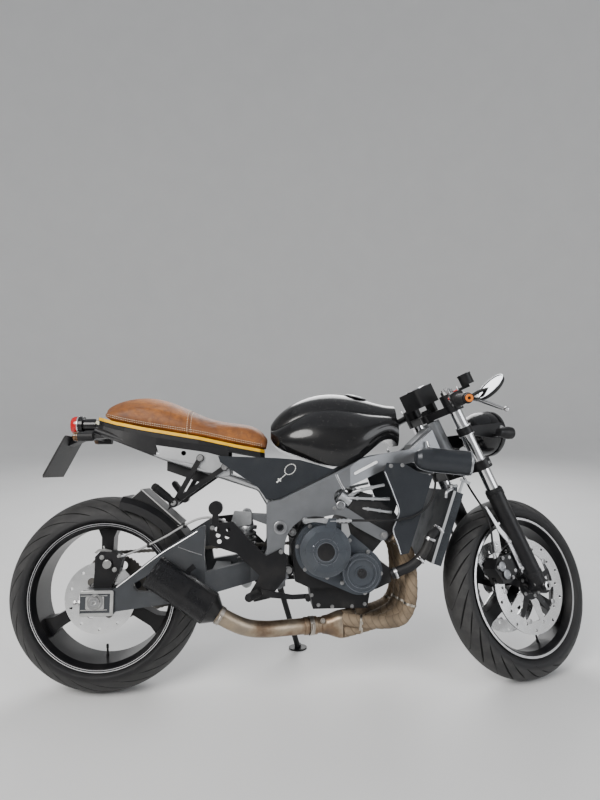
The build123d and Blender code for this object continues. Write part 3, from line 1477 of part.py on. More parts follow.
# Levers: a perch on the bar, and a blade that ends in a ball
lever_perch = bar_length - grip_length - switch_width - 26
lever_tip = steering_point(18, -318, bar_up - 96)
with BuildPart() as hand_levers:
    with BuildSketch(bar_plane.offset(lever_perch)):
        Circle(17)
        with Locations((22, -6)):
            RectangleRounded(34, 26, 6)
        Circle(bar_radius + fit, mode=Mode.SUBTRACT)
    extrude(amount=22)
    lever_root = bar_plane.from_local_coords((34, -8, lever_perch + 14))
    blade = lever_tip - lever_root
    with BuildSketch(Plane(origin=lever_root, x_dir=bar_plane.x_dir, z_dir=blade)):
        RectangleRounded(10, 15, 4)
    extrude(amount=blade.length)
    with Locations(Location(lever_tip)):
        Sphere(9)
    mirror(about=Plane.XZ)
hand_levers.part.label = "hand_levers"
bodies["steering"] += [handlebars, hand_grips, hand_levers]

# Mirrors on the bar ends: a plug in the bar, an arm and an oval glass in its shell
mirror_across = 48
mirror_high = 60
mirror_depth = 14
mirror_root = bar_plane.from_local_coords((0, 0, bar_length + seat_gap))
mirror_centre = mirror_root + Vector(34, -60, 22)
mirror_plane = Plane(origin=mirror_centre, x_dir=(0, 1, 0), z_dir=(0.72, 0, -0.69))
with BuildPart() as mirrors:
    with BuildSketch(bar_plane.offset(bar_length + seat_gap)):
        Circle(14)
    extrude(amount=14)
    with BuildSketch(bar_plane.offset(bar_length - 30)):
        Circle(bar_bore - fit)
    extrude(amount=32)
    arm_start = bar_plane.from_local_coords((0, 0, bar_length + 10))
    with BuildSketch(Plane(origin=arm_start, z_dir=mirror_centre - arm_start)):
        Circle(5)
    extrude(amount=(mirror_centre - arm_start).length)
    for depth, share in ((0, 1), (mirror_depth, 0.84)):
        with BuildSketch(mirror_plane.offset(depth)):
            Ellipse(mirror_across * share, mirror_high * share)
    loft()
    mirror(about=Plane.XZ)
mirrors.part.label = "mirrors"

# Headlamp: a round bowl with its rim, between two brackets on the stanchions
lamp_radius = 85
lamp_centre = Vector(1330, 0, 842)
lamp_axis = Axis(lamp_centre, (1, 0, 0))
bracket_gap = 3.5
bracket_thickness = 5
with BuildPart() as headlamp:
    with BuildSketch(Plane(origin=lamp_centre, x_dir=(1, 0, 0), z_dir=(0, -1, 0))):
        with BuildLine():
            Polyline((-68, 0), (66, 0))
            RadiusArc((66, 0), (48, 78), -dome_radius(78, 18))
            Polyline((48, 78), (48, lamp_radius), (30, lamp_radius), (30, lamp_radius - 4),
                     (6, lamp_radius - 4))
            RadiusArc((6, lamp_radius - 4), (-68, 0), -dome_radius(lamp_radius - 4, 74))
        make_face()
    revolve(axis=lamp_axis)
    with BuildSketch(Plane(origin=lamp_centre + Vector(16, 0, 0), z_dir=(0, -1, 0))):
        Circle(7)
    extrude(amount=lamp_radius + bracket_gap - seat_gap, both=True)
headlamp.part.label = "headlamp"

bracket_up = 566
bracket_ring = 26
bracket_inner = lamp_radius + bracket_gap
indicator_centre = Vector(1300, -142, 810)
lamp_bolt = lamp_centre + Vector(16, 0, 0) - steer_base
indicator_arm = indicator_centre - steer_base
with BuildPart() as headlamp_bracket:
    with BuildSketch(across_steering(bracket_up - bracket_ring / 2)):
        with Locations((fork_offset, -fork_y)):
            Circle(stanchion_radius + 5)
    extrude(amount=bracket_ring)
    with BuildSketch(Plane(origin=steer_base, x_dir=steer_forward, z_dir=(0, -1, 0)).offset(bracket_inner)):
        Polygon((fork_offset + 8, bracket_up + 14),
                (lamp_bolt.dot(steer_forward) + 8, lamp_bolt.dot(steer_dir) + 18),
                (lamp_bolt.dot(steer_forward) + 18, lamp_bolt.dot(steer_dir) - 6),
                (lamp_bolt.dot(steer_forward) - 14, lamp_bolt.dot(steer_dir) - 18),
                (indicator_arm.dot(steer_forward), indicator_arm.dot(steer_dir) - 9),
                (fork_offset + 8, bracket_up - 12), align=None)
    extrude(amount=bracket_thickness)
    with BuildSketch(across_steering(bracket_up - bracket_ring)):
        with Locations((fork_offset, -fork_y)):
            Circle(stanchion_radius + fit)
    extrude(amount=2 * bracket_ring, mode=Mode.SUBTRACT)
    with BuildSketch(Plane(origin=indicator_centre, z_dir=(0, 1, 0))):
        Circle(6)
    extrude(amount=-indicator_centre.Y - bracket_inner - 1)
    with BuildSketch(Plane(origin=indicator_centre + Vector(-24, 0, 0), z_dir=(1, 0, 0))):
        Circle(14)
    with BuildSketch(Plane(origin=indicator_centre + Vector(14, 0, 0), z_dir=(1, 0, 0))):
        Circle(21)
    loft()
    with BuildSketch(Plane(origin=indicator_centre + Vector(14, 0, 0), z_dir=(1, 0, 0))):
        Circle(21)
    extrude(amount=20)
    mirror(about=Plane.XZ)
headlamp_bracket.part.label = "headlamp_bracket"

# Instrument box above the yokes, on a stalk from the upper one
dash_bottom = 698
dash_height = 65
with BuildPart() as instruments:
    with BuildSketch(across_steering(dash_bottom)):
        with Locations((-2, 0)):
            RectangleRounded(88, 100, 12)
    extrude(amount=dash_height)
    with BuildSketch(across_steering(upper_yoke_bottom + upper_yoke_thickness + seat_gap)):
        with Locations((34, 0)):
            Rectangle(12, 40)
    extrude(amount=dash_bottom - upper_yoke_bottom - upper_yoke_thickness)
instruments.part.label = "instruments"

# Front brake hoses: from each caliper up behind its fork leg to the lower yoke
front_hose_route = [(-80, -88, 152), (-70, -92, 190), (-46, -96, 240), (-30, -88, 300), (-18, -62, 352),
                    (-4, -40, 386), (-4, -38, lower_yoke_bottom - seat_gap)]
front_hose = tube([tuple(steering_point(*point)) for point in front_hose_route], hose_radius)
with BuildPart() as front_brake_hoses:
    add(front_hose)
    mirror(about=Plane.XZ)
front_brake_hoses.part.label = "front_brake_hoses"
bodies["steering"] += [mirrors, headlamp, headlamp_bracket, instruments, front_brake_hoses]

# Every piece goes to its parked place, over the ground's middle
places = {"root": parked, "rear_wheel": parked, "side_stand": parked,
          "steering": parked * steered, "front_wheel": parked * steered}
standing = Compound([piece.part.moved(places[body]) for body, pieces in bodies.items() for piece in pieces])
outline = standing.bounding_box()
to_middle = Pos(-(outline.min.X + outline.max.X) / 2, -(outline.min.Y + outline.max.Y) / 2, 0)
for body, pieces in bodies.items():
    for piece in pieces:
        label = piece.part.label
        standing_piece = piece.part.moved(to_middle * places[body])
        standing_piece.label = label
        export_step(standing_piece, f"parts/{label}.step")

# Joint axes and mounts as they stand, for the record
root_place = to_middle * parked
steering_place = to_middle * parked * steered
print("outline", outline.size, "pitch", pitch, "to middle", to_middle.position)
for name, place, point, direction in [
    ("steering", steering_place, steer_base, steer_dir),
    ("front_wheel_spin", steering_place, front_axle, Vector(0, -1, 0)),
    ("rear_wheel_spin", root_place, rear_axle, Vector(0, -1, 0)),
    ("side_stand_fold", root_place, stand_pivot, stand_axis),
]:
    print(name, moved_point(place, point), turned(place, direction))
print("stand travel", stand_travel)
for name, route in [("rear_brake_hose", rear_hose_points), ("clutch_cable", clutch_cable_points),
                    ("front_brake_hoses", front_hose_route)]:
    print(name, "bend radii", [round(bend) for bend in bend_radii(route)])
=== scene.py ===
import json
from math import atan2, cos, pi, radians, sin, sqrt

import bmesh
import bpy
import numpy as np
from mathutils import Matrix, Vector
from mathutils.bvhtree import BVHTree


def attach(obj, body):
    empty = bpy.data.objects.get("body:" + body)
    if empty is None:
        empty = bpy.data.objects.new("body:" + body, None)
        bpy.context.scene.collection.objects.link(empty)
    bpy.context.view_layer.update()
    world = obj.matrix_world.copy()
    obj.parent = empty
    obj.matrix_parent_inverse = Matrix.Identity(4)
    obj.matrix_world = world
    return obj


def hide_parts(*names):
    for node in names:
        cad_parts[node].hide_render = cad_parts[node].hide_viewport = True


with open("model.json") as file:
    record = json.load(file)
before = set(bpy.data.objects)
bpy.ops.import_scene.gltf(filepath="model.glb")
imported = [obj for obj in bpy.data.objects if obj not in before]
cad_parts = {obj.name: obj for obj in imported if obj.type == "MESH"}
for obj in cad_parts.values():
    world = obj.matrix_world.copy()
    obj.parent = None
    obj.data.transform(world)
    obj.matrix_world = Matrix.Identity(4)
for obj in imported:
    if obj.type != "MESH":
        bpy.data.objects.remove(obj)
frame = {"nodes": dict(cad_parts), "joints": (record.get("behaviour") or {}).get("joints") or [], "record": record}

mm = 0.001
toFront, toRear, toLeft, toRight, toTop = (1, 0, 0), (-1, 0, 0), (0, 1, 0), (0, -1, 0), (0, 0, 1)
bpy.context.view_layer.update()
print("stage: frame loaded")

# The machine's own measures, in metres: upright, wheels straight, X forward from the rear
# axle, Y to the rider's left, Z up from the ground
machine = {
    "wheelbase": 1.390, "rake": radians(24), "forkOffset": 0.030, "frontRadius": 0.300, "rearRadius": 0.311,
}
jointOf = {joint["name"]: joint for joint in frame["joints"]}


def unit(vector):
    return np.asarray(vector, float) / np.linalg.norm(vector)


def jointLine(name):
    # a joint's point and direction in the row frame
    return np.array(jointOf[name]["pos_m"], float), unit(jointOf[name]["axis"])


def placeOf(origin, xAxis, yAxis, zAxis, local=(0, 0, 0)):
    # the move that takes the local point to the origin and the local axes to these
    place = np.eye(4)
    place[:3, 0], place[:3, 1], place[:3, 2] = xAxis, yAxis, zAxis
    place[:3, 3] = origin - place[:3, :3] @ np.asarray(local, float)
    return place


rearCentre, rearSpin = jointLine("rear_wheel_spin")
frontCentre, frontSpin = jointLine("front_wheel_spin")
steerFoot, steerUp = jointLine("steering")

# The steering axis leaves the front axle's height behind by the fork's offset
footX = machine["wheelbase"] - machine["forkOffset"] * cos(machine["rake"])
footZ = machine["frontRadius"] - machine["forkOffset"] * sin(machine["rake"])
leftWay = -rearSpin
reach = steerFoot - rearCentre
reach = unit(reach - leftWay * (reach @ leftWay))
slope = atan2(footZ - machine["rearRadius"], footX)
square = np.cross(reach, leftWay)
forwardWay = cos(slope) * reach - sin(slope) * square
upWay = sin(slope) * reach + cos(slope) * square
rootPlace = placeOf(rearCentre, forwardWay, leftWay, upWay, (0, 0, machine["rearRadius"]))
# Pieces on the fork are drawn forward, left and up from the foot of the steering axis
forkPlace = placeOf(steerFoot, np.cross(-frontSpin, steerUp), -frontSpin, steerUp)
# Pieces on a wheel are drawn about its own centre
rearWheelPlace = placeOf(rearCentre, forwardWay, leftWay, upWay)
frontWheelPlace = placeOf(frontCentre, forkPlace[:3, 0], forkPlace[:3, 1], forkPlace[:3, 2])


def moved(points, place):
    return np.asarray(points, float) @ place[:3, :3].T + place[:3, 3]


def sidePlane(y, side=-1):
    # a frame whose X is forward, Y is up and Z points out of the machine's side
    return placeOf((0, side * abs(y), 0), toFront, toTop, (0, side, 0))


# Finishes: small helpers for node materials


class Term:
    # one socket in an expression: + - and * add Math nodes
    def __init__(self, finish, socket):
        self.finish, self.socket = finish, socket

    def join(self, operation, *values):
        return self.finish.node("ShaderNodeMath", {"operation": operation}, dict(enumerate(values)))

    def __add__(self, other):
        return self.join("ADD", self, other)

    def __radd__(self, other):
        return self.join("ADD", other, self)

    def __sub__(self, other):
        return self.join("SUBTRACT", self, other)

    def __rsub__(self, other):
        return self.join("SUBTRACT", other, self)

    def __mul__(self, other):
        return self.join("MULTIPLY", self, other)

    def __rmul__(self, other):
        return self.join("MULTIPLY", other, self)

    def wave(self):
        return self.join("SINE", self)

    def size(self):
        return self.join("ABSOLUTE", self)

    def part(self):
        return self.join("FRACT", self)

    def rise(self, low, high):
        # 0 below low, 1 above high, smooth between
        values = {"Value": self, "From Min": low, "From Max": high, "To Min": 0.0, "To Max": 1.0}
        return self.finish.node("ShaderNodeMapRange", {"interpolation_type": "SMOOTHSTEP"}, values)


class Finish:
    # one procedural material
    def __init__(self, name):
        self.material = bpy.data.materials.new(name)
        self.material.use_nodes = True
        self.tree = self.material.node_tree
        self.shader = self.tree.nodes["Principled BSDF"]
        self.place = self.node("ShaderNodeTexCoord", {}, {}, "Object")

    def node(self, kind, settings=None, inputs=None, output=0):
        # settings first, then the sockets' values or links
        made = self.tree.nodes.new(kind)
        for key, value in (settings or {}).items():
            if key == "stops":
                ramp = made.color_ramp
                while len(ramp.elements) < len(value):
                    ramp.elements.new(0.5)
                for element, (position, colour) in zip(ramp.elements, value):
                    element.position, element.color = position, (*colour, 1)
            else:
                setattr(made, key, value)
        for key, value in (inputs or {}).items():
            socket = made.inputs[key]
            if isinstance(value, Term):
                self.tree.links.new(value.socket, socket)
            elif hasattr(value, "__len__") and len(value) == 3 and socket.type == "RGBA":
                socket.default_value = (*value, 1)
            else:
                socket.default_value = value
        return Term(self, made.outputs[output])

    def feed(self, **values):
        # what changes over the surface, or a constant on the socket
        for key, value in values.items():
            socket = self.shader.inputs[key.replace("_", " ")]
            if isinstance(value, Term):
                self.tree.links.new(value.socket, socket)
            elif hasattr(value, "__len__"):
                socket.default_value = (*value, 1)
            else:
                socket.default_value = value
        return self

    def noise(self, scale, detail=3, rough=0.5, bend=0.0, place=None):
        values = {"Vector": place or self.place, "Scale": scale, "Detail": detail, "Roughness": rough,
                "Distortion": bend}
        return self.node("ShaderNodeTexNoise", {}, values)

    def cells(self, scale, feature="F1", place=None):
        values = {"Vector": place or self.place, "Scale": scale}
        return self.node("ShaderNodeTexVoronoi", {"feature": feature}, values, "Distance")

    def stretched(self, scale, turn=(0, 0, 0)):
        values = {"Vector": self.place, "Scale": scale, "Rotation": turn}
        return self.node("ShaderNodeMapping", {}, values)

    def tint(self, share, first, second):
        return self.node("ShaderNodeMix", {"data_type": "RGBA"}, {0: share, 6: first, 7: second}, 2)

    def relief(self, height, strength, distance):
        return self.node("ShaderNodeBump", {}, {"Height": height, "Strength": strength, "Distance": distance})

    def axes(self):
        split = self.node("ShaderNodeSeparateXYZ", {}, {0: self.place})
        outputs = split.socket.node.outputs
        return [Term(self, outputs[index]) for index in range(3)]


def shade(colour, share, lift=0.0):
    return tuple(min(1, c * share + lift) for c in colour)


def paintedMetal(name, colour, gloss, speckle=0.0, dust=0.15, coat=0.0, grain=2600, depth=0.12, metal=0.0, flake=0.0,
        shine=0.5):
    # paint: faint orange peel, dust in patches, scuffs, a few pale specks
    made = Finish(name)
    dusty = made.noise(9, 5, 0.62).rise(0.46, 0.78) * dust
    fine = made.noise(180, 3, 0.6)
    scuff = made.noise(70, 4, 0.7, 1.6, made.stretched((1, 1, 5))).rise(0.66, 0.74)
    base = made.tint(made.noise(24, 4), shade(colour, 0.82), shade(colour, 1.2, 0.002))
    if flake:
        base = made.tint(made.cells(900).rise(0.32, 0.05) * flake, base, shade(colour, 2.2, 0.05))
    base = made.tint(dusty * (0.4 + fine * 0.6), base, (0.30, 0.28, 0.25))
    if speckle:
        specks = made.cells(240).rise(0.16, 0.07) * made.noise(60, 2).rise(0.50, 0.64)
        base = made.tint(specks * speckle, base, (0.62, 0.60, 0.56))
    rough = gloss + dusty * 0.5 + scuff * 0.10 + (fine - 0.5) * 0.06
    made.feed(Base_Color=base, Roughness=rough, Metallic=metal, Coat_Weight=coat, Coat_Roughness=0.06,
            Specular_IOR_Level=shine)
    made.feed(Normal=made.relief(made.noise(grain, 2), depth, 0.0002))
    return made.material


def castMetal(name, colour, gloss, depth=0.35, stain=0.2, brushed=None, scratch=0.25):
    # bare or anodised metal: cast grain or brushed lines, stains, fine scratches
    made = Finish(name)
    stained = made.noise(14, 5, 0.6).rise(0.44, 0.76) * stain
    base = made.tint(made.noise(46, 4), shade(colour, 0.84), shade(colour, 1.1))
    base = made.tint(stained, base, shade(colour, 0.42))
    lines = made.noise(90, 3, 0.6, 0.0, made.stretched(brushed)) if brushed else made.noise(1500, 3, 0.6)
    marks = made.noise(120, 2, 0.5, 2.4, made.stretched((1, 1, 9), (0.3, 0.9, 0.2))).rise(0.68, 0.72) * scratch
    base = made.tint(marks, base, shade(colour, 1.7, 0.05))
    made.feed(Base_Color=base, Metallic=1.0, Roughness=gloss + stained * 0.3 + (lines - 0.5) * 0.14 + marks * 0.1)
    made.feed(Normal=made.relief(lines, depth, 0.0002))
    return made.material


def moulded(name, colour, gloss, grain=900, depth=0.25, dust=0.2, shine=0.5):
    # moulded plastic or rubber: pebbled skin and settled dust
    made = Finish(name)
    pebbles = made.cells(grain)
    dusty = made.noise(12, 5, 0.6).rise(0.45, 0.8) * dust
    base = made.tint(made.noise(40, 3), shade(colour, 0.8), shade(colour, 1.3, 0.003))
    base = made.tint(dusty, base, (0.26, 0.24, 0.21))
    made.feed(Base_Color=base, Roughness=gloss + dusty * 0.3 + (made.noise(200, 2) - 0.5) * 0.08,
            Specular_IOR_Level=shine)
    made.feed(Normal=made.relief(pebbles, depth, 0.0002))
    return made.material


def chromed(name, colour, gloss=0.08, rust=0.1):
    # plated or polished: a faint haze and a few rust spots
    made = Finish(name)
    spots = made.cells(160).rise(0.2, 0.05) * made.noise(30, 3).rise(0.5, 0.7) * rust
    haze = made.noise(60, 4, 0.6)
    base = made.tint(spots, made.tint(haze, shade(colour, 0.94), colour), (0.16, 0.10, 0.06))
    made.feed(Base_Color=base, Metallic=1.0 - spots * 0.7, Roughness=gloss + haze * 0.08 + spots * 0.4)
    made.feed(Normal=made.relief(made.noise(800, 2), 0.04, 0.0002))
    return made.material


def leatherFinish(name):
    # distressed leather: pebbled grain, creases, a burnished middle and dark soaked patches
    made = Finish(name)
    broad = made.noise(6.5, 5, 0.62, 0.5)
    fine = made.noise(42, 5, 0.65)
    along = made.axes()
    creases = made.cells(36, "DISTANCE_TO_EDGE", made.stretched((1.0, 2.2, 1.4))).rise(0.0, 0.10)
    base = made.node("ShaderNodeValToRGB", {"stops": [
        (0.30, (0.040, 0.013, 0.005)), (0.44, (0.150, 0.050, 0.012)),
        (0.58, (0.290, 0.098, 0.016)), (0.76, (0.490, 0.200, 0.036))]}, {"Fac": broad * 0.7 + fine * 0.3})
    base = made.tint((1 - creases) * 0.35, base, (0.10, 0.035, 0.012))
    worn = made.noise(17, 6, 0.7, 0.8).rise(0.60, 0.74) * 0.4
    base = made.tint(worn, base, (0.50, 0.25, 0.085))
    # the front tip is amber and the skirt that hangs down is darker
    base = made.tint(along[0].rise(-0.16, -0.08) * 0.45, base, (0.62, 0.30, 0.055))
    grain = made.cells(420) * 0.6 + made.noise(900, 3) * 0.4 + creases * 0.8
    made.feed(Base_Color=base, Roughness=0.50 - worn * 0.12 + fine * 0.16, Specular_IOR_Level=0.45)
    made.feed(Normal=made.relief(grain, 0.42, 0.0006))
    return made.material


def tyreFinish(name):
    # rubber: dull and dusty with faint rings on the wall, a painted highlight on the crown and painted shade in the
    # grooves
    made = Finish(name)
    dusty = made.noise(30, 5, 0.6).rise(0.40, 0.80)
    groove = made.node("ShaderNodeAttribute", {"attribute_name": "groove"}, {}, "Fac")
    crown = made.node("ShaderNodeAttribute", {"attribute_name": "crown"}, {}, "Fac")
    base = made.tint(dusty * 0.35, (0.011, 0.011, 0.012), (0.034, 0.033, 0.032))
    # painted highlight: the crown is lightened as if lit, more where it is dusty
    base = made.tint(crown * (0.35 + dusty * 0.4), base, (0.060, 0.059, 0.058))
    # painted shade: the grooves are darkened almost to black
    base = made.tint(groove, base, (0.0015, 0.0015, 0.0015))
    made.feed(Base_Color=base, Roughness=0.58 + dusty * 0.15 + groove * 0.2, Specular_IOR_Level=0.32)
    made.feed(Normal=made.relief(made.noise(1100, 3), 0.3, 0.0003))
    return made.material


def wrapFinish(name, colour):
    # heat wrap: woven glass tape wound round the pipe, scorched in patches
    made = Finish(name)
    x, y, z = made.axes()
    scorch = made.noise(16, 5, 0.6).rise(0.4, 0.75)
    weave = ((x + z) * 2300).wave() * ((x - z) * 2300).wave()
    bands = ((x * 0.9 - y * 0.4 + z * 0.7) * 46).part()
    lap = (bands - 0.5).size().rise(0.36, 0.5)
    base = made.tint(scorch * 0.8, colour, shade(colour, 0.35))
    base = made.tint(lap * 0.6, base, shade(colour, 0.28))
    made.feed(Base_Color=base, Roughness=0.86, Normal=made.relief(weave * 0.15 - lap, 0.7, 0.001))
    return made.material


def stainedSteel(name):
    # stainless exhaust: straw and brown heat colours, rain spots
    made = Finish(name)
    heat = made.noise(8, 4, 0.6)
    base = made.node("ShaderNodeValToRGB", {"stops": [
        (0.30, (0.22, 0.19, 0.16)), (0.46, (0.36, 0.29, 0.21)),
        (0.58, (0.21, 0.145, 0.095)), (0.74, (0.085, 0.068, 0.060))]}, {"Fac": heat})
    spots = made.cells(120).rise(0.26, 0.08) * made.noise(40, 3).rise(0.5, 0.66)
    base = made.tint(spots * 0.5, base, (0.55, 0.50, 0.44))
    made.feed(Base_Color=base, Metallic=0.9, Roughness=0.34 + spots * 0.3 + heat * 0.15)
    made.feed(Normal=made.relief(made.noise(300, 4), 0.15, 0.0003))
    return made.material


def railFinish(name, colour, edge):
    # bare metal at the bracket and ahead of it, black paint on the rails behind it
    made = Finish(name)
    dark = made.axes()[0].rise(edge + 0.004, edge - 0.004)
    stained = made.noise(14, 5, 0.6).rise(0.44, 0.76)
    base = made.tint(made.noise(46, 4), shade(colour, 0.84), colour)
    base = made.tint(stained * 0.25, base, shade(colour, 0.42))
    base = made.tint(dark, base, (0.008, 0.008, 0.009))
    made.feed(Base_Color=base, Metallic=1.0 - dark * 0.9, Roughness=0.34 + stained * 0.1 + dark * 0.08)
    made.feed(Normal=made.relief(made.noise(1500, 3), 0.35, 0.0002))
    return made.material


finishes = {
    "gloss_black": paintedMetal("deepBlackPaint", (0.003, 0.003, 0.0035), 0.24, speckle=0.6, dust=0.02, coat=0.45,
        shine=0.25),
    "gunmetal": paintedMetal("gunmetalPaint", (0.026, 0.029, 0.034), 0.34, dust=0.06, coat=0.12, metal=0.4, flake=0.3,
        shine=0.3),
    "frame_aluminium": paintedMetal("frameGrey", (0.190, 0.197, 0.208), 0.34, dust=0.10, metal=0.7, grain=1400,
        depth=0.3),
    "swingarm_grey": paintedMetal("swingarmGrey", (0.052, 0.056, 0.062), 0.38, dust=0.12, metal=0.5, grain=1400,
        depth=0.3),
    "engine_black": paintedMetal("engineBlack", (0.007, 0.007, 0.008), 0.46, dust=0.10, grain=900, depth=0.4,
        shine=0.28),
    "cover_grey": paintedMetal("coverGrey", (0.066, 0.075, 0.088), 0.32, dust=0.10, metal=0.6, flake=0.4),
    "satin_black": paintedMetal("satinBlack", (0.005, 0.005, 0.006), 0.38, dust=0.06, shine=0.26),
    "rim_black": paintedMetal("rimBlack", (0.004, 0.004, 0.005), 0.34, dust=0.05, coat=0.12, shine=0.25),
    "tyre": tyreFinish("tyreRubber"),
    "disc_steel": castMetal("discSteel", (0.80, 0.80, 0.80), 0.24, brushed=(1, 6, 1), depth=0.2, stain=0.15),
    "chain_steel": castMetal("chainSteel", (0.20, 0.19, 0.175), 0.42, stain=0.6),
    "polished_steel": chromed("polishedSteel", (0.66, 0.66, 0.67)),
    "silver_bracket": castMetal("bareAluminium", (0.56, 0.57, 0.58), 0.34, stain=0.25),
    "tan_leather": leatherFinish("tanLeather"),
    "yellow_trim": moulded("yellowBand", (0.78, 0.42, 0.004), 0.36, grain=500, depth=0.1, dust=0.03),
    "black_plastic": moulded("blackPlastic", (0.006, 0.006, 0.007), 0.50, dust=0.05, shine=0.28),
    "lamp_red": moulded("redLens", (0.42, 0.006, 0.008), 0.12, grain=260, depth=0.3, dust=0.05),
    "lamp_black": paintedMetal("lampBlack", (0.003, 0.003, 0.004), 0.24, dust=0.03, coat=0.35, shine=0.25),
    "black_rubber": moulded("blackRubber", (0.006, 0.006, 0.007), 0.55, grain=1500, depth=0.2, dust=0.06, shine=0.28),
    "wrapped_pipe": wrapFinish("heatWrap", (0.215, 0.160, 0.105)),
    "silencer_black": paintedMetal("silencerBlack", (0.005, 0.005, 0.006), 0.28, dust=0.06, grain=700, depth=0.2,
        shine=0.3),
    "radiator_core": castMetal("radiatorCore", (0.06, 0.065, 0.072), 0.45, stain=0.5),
    "steel": stainedSteel("stainedSteel"),
}
slotOfNode = {row["node"]: row["material_slot"] for row in frame["record"]["subparts"]}
for nodeName, nodeObject in frame["nodes"].items():
    nodeObject.data.materials.clear()
    nodeObject.data.materials.append(finishes[slotOfNode[nodeName]])
# where the rails' black paint ends, on the machine and then along the row frame's X
bareRail = {"end": (0.158, 0.0, 0.785), "colour": (0.56, 0.57, 0.58)}
railEdge = float(moved(bareRail["end"], rootPlace)[0])
frame["nodes"]["subframe"].data.materials[0] = railFinish("railMetal", bareRail["colour"], railEdge)
print("stage: finishes on", len(frame["nodes"]), "nodes")


# Mesh helpers: every surface is a grid of points worked out with numpy


def pieceFrom(name, points, faces, material, body):
    mesh = bpy.data.meshes.new(name)
    mesh.from_pydata(points.tolist(), [], faces)
    mesh.update()
    mesh.polygons.foreach_set("use_smooth", [True] * len(mesh.polygons))
    made = bpy.data.objects.new(name, mesh)
    bpy.context.collection.objects.link(made)
    mesh.materials.append(material)
    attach(made, body)
    return made


def gridFaces(rows, columns, closeRows=False, closeColumns=False, start=0):
    # quads between neighbours of a rows by columns grid
    lastRow = rows if closeRows else rows - 1
    lastColumn = columns if closeColumns else columns - 1
    row, column = np.meshgrid(np.arange(lastRow), np.arange(lastColumn), indexing="ij")
    nextRow, nextColumn = (row + 1) % rows, (column + 1) % columns
    pairs = [(row, column), (nextRow, column), (nextRow, nextColumn), (row, nextColumn)]
    return np.stack([(r * columns + c).ravel() + start for r, c in pairs], 1).tolist()


def outwards(piece, gap=1e-6):
    # points closer than the gap are merged, then the faces turned outwards
    held = bmesh.new()
    held.from_mesh(piece.data)
    bmesh.ops.remove_doubles(held, verts=held.verts, dist=gap)
    bmesh.ops.recalc_face_normals(held, faces=held.faces)
    held.to_mesh(piece.data)
    held.free()
    return piece


def finishWith(piece, kind, name, **settings):
    modifier = piece.modifiers.new(name, kind)
    for key, value in settings.items():
        setattr(modifier, key, value)
    return modifier


def bake(piece):
    # the modifiers' result becomes the mesh
    graph = bpy.context.evaluated_depsgraph_get()
    made = bpy.data.meshes.new_from_object(piece.evaluated_get(graph))
    piece.modifiers.clear()
    old = piece.data
    piece.data = made
    bpy.data.meshes.remove(old)
    return piece


# The camera, the light and the floor

view = {"place": (-0.1684, -1.9594, 1.0381), "turn": -3.763, "tilt": -3.019, "lens": 25.65}
cameraData = bpy.data.cameras.new("photoCamera")
cameraData.sensor_fit = "VERTICAL"
cameraData.sensor_height = 36
cameraData.lens = view["lens"]
cameraData.clip_start = 0.01
camera = bpy.data.objects.new("photoCamera", cameraData)
camera.location = view["place"]
camera.rotation_euler = (radians(90 + view["tilt"]), 0, radians(view["turn"]))
bpy.context.collection.objects.link(camera)
bpy.context.scene.camera = camera

studio = {"flat": 5.6, "bend": 2.6, "wall": 12.0, "key": 210, "fill": 70, "rim": 150, "sky": 0.75}


def lamp(name, place, target, size, power, colour=(1, 1, 1)):
    data = bpy.data.lights.new(name, "AREA")
    data.shape, data.size, data.energy, data.color = "DISK", size, power, colour
    made = bpy.data.objects.new(name, data)
    made.location = place
    away = np.array(place, float) - np.array(target, float)
    made.rotation_euler = (atan2(np.hypot(away[0], away[1]), away[2]), 0, atan2(away[0], -away[1]))
    bpy.context.collection.objects.link(made)
    return made


lamp("keyLight", (-2.2, -3.0, 3.2), (0, 0, 0.5), 2.4, studio["key"], (1.0, 0.98, 0.95))
lamp("fillLight", (3.2, -2.4, 1.8), (0, 0, 0.5), 2.8, studio["fill"], (0.95, 0.97, 1.0))
lamp("rimLight", (0.4, 3.2, 3.0), (0, 0, 0.5), 3.0, studio["rim"])
world = bpy.data.worlds.new("studio")
bpy.context.scene.world = world
world.use_nodes = True
world.node_tree.nodes["Background"].inputs["Color"].default_value = (0.86, 0.88, 0.92, 1)
world.node_tree.nodes["Background"].inputs["Strength"].default_value = studio["sky"]

floorFinish = Finish("paleFloor")
floorFinish.feed(Base_Color=floorFinish.tint(floorFinish.noise(3, 4), (0.66, 0.66, 0.66), (0.71, 0.71, 0.705)),
        Roughness=0.7)
# the floor is a wide bowl: flat under the object, then it turns up all round in a soft curve
sweepTurn = np.linspace(0, pi / 2, 13)
bowl = [(0.0, 0.0), (studio["flat"], 0.0)]
bowl += [(studio["flat"] + studio["bend"] * sin(a), studio["bend"] * (1 - cos(a))) for a in sweepTurn[1:]]
bowl += [(studio["flat"] + studio["bend"], studio["wall"])]
bowl = np.array(bowl)
around = np.linspace(0, 2 * pi, 96, endpoint=False)[:, None]
floorGrid = np.stack([bowl[:, 0] * np.cos(around), bowl[:, 0] * np.sin(around),
        np.broadcast_to(bowl[:, 1], (96, len(bowl)))], -1)
floorMesh = bpy.data.meshes.new("floor")
floorMesh.from_pydata(floorGrid.reshape(-1, 3).tolist(), [], gridFaces(96, len(bowl), True))
floorMesh.polygons.foreach_set("use_smooth", [True] * len(floorMesh.polygons))
floor = bpy.data.objects.new("floor", floorMesh)
bpy.context.collection.objects.link(floor)
floorMesh.materials.append(floorFinish.material)
outwards(floor)
print("stage: camera, light and floor")


# The seat: the CAD pad inflated as a soft cover

seatPad = {"voxel": 0.006, "shrink": 0.003, "pressure": 4.0, "cap": 0.007, "frames": 20}


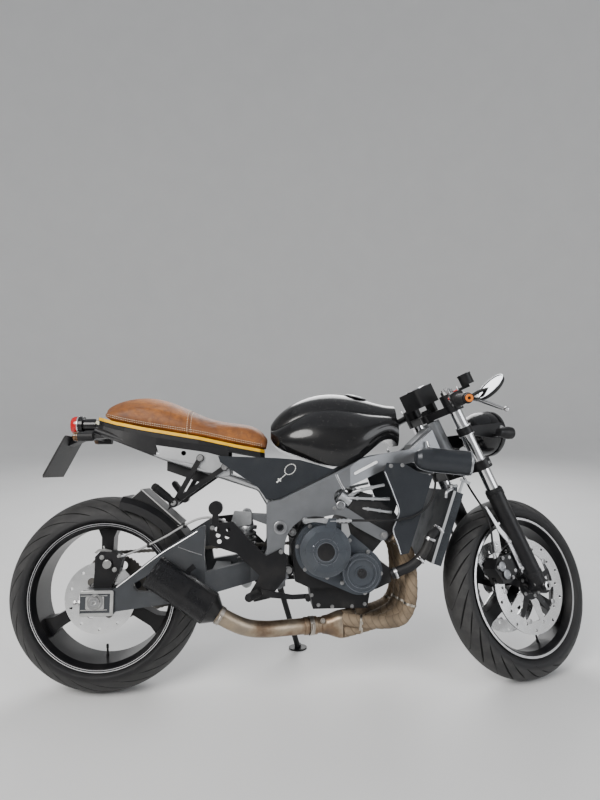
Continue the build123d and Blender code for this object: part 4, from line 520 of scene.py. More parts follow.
def softCover(nodeName, name, settings, material, body):
    # a copy of the CAD solid, remeshed, blown up a little by cloth pressure and subdivided
    made = bpy.data.objects.new(name, frame["nodes"][nodeName].data.copy())
    bpy.context.collection.objects.link(made)
    outwards(made, 1e-5)
    finishWith(made, "REMESH", "remesh", mode="VOXEL", voxel_size=settings["voxel"])
    finishWith(made, "SMOOTH", "smooth", factor=0.5, iterations=6)
    bake(made)
    count = len(made.data.vertices)
    start = np.empty(count * 3)
    made.data.vertices.foreach_get("co", start)
    normals = np.empty(count * 3)
    made.data.vertices.foreach_get("normal", normals)
    start = start.reshape(-1, 3) - normals.reshape(-1, 3) * settings["shrink"]
    made.data.vertices.foreach_set("co", start.ravel())
    cloth = finishWith(made, "CLOTH", "cloth")
    cloth.settings.use_pressure = True
    cloth.settings.uniform_pressure_force = settings["pressure"]
    cloth.settings.effector_weights.gravity = 0
    for step in range(1, settings["frames"] + 1):
        bpy.context.scene.frame_set(step)
    bake(made)
    bpy.context.scene.frame_set(1)
    blown = np.empty(count * 3)
    made.data.vertices.foreach_get("co", blown)
    blown = blown.reshape(-1, 3)
    shift = blown - start
    length = np.linalg.norm(shift, axis=1, keepdims=True)
    shift *= np.minimum(1, settings["cap"] / np.maximum(length, 1e-9))
    made.data.vertices.foreach_set("co", (start + shift).ravel())
    made.data.update()
    finishWith(made, "SUBSURF", "soften", levels=1, render_levels=1)
    made.data.materials.clear()
    made.data.materials.append(material)
    made.data.polygons.foreach_set("use_smooth", [True] * len(made.data.polygons))
    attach(made, body)
    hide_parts(nodeName)
    return made


seatCover = softCover("seat", "seat_cover", seatPad, finishes["tan_leather"], "root")
print("stage: seat")

# Pieces that turn with the fork but are measured upright, as if the wheels were straight
straight = forkPlace[:3, :3]
steeredX = cos(machine["rake"]) * straight[:, 0] - sin(machine["rake"]) * straight[:, 2]
steeredZ = sin(machine["rake"]) * straight[:, 0] + cos(machine["rake"]) * straight[:, 2]
steeredPlace = placeOf(steerFoot, steeredX, straight[:, 1], steeredZ, (footX, 0, footZ))
# how a piece is measured and the body that it rides on
sites = {
    "root": (rootPlace, "root"), "fork": (forkPlace, "steering"), "steered": (steeredPlace, "steering"),
    "front_wheel": (frontWheelPlace, "front_wheel"), "rear_wheel": (rearWheelPlace, "rear_wheel"),
    "front_axle": (frontWheelPlace, "steering"),
}


def aimed(centre, direction, roll=0.0):
    # a local frame in millimetres at the centre, its Z along the direction
    zAxis = unit(direction)
    guide = np.array([0, 0, 1.0]) if abs(zAxis[2]) < 0.9 else np.array([1.0, 0, 0])
    xAxis = unit(np.cross(guide, zAxis))
    yAxis = np.cross(zAxis, xAxis)
    turned = np.eye(4)
    turned[:3, 0] = cos(roll) * xAxis + sin(roll) * yAxis
    turned[:3, 1] = cos(roll) * yAxis - sin(roll) * xAxis
    turned[:3, 2] = zAxis
    turned[:3, 3] = centre
    return turned


class Heap:
    # many small surfaces gathered into one mesh, in millimetres
    def __init__(self):
        self.points, self.faces, self.count = [], [], 0

    def grid(self, grid, place=None, closeRows=False, closeColumns=False):
        points = grid.reshape(-1, 3)
        if place is not None:
            points = moved(points, place)
        self.faces += gridFaces(*grid.shape[:2], closeRows, closeColumns, self.count)
        self.points.append(points)
        self.count += len(points)
        return self

    def capped(self, grid, place=None):
        # a grid of closed rings, with a face over the first ring and over the last
        start, (rows, columns) = self.count, grid.shape[:2]
        self.grid(grid, place, closeColumns=True)
        last = start + (rows - 1) * columns
        self.faces += [list(range(start, start + columns)), list(range(last + columns - 1, last - 1, -1))]
        return self

    def lathe(self, profile, place=None, steps=24):
        # the profile (radius, height) carried round the local Z
        profile = np.asarray(profile, float)
        turn = np.linspace(0, 2 * pi, steps, endpoint=False)[:, None]
        grid = np.stack([profile[:, 0] * np.cos(turn), profile[:, 0] * np.sin(turn),
                         np.broadcast_to(profile[:, 1], (steps, len(profile)))], -1)
        return self.grid(grid, place, closeRows=True)

    def rod(self, radius, height, place, steps=24):
        return self.lathe([(0, 0), (radius, 0), (radius, height), (0, height)], place, steps)

    def ring(self, inner, outer, low, high, place, steps=24):
        return self.lathe([(inner, low), (outer, low), (outer, high), (inner, high), (inner, low)], place, steps)

    def slab(self, outline, thickness, place=None, bevel=0.0):
        # a flat outline given thickness along the local Z, its edges cut back by the bevel
        outline = np.asarray(outline, float)
        centre = outline.mean(0)
        inner = centre + (outline - centre) * (1 - bevel / max(np.linalg.norm(outline - centre, axis=1).mean(), 1e-6))
        rings = [(inner, 0.0), (outline, bevel), (outline, thickness - bevel), (inner, thickness)] if bevel else [
            (outline, 0.0), (outline, thickness)]
        return self.capped(np.stack([np.column_stack([ring, np.full(len(ring), height)]) for ring, height in rings]),
                place)

    def tube(self, path, radius, steps=10, closed=False, flat=(1.0, 1.0)):
        # a round section carried along the path, its radius may vary; the frame turns as little as it can
        path = np.asarray(path, float)
        radius = np.broadcast_to(np.asarray(radius, float), len(path))
        if closed:
            way = np.roll(path, -1, 0) - np.roll(path, 1, 0)
        else:
            way = np.gradient(path, axis=0)
        way /= np.linalg.norm(way, axis=1, keepdims=True)
        side = np.cross(way[0], (0, 0, 1.0) if abs(way[0][2]) < 0.9 else (1.0, 0, 0))
        sides = []
        for step in way:
            side = side - step * (side @ step)
            side = side / np.linalg.norm(side)
            sides.append(side)
        sides = np.array(sides)
        ups = np.cross(way, sides)
        turn = np.linspace(0, 2 * pi, steps, endpoint=False)
        ring = np.cos(turn)[None, :, None] * sides[:, None] * flat[0] + np.sin(turn)[None, :, None] * ups[:,
                None] * flat[1]
        grid = path[:, None] + ring * radius[:, None, None]
        return self.grid(grid, None, closeRows=True, closeColumns=True) if closed else self.capped(grid)

    def bolt(self, centre, direction, radius, height, sides=6, washer=True):
        # a head with a chamfered top, a socket in it, on a washer
        place = aimed(centre, direction)
        if washer:
            self.lathe([(0, 0), (radius * 1.35, 0), (radius * 1.35, height * 0.18), (radius * 0.8, height * 0.18)],
                    place, 20)
        r, h = radius, height
        if sides == 6:
            self.lathe([(0, 0), (r, 0), (r, h * 0.86), (r * 0.86, h), (0, h)], place, 6)
        else:
            self.lathe([(0, 0), (r, 0), (r, h * 0.85), (r * 0.85, h), (r * 0.58, h), (r * 0.55, h * 0.45),
                    (0, h * 0.4)], place, 18)
        return self

    def mirror(self):
        # the same again on the other side of the machine
        points = np.concatenate(self.points)
        self.faces += [[index + self.count for index in face[::-1]] for face in self.faces]
        self.points, self.count = [points, points * (1, -1, 1)], 2 * self.count
        return self

    def piece(self, name, site, slot, finish=None, sharp=35, out=True):
        # one object of the whole heap, in its slot's own finish unless another is given
        place, body = sites[site]
        points = moved(np.concatenate(self.points) * mm, place)
        made = pieceFrom(name, points, self.faces, finish or finishes[slot], body)
        if out:
            outwards(made)
        made.data.polygons.foreach_set("use_smooth", [True] * len(made.data.polygons))
        made.data.set_sharp_from_angle(angle=radians(sharp))
        return made


def curveThrough(points, count=60):
    # a smooth path through a few points: Catmull-Rom between each pair, by whole arrays
    points = np.asarray(points, float)
    padded = np.vstack([2 * points[0] - points[1], points, 2 * points[-1] - points[-2]])
    spans = len(points) - 1
    where = np.linspace(0, spans, count)
    span = np.minimum(where.astype(int), spans - 1)
    t = (where - span)[:, None]
    a, b, c, d = (padded[span + k] for k in range(4))
    return 0.5 * (2 * b + (c - a) * t + (2 * a - 5 * b + 4 * c - d) * t**2 + (3 * b - a - 3 * c + d) * t**3)


# Tyres: a smooth crown with long curved grooves cut into it, and ribbed walls

tyres = {
    "front": {"radius": 298.9, "half": 60.0, "drop": 48.0, "bead": 44.0, "pitches": 14, "rows": 71, "depth": 3.6,
        "place": frontWheelPlace, "sweep": 1.15},
    "rear": {"radius": 309.5, "half": 95.0, "drop": 66.0, "bead": 78.0, "pitches": 12, "rows": 83, "depth": 4.2,
        "place": rearWheelPlace, "sweep": 1.4},
}


def smoothRise(value, low, high):
    share = np.clip((value - low) / (high - low), 0, 1)
    return share * share * (3 - 2 * share)


def tyreGrid(tyre, around, across, wall):
    # the crown is an arc, cut by grooves that sweep back from near its middle to the shoulder
    crown = (tyre["half"] ** 2 + tyre["drop"] ** 2) / (2 * tyre["drop"])
    edge = np.arcsin(tyre["half"] / crown)
    t = np.linspace(-1, 1, across)
    turn = np.linspace(0, 2 * pi, around, endpoint=False)[:, None]
    s, side = np.abs(t), np.sign(t)
    # the grid's rows sweep back with the grooves, so that every groove runs along them
    swept = tyre["sweep"] * s**1.35 * 2 * pi / tyre["pitches"]
    out = tyre["radius"] - crown * (1 - np.cos(edge * t))
    wide = crown * np.sin(edge * t)
    pitch = 2 * pi * tyre["radius"] / tyre["pitches"]
    lane = turn * tyre["pitches"] / (2 * pi) + 0.5 * (side > 0)
    slant = pitch / np.sqrt(1 + (tyre["sweep"] * 1.35 * s**0.35 * pitch / (tyre["half"] * 1.15)) ** 2)
    offset = np.abs(lane % 1 - 0.5) * slant
    width = 2.9 * np.sqrt(np.clip(np.sin(pi * np.clip((s - 0.08) / 0.80, 0, 1)), 0, 1))
    cut = 1 - smoothRise(offset, width * 0.55, width + 0.01)
    offset2 = np.abs((lane + 0.5) % 1 - 0.5) * slant
    width2 = 2.2 * np.sqrt(np.clip(np.sin(pi * np.clip((s - 0.42) / 0.42, 0, 1)), 0, 1))
    cut = np.maximum(cut, 1 - smoothRise(offset2, width2 * 0.55, width2 + 0.01))
    depth = tyre["depth"] * cut
    normalWide, normalOut = np.sin(edge * t), np.cos(edge * t)
    crownWide = wide - depth * normalWide
    crownOut = out - depth * normalOut
    # the wall bulges a little and carries fine ribs
    w = np.linspace(0, 1, wall + 1)[1:]
    ribs = 0.45 * np.cos(w * 2 * pi * 5) * (w < 0.93)
    wallWide = tyre["half"] + (tyre["bead"] - tyre["half"]) * w**1.7 + 1.2 * np.sin(pi * w) + ribs
    wallOut = (tyre["radius"] - tyre["drop"]) + (231.0 - tyre["radius"] + tyre["drop"]) * w
    flat = np.ones_like(turn)
    foot = tyre["bead"] - 0.2
    columnsWide = np.hstack([-flat * foot, -flat * wallWide[::-1], crownWide, flat * wallWide, flat * foot])
    columnsOut = np.hstack([flat * 222.2, flat * wallOut[::-1], crownOut, flat * wallOut, flat * 222.2])
    # how deep each point lies in a groove and whether it is on the crown, for the rubber's colour: painted shade in the
    # grooves, a painted highlight on the crown
    rim = np.zeros((around, wall + 1))
    groove = np.hstack([rim, cut, rim])
    crownHighlight = np.hstack([rim, flat * (1 - smoothRise(s, 0.80, 0.97)), rim])
    shoulder = flat * tyre["sweep"] * 2 * pi / tyre["pitches"] * np.ones(wall + 1)
    angle = turn + np.hstack([shoulder, flat * swept, shoulder])
    return np.stack([columnsOut * np.sin(angle), columnsWide, columnsOut * np.cos(angle)], -1) * mm, groove, crownHighlight


for wheel, tyre in tyres.items():
    around = tyre["pitches"] * tyre["rows"]
    grid, groove, crownHighlight = tyreGrid(tyre, around, 71, 12)
    points, faces = moved(grid.reshape(-1, 3), tyre["place"]), gridFaces(*grid.shape[:2], True, True)
    made = pieceFrom(f"{wheel}_tyre_tread", points, faces, finishes["tyre"], f"{wheel}_wheel")
    # the grooves' painted shade and the crown's painted highlight, stored on the points
    for label, values in (("groove", groove), ("crown", crownHighlight)):
        made.data.attributes.new(label, "FLOAT", "POINT").data.foreach_set("value",
                np.ascontiguousarray(values, dtype=np.float32).ravel())
    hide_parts(f"{wheel}_tyre")
print("stage: tyres")

# Wheels: bright lines on the flanges, valves and the discs' and sprocket's bolts

silverLine = castMetal("flangeSilver", (0.72, 0.72, 0.73), 0.22, stain=0.1)
boltSteel = castMetal("boltSteel", (0.36, 0.36, 0.36), 0.34, stain=0.4)
blackBolt = castMetal("blackBolt", (0.05, 0.05, 0.052), 0.42, stain=0.3)
brass = castMetal("brassPart", (0.55, 0.38, 0.12), 0.3, stain=0.4)

wheelRings = [
    # wheel, half width at the flange, side, inner radius, outer radius
    ("front", 50.0, 1, 221.5, 228.6), ("front", 50.0, -1, 221.5, 228.6),
    ("rear", 84.0, 1, 226.6, 228.8), ("rear", 84.0, -1, 226.6, 228.8),
    ("rear", 84.0, 1, 221.4, 222.9), ("rear", 84.0, -1, 221.4, 222.9),
]
for wheel in ("front", "rear"):
    rings = Heap()
    for name, face, side, inner, outer in wheelRings:
        if name == wheel:
            rings.lathe([(inner, 0), (inner, 0.5), (outer, 0.5), (outer, 0), (inner, 0)],
                    aimed((0, side * face, 0), (0, side, 0)), 160)
    rings.piece(f"{wheel}_rim_lines", f"{wheel}_wheel", "polished_steel", silverLine)
    valve = Heap()
    valve.lathe([(0, 0), (4.6, 0), (4.6, 6), (3.6, 8), (3.2, 26), (4.2, 27), (4.2, 38), (3.4, 40), (0, 40)],
                aimed((0, 18, -208), (0, -0.25, 1)), 18)
    valve.piece(f"{wheel}_valve", f"{wheel}_wheel", "black_rubber")

discBolts = Heap()
for side in (-1, 1):
    for step in range(5):
        turn = 2 * pi * (step + 0.5) / 5
        discBolts.bolt((36 * sin(turn), side * 64, 36 * cos(turn)), (0, side, 0), 6, 5, 12)
    for step in range(5):
        turn = 2 * pi * step / 5 + pi / 2
        discBolts.lathe([(0, 0), (8.5, 0), (8.5, 1.6), (5.5, 2.2), (5.5, 1.0), (0, 1.0)],
                        aimed((114 * cos(turn), side * 64, 114 * sin(turn)), (0, side, 0)), 22)
discBolts.piece("front_disc_bolts", "front_wheel", "polished_steel", boltSteel)

carriers = Heap()
for side in (-1, 1):
    for step in range(5):
        # the carrier's arms lie on the disc's face as a darker layer
        turn = 2 * pi * step / 5
        outline = [(28, 13), (108, 8), (111, 4), (111, -4), (108, -8), (28, -13)]
        spun = [(x * cos(turn) - y * sin(turn), x * sin(turn) + y * cos(turn)) for x, y in outline]
        carriers.slab(spun, 1.2, sidePlane(64.05, side), 0.4)
    carriers.lathe([(26.5, 0), (26.5, 1.4), (45, 1.4), (45.5, 0), (26.5, 0)],
            aimed((0, side * 64.05, 0), (0, side, 0)), 60)
carriers.piece("front_disc_carriers", "front_wheel", "satin_black")

rearBolts = Heap()
for step in range(6):
    turn = 2 * pi * (step + 0.5) / 6
    rearBolts.bolt((44 * sin(turn), -96, 44 * cos(turn)), toRight, 5.5, 5, 12)
for step in range(5):
    turn = 2 * pi * (step + 0.5) / 5
    rearBolts.bolt((36 * sin(turn), 111, 36 * cos(turn)), toLeft, 6.5, 7, 6)
rearBolts.piece("rear_hub_bolts", "rear_wheel", "polished_steel", boltSteel)
print("stage: wheels")

# The chain: rollers, inner and outer plates and pins, one by one round its loop

chain = {"pitch": 15.875, "rearTeeth": 44, "frontTeeth": 15, "lane": 108.0, "sprocket": (645.0, 408.0),
        "axle": (0.0, 311.0)}


def chainPoints(chain, count):
    # evenly spaced points: an arc round each sprocket and a straight run between them
    rearR = chain["pitch"] / 2 / sin(pi / chain["rearTeeth"])
    frontR = chain["pitch"] / 2 / sin(pi / chain["frontTeeth"])
    rear, front = np.array(chain["axle"]), np.array(chain["sprocket"])
    line = front - rear
    gap = np.hypot(*line)
    lean, wrap = atan2(line[1], line[0]), np.arcsin((rearR - frontR) / gap)
    run = sqrt(gap**2 - (rearR - frontR) ** 2)
    rearArc, frontArc = rearR * (pi + 2 * wrap), frontR * (pi - 2 * wrap)
    where = np.linspace(0, rearArc + frontArc + 2 * run, count, endpoint=False)
    up, down = pi / 2 + lean - wrap, -pi / 2 + lean + wrap
    onRear = lambda a: rear + rearR * np.stack([np.cos(a), np.sin(a)], -1)
    onFront = lambda a: front + frontR * np.stack([np.cos(a), np.sin(a)], -1)
    a = up + where / rearR
    first = onRear(a)
    share = ((where - rearArc) / run)[:, None]
    second = onRear(np.array(down)) * (1 - share) + onFront(np.array(down)) * share
    third = onFront(down + (where - rearArc - run) / frontR)
    share = ((where - rearArc - run - frontArc) / run)[:, None]
    fourth = onFront(np.array(up)) * (1 - share) + onRear(np.array(up)) * share
    picks = [where < rearArc, where < rearArc + run, where < rearArc + run + frontArc]
    return np.where(picks[0][:, None], first, np.where(picks[1][:, None], second,
            np.where(picks[2][:, None], third, fourth)))


links = 112
pins = chainPoints(chain, links)
chainHeap = Heap()
ends = np.linspace(0.5 * pi, 1.5 * pi, 7)
plateOutline = np.concatenate([
    np.stack([6.0 * np.cos(ends), 6.0 * np.sin(ends)], -1), [(chain["pitch"] / 2, -4.3)],
    np.stack([chain["pitch"] - 6.0 * np.cos(ends), -6.0 * np.sin(ends)], -1), [(chain["pitch"] / 2, 4.3)]])
for index in range(links):
    start, end = pins[index], pins[(index + 1) % links]
    way = (end - start) / np.hypot(*(end - start))
    outer = index % 2
    for side in (-1, 1):
        inside = 5.9 if outer else 4.2
        spot = (start[0], chain["lane"] + (side * inside if side < 0 else side * inside + 1.5), start[1])
        chainHeap.slab(plateOutline, 1.5, placeOf(spot, (way[0], 0, way[1]), (-way[1], 0, way[0]), toRight))
    across = aimed((start[0], chain["lane"] - 7.5, start[1]), toLeft)
    chainHeap.rod(2.4, 15, across, 8)
    chainHeap.lathe([(2.4, 3.3), (5.0, 3.3), (5.0, 11.7), (2.4, 11.7)], across, 10)
chainPiece = chainHeap.piece("chain_links", "root", "chain_steel", out=False)
outwards(chainPiece)
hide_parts("drive_chain")
print("stage: chain of", links, "links")

# Cords: each hose and cable is one smooth spline through its route

hoses = {
    # route in millimetres, the place it is measured in, the body, length and diameter in metres
    "rear_hose": {"place": rootPlace, "body": "root", "node": "rear_brake_hose", "diameter": 0.007, "length": 0.425,
                  "finish": "braid", "slot": "black_rubber",
                  "route": [(60, -112, 438), (104, -112, 452), (150, -118, 474), (205, -130, 500), (262, -136, 536),
                            (318, -138, 560), (372, -142, 556), (412, -144, 532), (440, -146, 503)]},
    "clutch_line": {"place": rootPlace, "body": "root", "node": "clutch_cable", "diameter": 0.007, "length": 0.543,
                    "finish": "black_rubber", "slot": "black_rubber",
                    "route": [(736, -206, 548), (790, -200, 549), (860, -193, 546), (935, -188, 546), (1000, -183, 560),
                              (1046, -178, 602), (1066, -160, 654), (1074, -130, 704), (1070, -104, 752),
                              (1062, -96, 796)]},
}
frontRoute = [(-80, -88, 152), (-70, -92, 190), (-46, -96, 240), (-30, -88, 300), (-18, -62, 352), (-4, -40, 386),
        (-4, -38, 424.7)]
for side, name in ((1, "front_hose_right"), (-1, "front_hose_left")):
    hoses[name] = {"place": forkPlace, "body": "steering", "node": "front_brake_hoses", "diameter": 0.007,
            "length": 0.297,
                   "finish": "black_rubber", "slot": "black_rubber",
                   "route": [(x, side * y, z) for x, y, z in frontRoute]}


def braidFinish(name, colour):
    # a braided sleeve: fine crossing threads over a pale hose
    made = Finish(name)
    x, y, z = made.axes()
    weave = ((x + z) * 3600).wave() * ((x - z + y) * 3600).wave()
    dark = made.noise(30, 4, 0.6).rise(0.46, 0.72)
    base = made.tint(weave * 0.5 + 0.5, shade(colour, 0.55), colour)
    base = made.tint(dark * 0.4, base, shade(colour, 0.4))
    made.feed(Base_Color=base, Metallic=0.6, Roughness=0.42 + dark * 0.2, Normal=made.relief(weave, 0.5, 0.0003))
    return made.material


finishes["braid"] = braidFinish("braidedHose", (0.50, 0.50, 0.50))


def hosePiece(name, hose):
    # a curve whose control points are the route's points
    route = moved(np.array(hose["route"], float) * mm, hose["place"])
    curve = bpy.data.curves.new(name, "CURVE")
    curve.dimensions = "3D"
    curve.bevel_depth, curve.bevel_resolution, curve.resolution_u = hose["diameter"] / 2, 5, 14
    curve.use_fill_caps = True
    spline = curve.splines.new("NURBS")
    spline.points.add(len(route) - 1)
    spline.points.foreach_set("co", np.hstack([route, np.ones((len(route), 1))]).ravel())
    spline.order_u = 3
    spline.use_endpoint_u = True
    made = bpy.data.objects.new(name, curve)
    bpy.context.collection.objects.link(made)
    curve.materials.append(finishes[hose["finish"]])
    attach(made, hose["body"])
    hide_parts(hose["node"])
    return made


for name, hose in hoses.items():
    hosePiece(name, hose)
print("stage: hoses")

# metal ends of the hoses and the cable's ferrules, with rings that hold them
fittings = Heap()
for route in (hoses["rear_hose"]["route"], hoses["clutch_line"]["route"]):
    for end, near in ((route[0], route[1]), (route[-1], route[-2])):
        way = np.array(near, float) - end
        fittings.lathe([(0, -2), (4.4, -2), (4.6, 0), (4.6, 14), (5.2, 15), (5.2, 19), (4.0, 21), (3.6, 21), (3.6, -1),
                (0, -1)],
                       aimed(np.array(end, float), way), 18)
fittings.piece("hose_ends", "root", "silver_bracket")
frontEnds = Heap()
for point, near in ((frontRoute[0], frontRoute[1]), (frontRoute[-1], frontRoute[-2])):
    frontEnds.lathe([(0, 0), (4.6, 0), (4.6, 12), (5.4, 13), (5.4, 17), (3.6, 19), (3.6, 1), (0, 1)],
                    aimed(np.array(point, float), np.array(near, float) - point), 18)
frontEnds.mirror().piece("front_hose_ends", "fork", "polished_steel")

# Sewing: thread lies on the leather where rays from outside meet it

sewing = {"pitch": 7.5, "thread": 0.75, "edge": [(-34, 893), (30, 874), (120, 855), (300, 825), (420, 799),
        (516, 780)], "rows": (3.0, 9.0)}


def surfaceOf(piece):
    return BVHTree.FromObject(piece, bpy.context.evaluated_depsgraph_get())


def metAlong(tree, starts, ways, place):
    # where rays, in machine millimetres, first meet the surface: points and normals in the same measure
    back = np.linalg.inv(place)
    found, facing = [], []
    for start, way in zip(starts, ways):
        begin = moved(np.asarray(start, float) * mm, place)
        heading = place[:3, :3] @ np.asarray(way, float)
        spot, normal, _, _ = tree.ray_cast(Vector(begin), Vector(heading))
        if spot is not None:
            found.append(moved(np.array(spot), back) / mm)
            facing.append(back[:3, :3] @ np.array(normal))
    return np.array(found), np.array(facing)


def evenly(points, pitch):
    # the same path with points an even distance apart
    length = np.concatenate([[0], np.cumsum(np.linalg.norm(np.diff(points, axis=0), axis=1))])
    where = np.arange(0, length[-1], pitch)
    return np.stack([np.interp(where, length, points[:, axis]) for axis in range(points.shape[1])], 1)


def sewn(heap, spots, normals, radius, share=0.62, lift=0.35):
    # each stitch is a short arched thread that dives into the leather at both ends
    for a, b, normal in zip(spots[:-1], spots[1:], normals[:-1]):
        end = a + (b - a) * share
        steps = np.linspace(0, 1, 5)[:, None]
        path = a + (end - a) * steps + normal * (lift * (1 - (2 * steps - 1) ** 2) + 0.1 -
                0.5 * (np.abs(2 * steps - 1) > 0.9))
        heap.tube(path, radius * np.array([0.6, 1, 1, 1, 0.6]), 6)


seatSkin = surfaceOf(seatCover)
thread, welts = Heap(), Heap()
edgeCurve = evenly(curveThrough(sewing["edge"], 200), sewing["pitch"])
for side in (-1, 1):
    for row in sewing["rows"]:
        starts = [(x, side * 400, z + row) for x, z in edgeCurve]
        spots, normals = metAlong(seatSkin, starts, [(0, -side, 0)] * len(starts), rootPlace)
        sewn(thread, spots, normals, sewing["thread"])
    starts = [(x, side * 400, z + 6) for x, z in evenly(curveThrough(sewing["edge"], 200), 6)]
    spots, normals = metAlong(seatSkin, starts, [(0, -side, 0)] * len(starts), rootPlace)
    welts.tube(spots - normals * 0.55, 1.0, 8)
# the seam over the seat between the hump and the saddle, stitched on both sides
for along in (262, 268, 274):
    turn = np.radians(np.arange(-16, 196.1, 1.6 if along != 268 else 2.5))
    starts = np.stack([np.full_like(turn, along), 420 * np.cos(turn), 800 + 420 * np.sin(turn)], 1)
    ways = np.stack([np.zeros_like(turn), -np.cos(turn), -np.sin(turn)], 1)
    spots, normals = metAlong(seatSkin, starts, ways, rootPlace)
    if along == 268:
        welts.tube(spots - normals * 0.3, 1.5, 8)
    else:
        even = evenly(np.hstack([spots, normals]), sewing["pitch"])
        sewn(thread, even[:, :3], even[:, 3:], sewing["thread"])
thread.piece("seat_thread", "root", "tan_leather", moulded("paleThread", (0.62, 0.52, 0.38), 0.7, grain=2200,
        depth=0.4, dust=0.2))
welts.piece("seat_welts", "root", "tan_leather", moulded("darkWelt", (0.09, 0.035, 0.014), 0.6, grain=1500, depth=0.3))
print("stage: sewing")

# The painted beads and cross on the right side panel

charm = {"panel": -128.0, "loop": (597.4, 707.5), "radii": (19.5, 14.5), "lean": 40, "bead": 1.75, "count": 17,
         "join": (583.7, 692.6), "cross": (562.5, 673.5)}


def charmOval(charm, count):
    # points round the loop of beads, forward and up
    lean, turn = radians(charm["lean"]), np.linspace(0, 2 * pi, count, endpoint=False)
    across, along = charm["radii"][0] * np.cos(turn), charm["radii"][1] * np.sin(turn)
    return np.stack([charm["loop"][0] + across * cos(lean) - along * sin(lean),
                     charm["loop"][1] + across * sin(lean) + along * cos(lean)], 1)


def charmPiece(charm):
    heap = Heap()
    join, cross = np.array(charm["join"]), np.array(charm["cross"])
    way = (cross - join) / np.linalg.norm(cross - join)
    drop = [join + (cross - join) * share for share in (0.0, 0.22, 0.44)]
    bead = charm["bead"]
    for x, z in [*charmOval(charm, charm["count"]), *drop]:
        heap.lathe([(0, 0.02), (bead, 0.02), (bead, 0.35), (bead * 0.75, 0.75), (0, 0.95)],
                aimed((x, charm["panel"], z), toRight), 14)
    string = charm["panel"] - 0.3
    heap.tube([(x, string, z) for x, z in charmOval(charm, 60)], 0.5, 6, closed=True)
    heap.tube([(join[0], string, join[1]), (cross[0] - way[0] * 9, string, cross[1] - way[1] * 9)], 0.5, 6)
    # the cross: flared arms, longest along the drop
    spot = (cross[0], charm["panel"] - 0.02, cross[1])
    place = placeOf(spot, (way[0], 0, way[1]), (-way[1], 0, way[0]), toRight)
    heap.slab([(-8, -2.2), (-1.5, -1.3), (-2.2, -6.5), (2.2, -6.5), (1.5, -1.3), (12, -2.4), (12, 2.4), (1.5, 1.3),
               (2.2, 6.5), (-2.2, 6.5), (-1.5, 1.3), (-8, 2.2)], 0.8, place, 0.0)
    return heap.piece("bead_and_cross", "root", "gunmetal", moulded("paleTransfer", (0.66, 0.66, 0.64), 0.4, grain=700,
            depth=0.1, dust=0.1))


charmPiece(charm)
print("stage: beads and cross")

# Headlamp: bowl, reflector, bulb, fluted lens and rim

headlight = {"centre": (1330, 0, 842), "pivot": (1346, 842), "lens": 78, "dome": 18}
lampAim = aimed(headlight["centre"], toFront)
bowl = Heap()
bowl.lathe([(0, -68), (18, -67), (40, -61), (60, -47), (72, -29), (79, -8), (81, 8), (81.3, 30), (79.3, 44), (77, 44),
        (76, 30),
            (72, 0), (60, -34), (36, -54), (0, -61)], lampAim, 96)
bowl.lathe([(79.0, 31), (84, 31), (85, 34), (85, 45), (83.5, 47.8), (79.5, 48), (78.5, 44), (79.0, 31)], lampAim, 96)
for side in (-1, 1):
    bowl.rod(7, 8.1, aimed((headlight["pivot"][0], side * 80, headlight["pivot"][1]), (0, side, 0)), 24)
bowlPiece = bowl.piece("headlamp_bowl", "steered", "lamp_black")
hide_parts("headlamp")
mirrorBowl = Heap()
dish = [(r, -34 + 62 * (r / 76) ** 2) for r in np.linspace(9, 75.5, 16)]
mirrorBowl.lathe(dish + [(r, x - 1.2) for r, x in dish[::-1]] + [dish[0]], lampAim, 96)
mirrorBowl.lathe([(0, -34), (8.6, -34), (8.6, -20), (6, -18), (6, 2), (3, 6), (0, 7)], lampAim, 24)
mirrorBowl.piece("headlamp_reflector", "steered", "lamp_black", chromed("reflector", (0.86, 0.86, 0.85), 0.05, 0.0))


def lensFinish(name):
    # clear glass with upright flutes
    made = Finish(name)
    x, y, z = made.axes()
    flutes = (y * 520).wave()
    made.feed(Base_Color=made.tint(made.noise(20, 3), (0.93, 0.95, 0.96), (0.86, 0.89, 0.91)),
            Roughness=0.04 + made.noise(60, 3) * 0.05)
    made.feed(Transmission_Weight=0.94, IOR=1.47, Normal=made.relief(flutes, 0.35, 0.001))
    return made.material


glass = Heap()
domeRadius = (headlight["lens"] ** 2 + headlight["dome"] ** 2) / (2 * headlight["dome"])
angles = np.linspace(0, np.arcsin(77.8 / domeRadius), 14)
outer = [(domeRadius * sin(a), 66 - domeRadius * (1 - cos(a))) for a in angles]
inner = [(r * 0.985, x - 3.2) for r, x in outer[::-1]]
glass.lathe(outer + inner, lampAim, 96)
glass.piece("headlamp_lens", "steered", "lamp_black", lensFinish("flutedGlass"))

indicators = Heap()
lenses = Heap()
for side in (-1, 1):
    aim = aimed((1300, side * 142, 810), toFront)
    indicators.lathe([(0, -26), (9, -26), (13, -24.5), (15, -18), (21.4, 12), (21.9, 16), (21.9, 24), (21, 25),
            (18.6, 25),
                      (18.6, 20), (0, 20)], aim, 40)
    lenses.lathe([(0, 21), (18.4, 21), (18.4, 26), (15, 30), (8, 32.6), (0, 33.4)], aim, 40)
indicators.piece("front_indicator_shells", "steered", "black_plastic")
lenses.piece("front_indicator_lenses", "steered", "black_plastic", moulded("smokedLens", (0.05, 0.03, 0.02), 0.10,
        grain=240, depth=0.3, dust=0.05))
bracketBolts = Heap()
for side in (-1, 1):
    bracketBolts.bolt((headlight["pivot"][0], side * 93.5, headlight["pivot"][1]), (0, side, 0), 6.5, 5, 12)
    bracketBolts.bolt((1315, side * 93.5, 812), (0, side, 0), 4, 3.5, 12)
bracketBolts.piece("lamp_bolts", "steered", "polished_steel", boltSteel)
print("stage: headlamp")

# Handlebars: ribbed grips, switch blocks, shaped levers, cup lids and mirrors

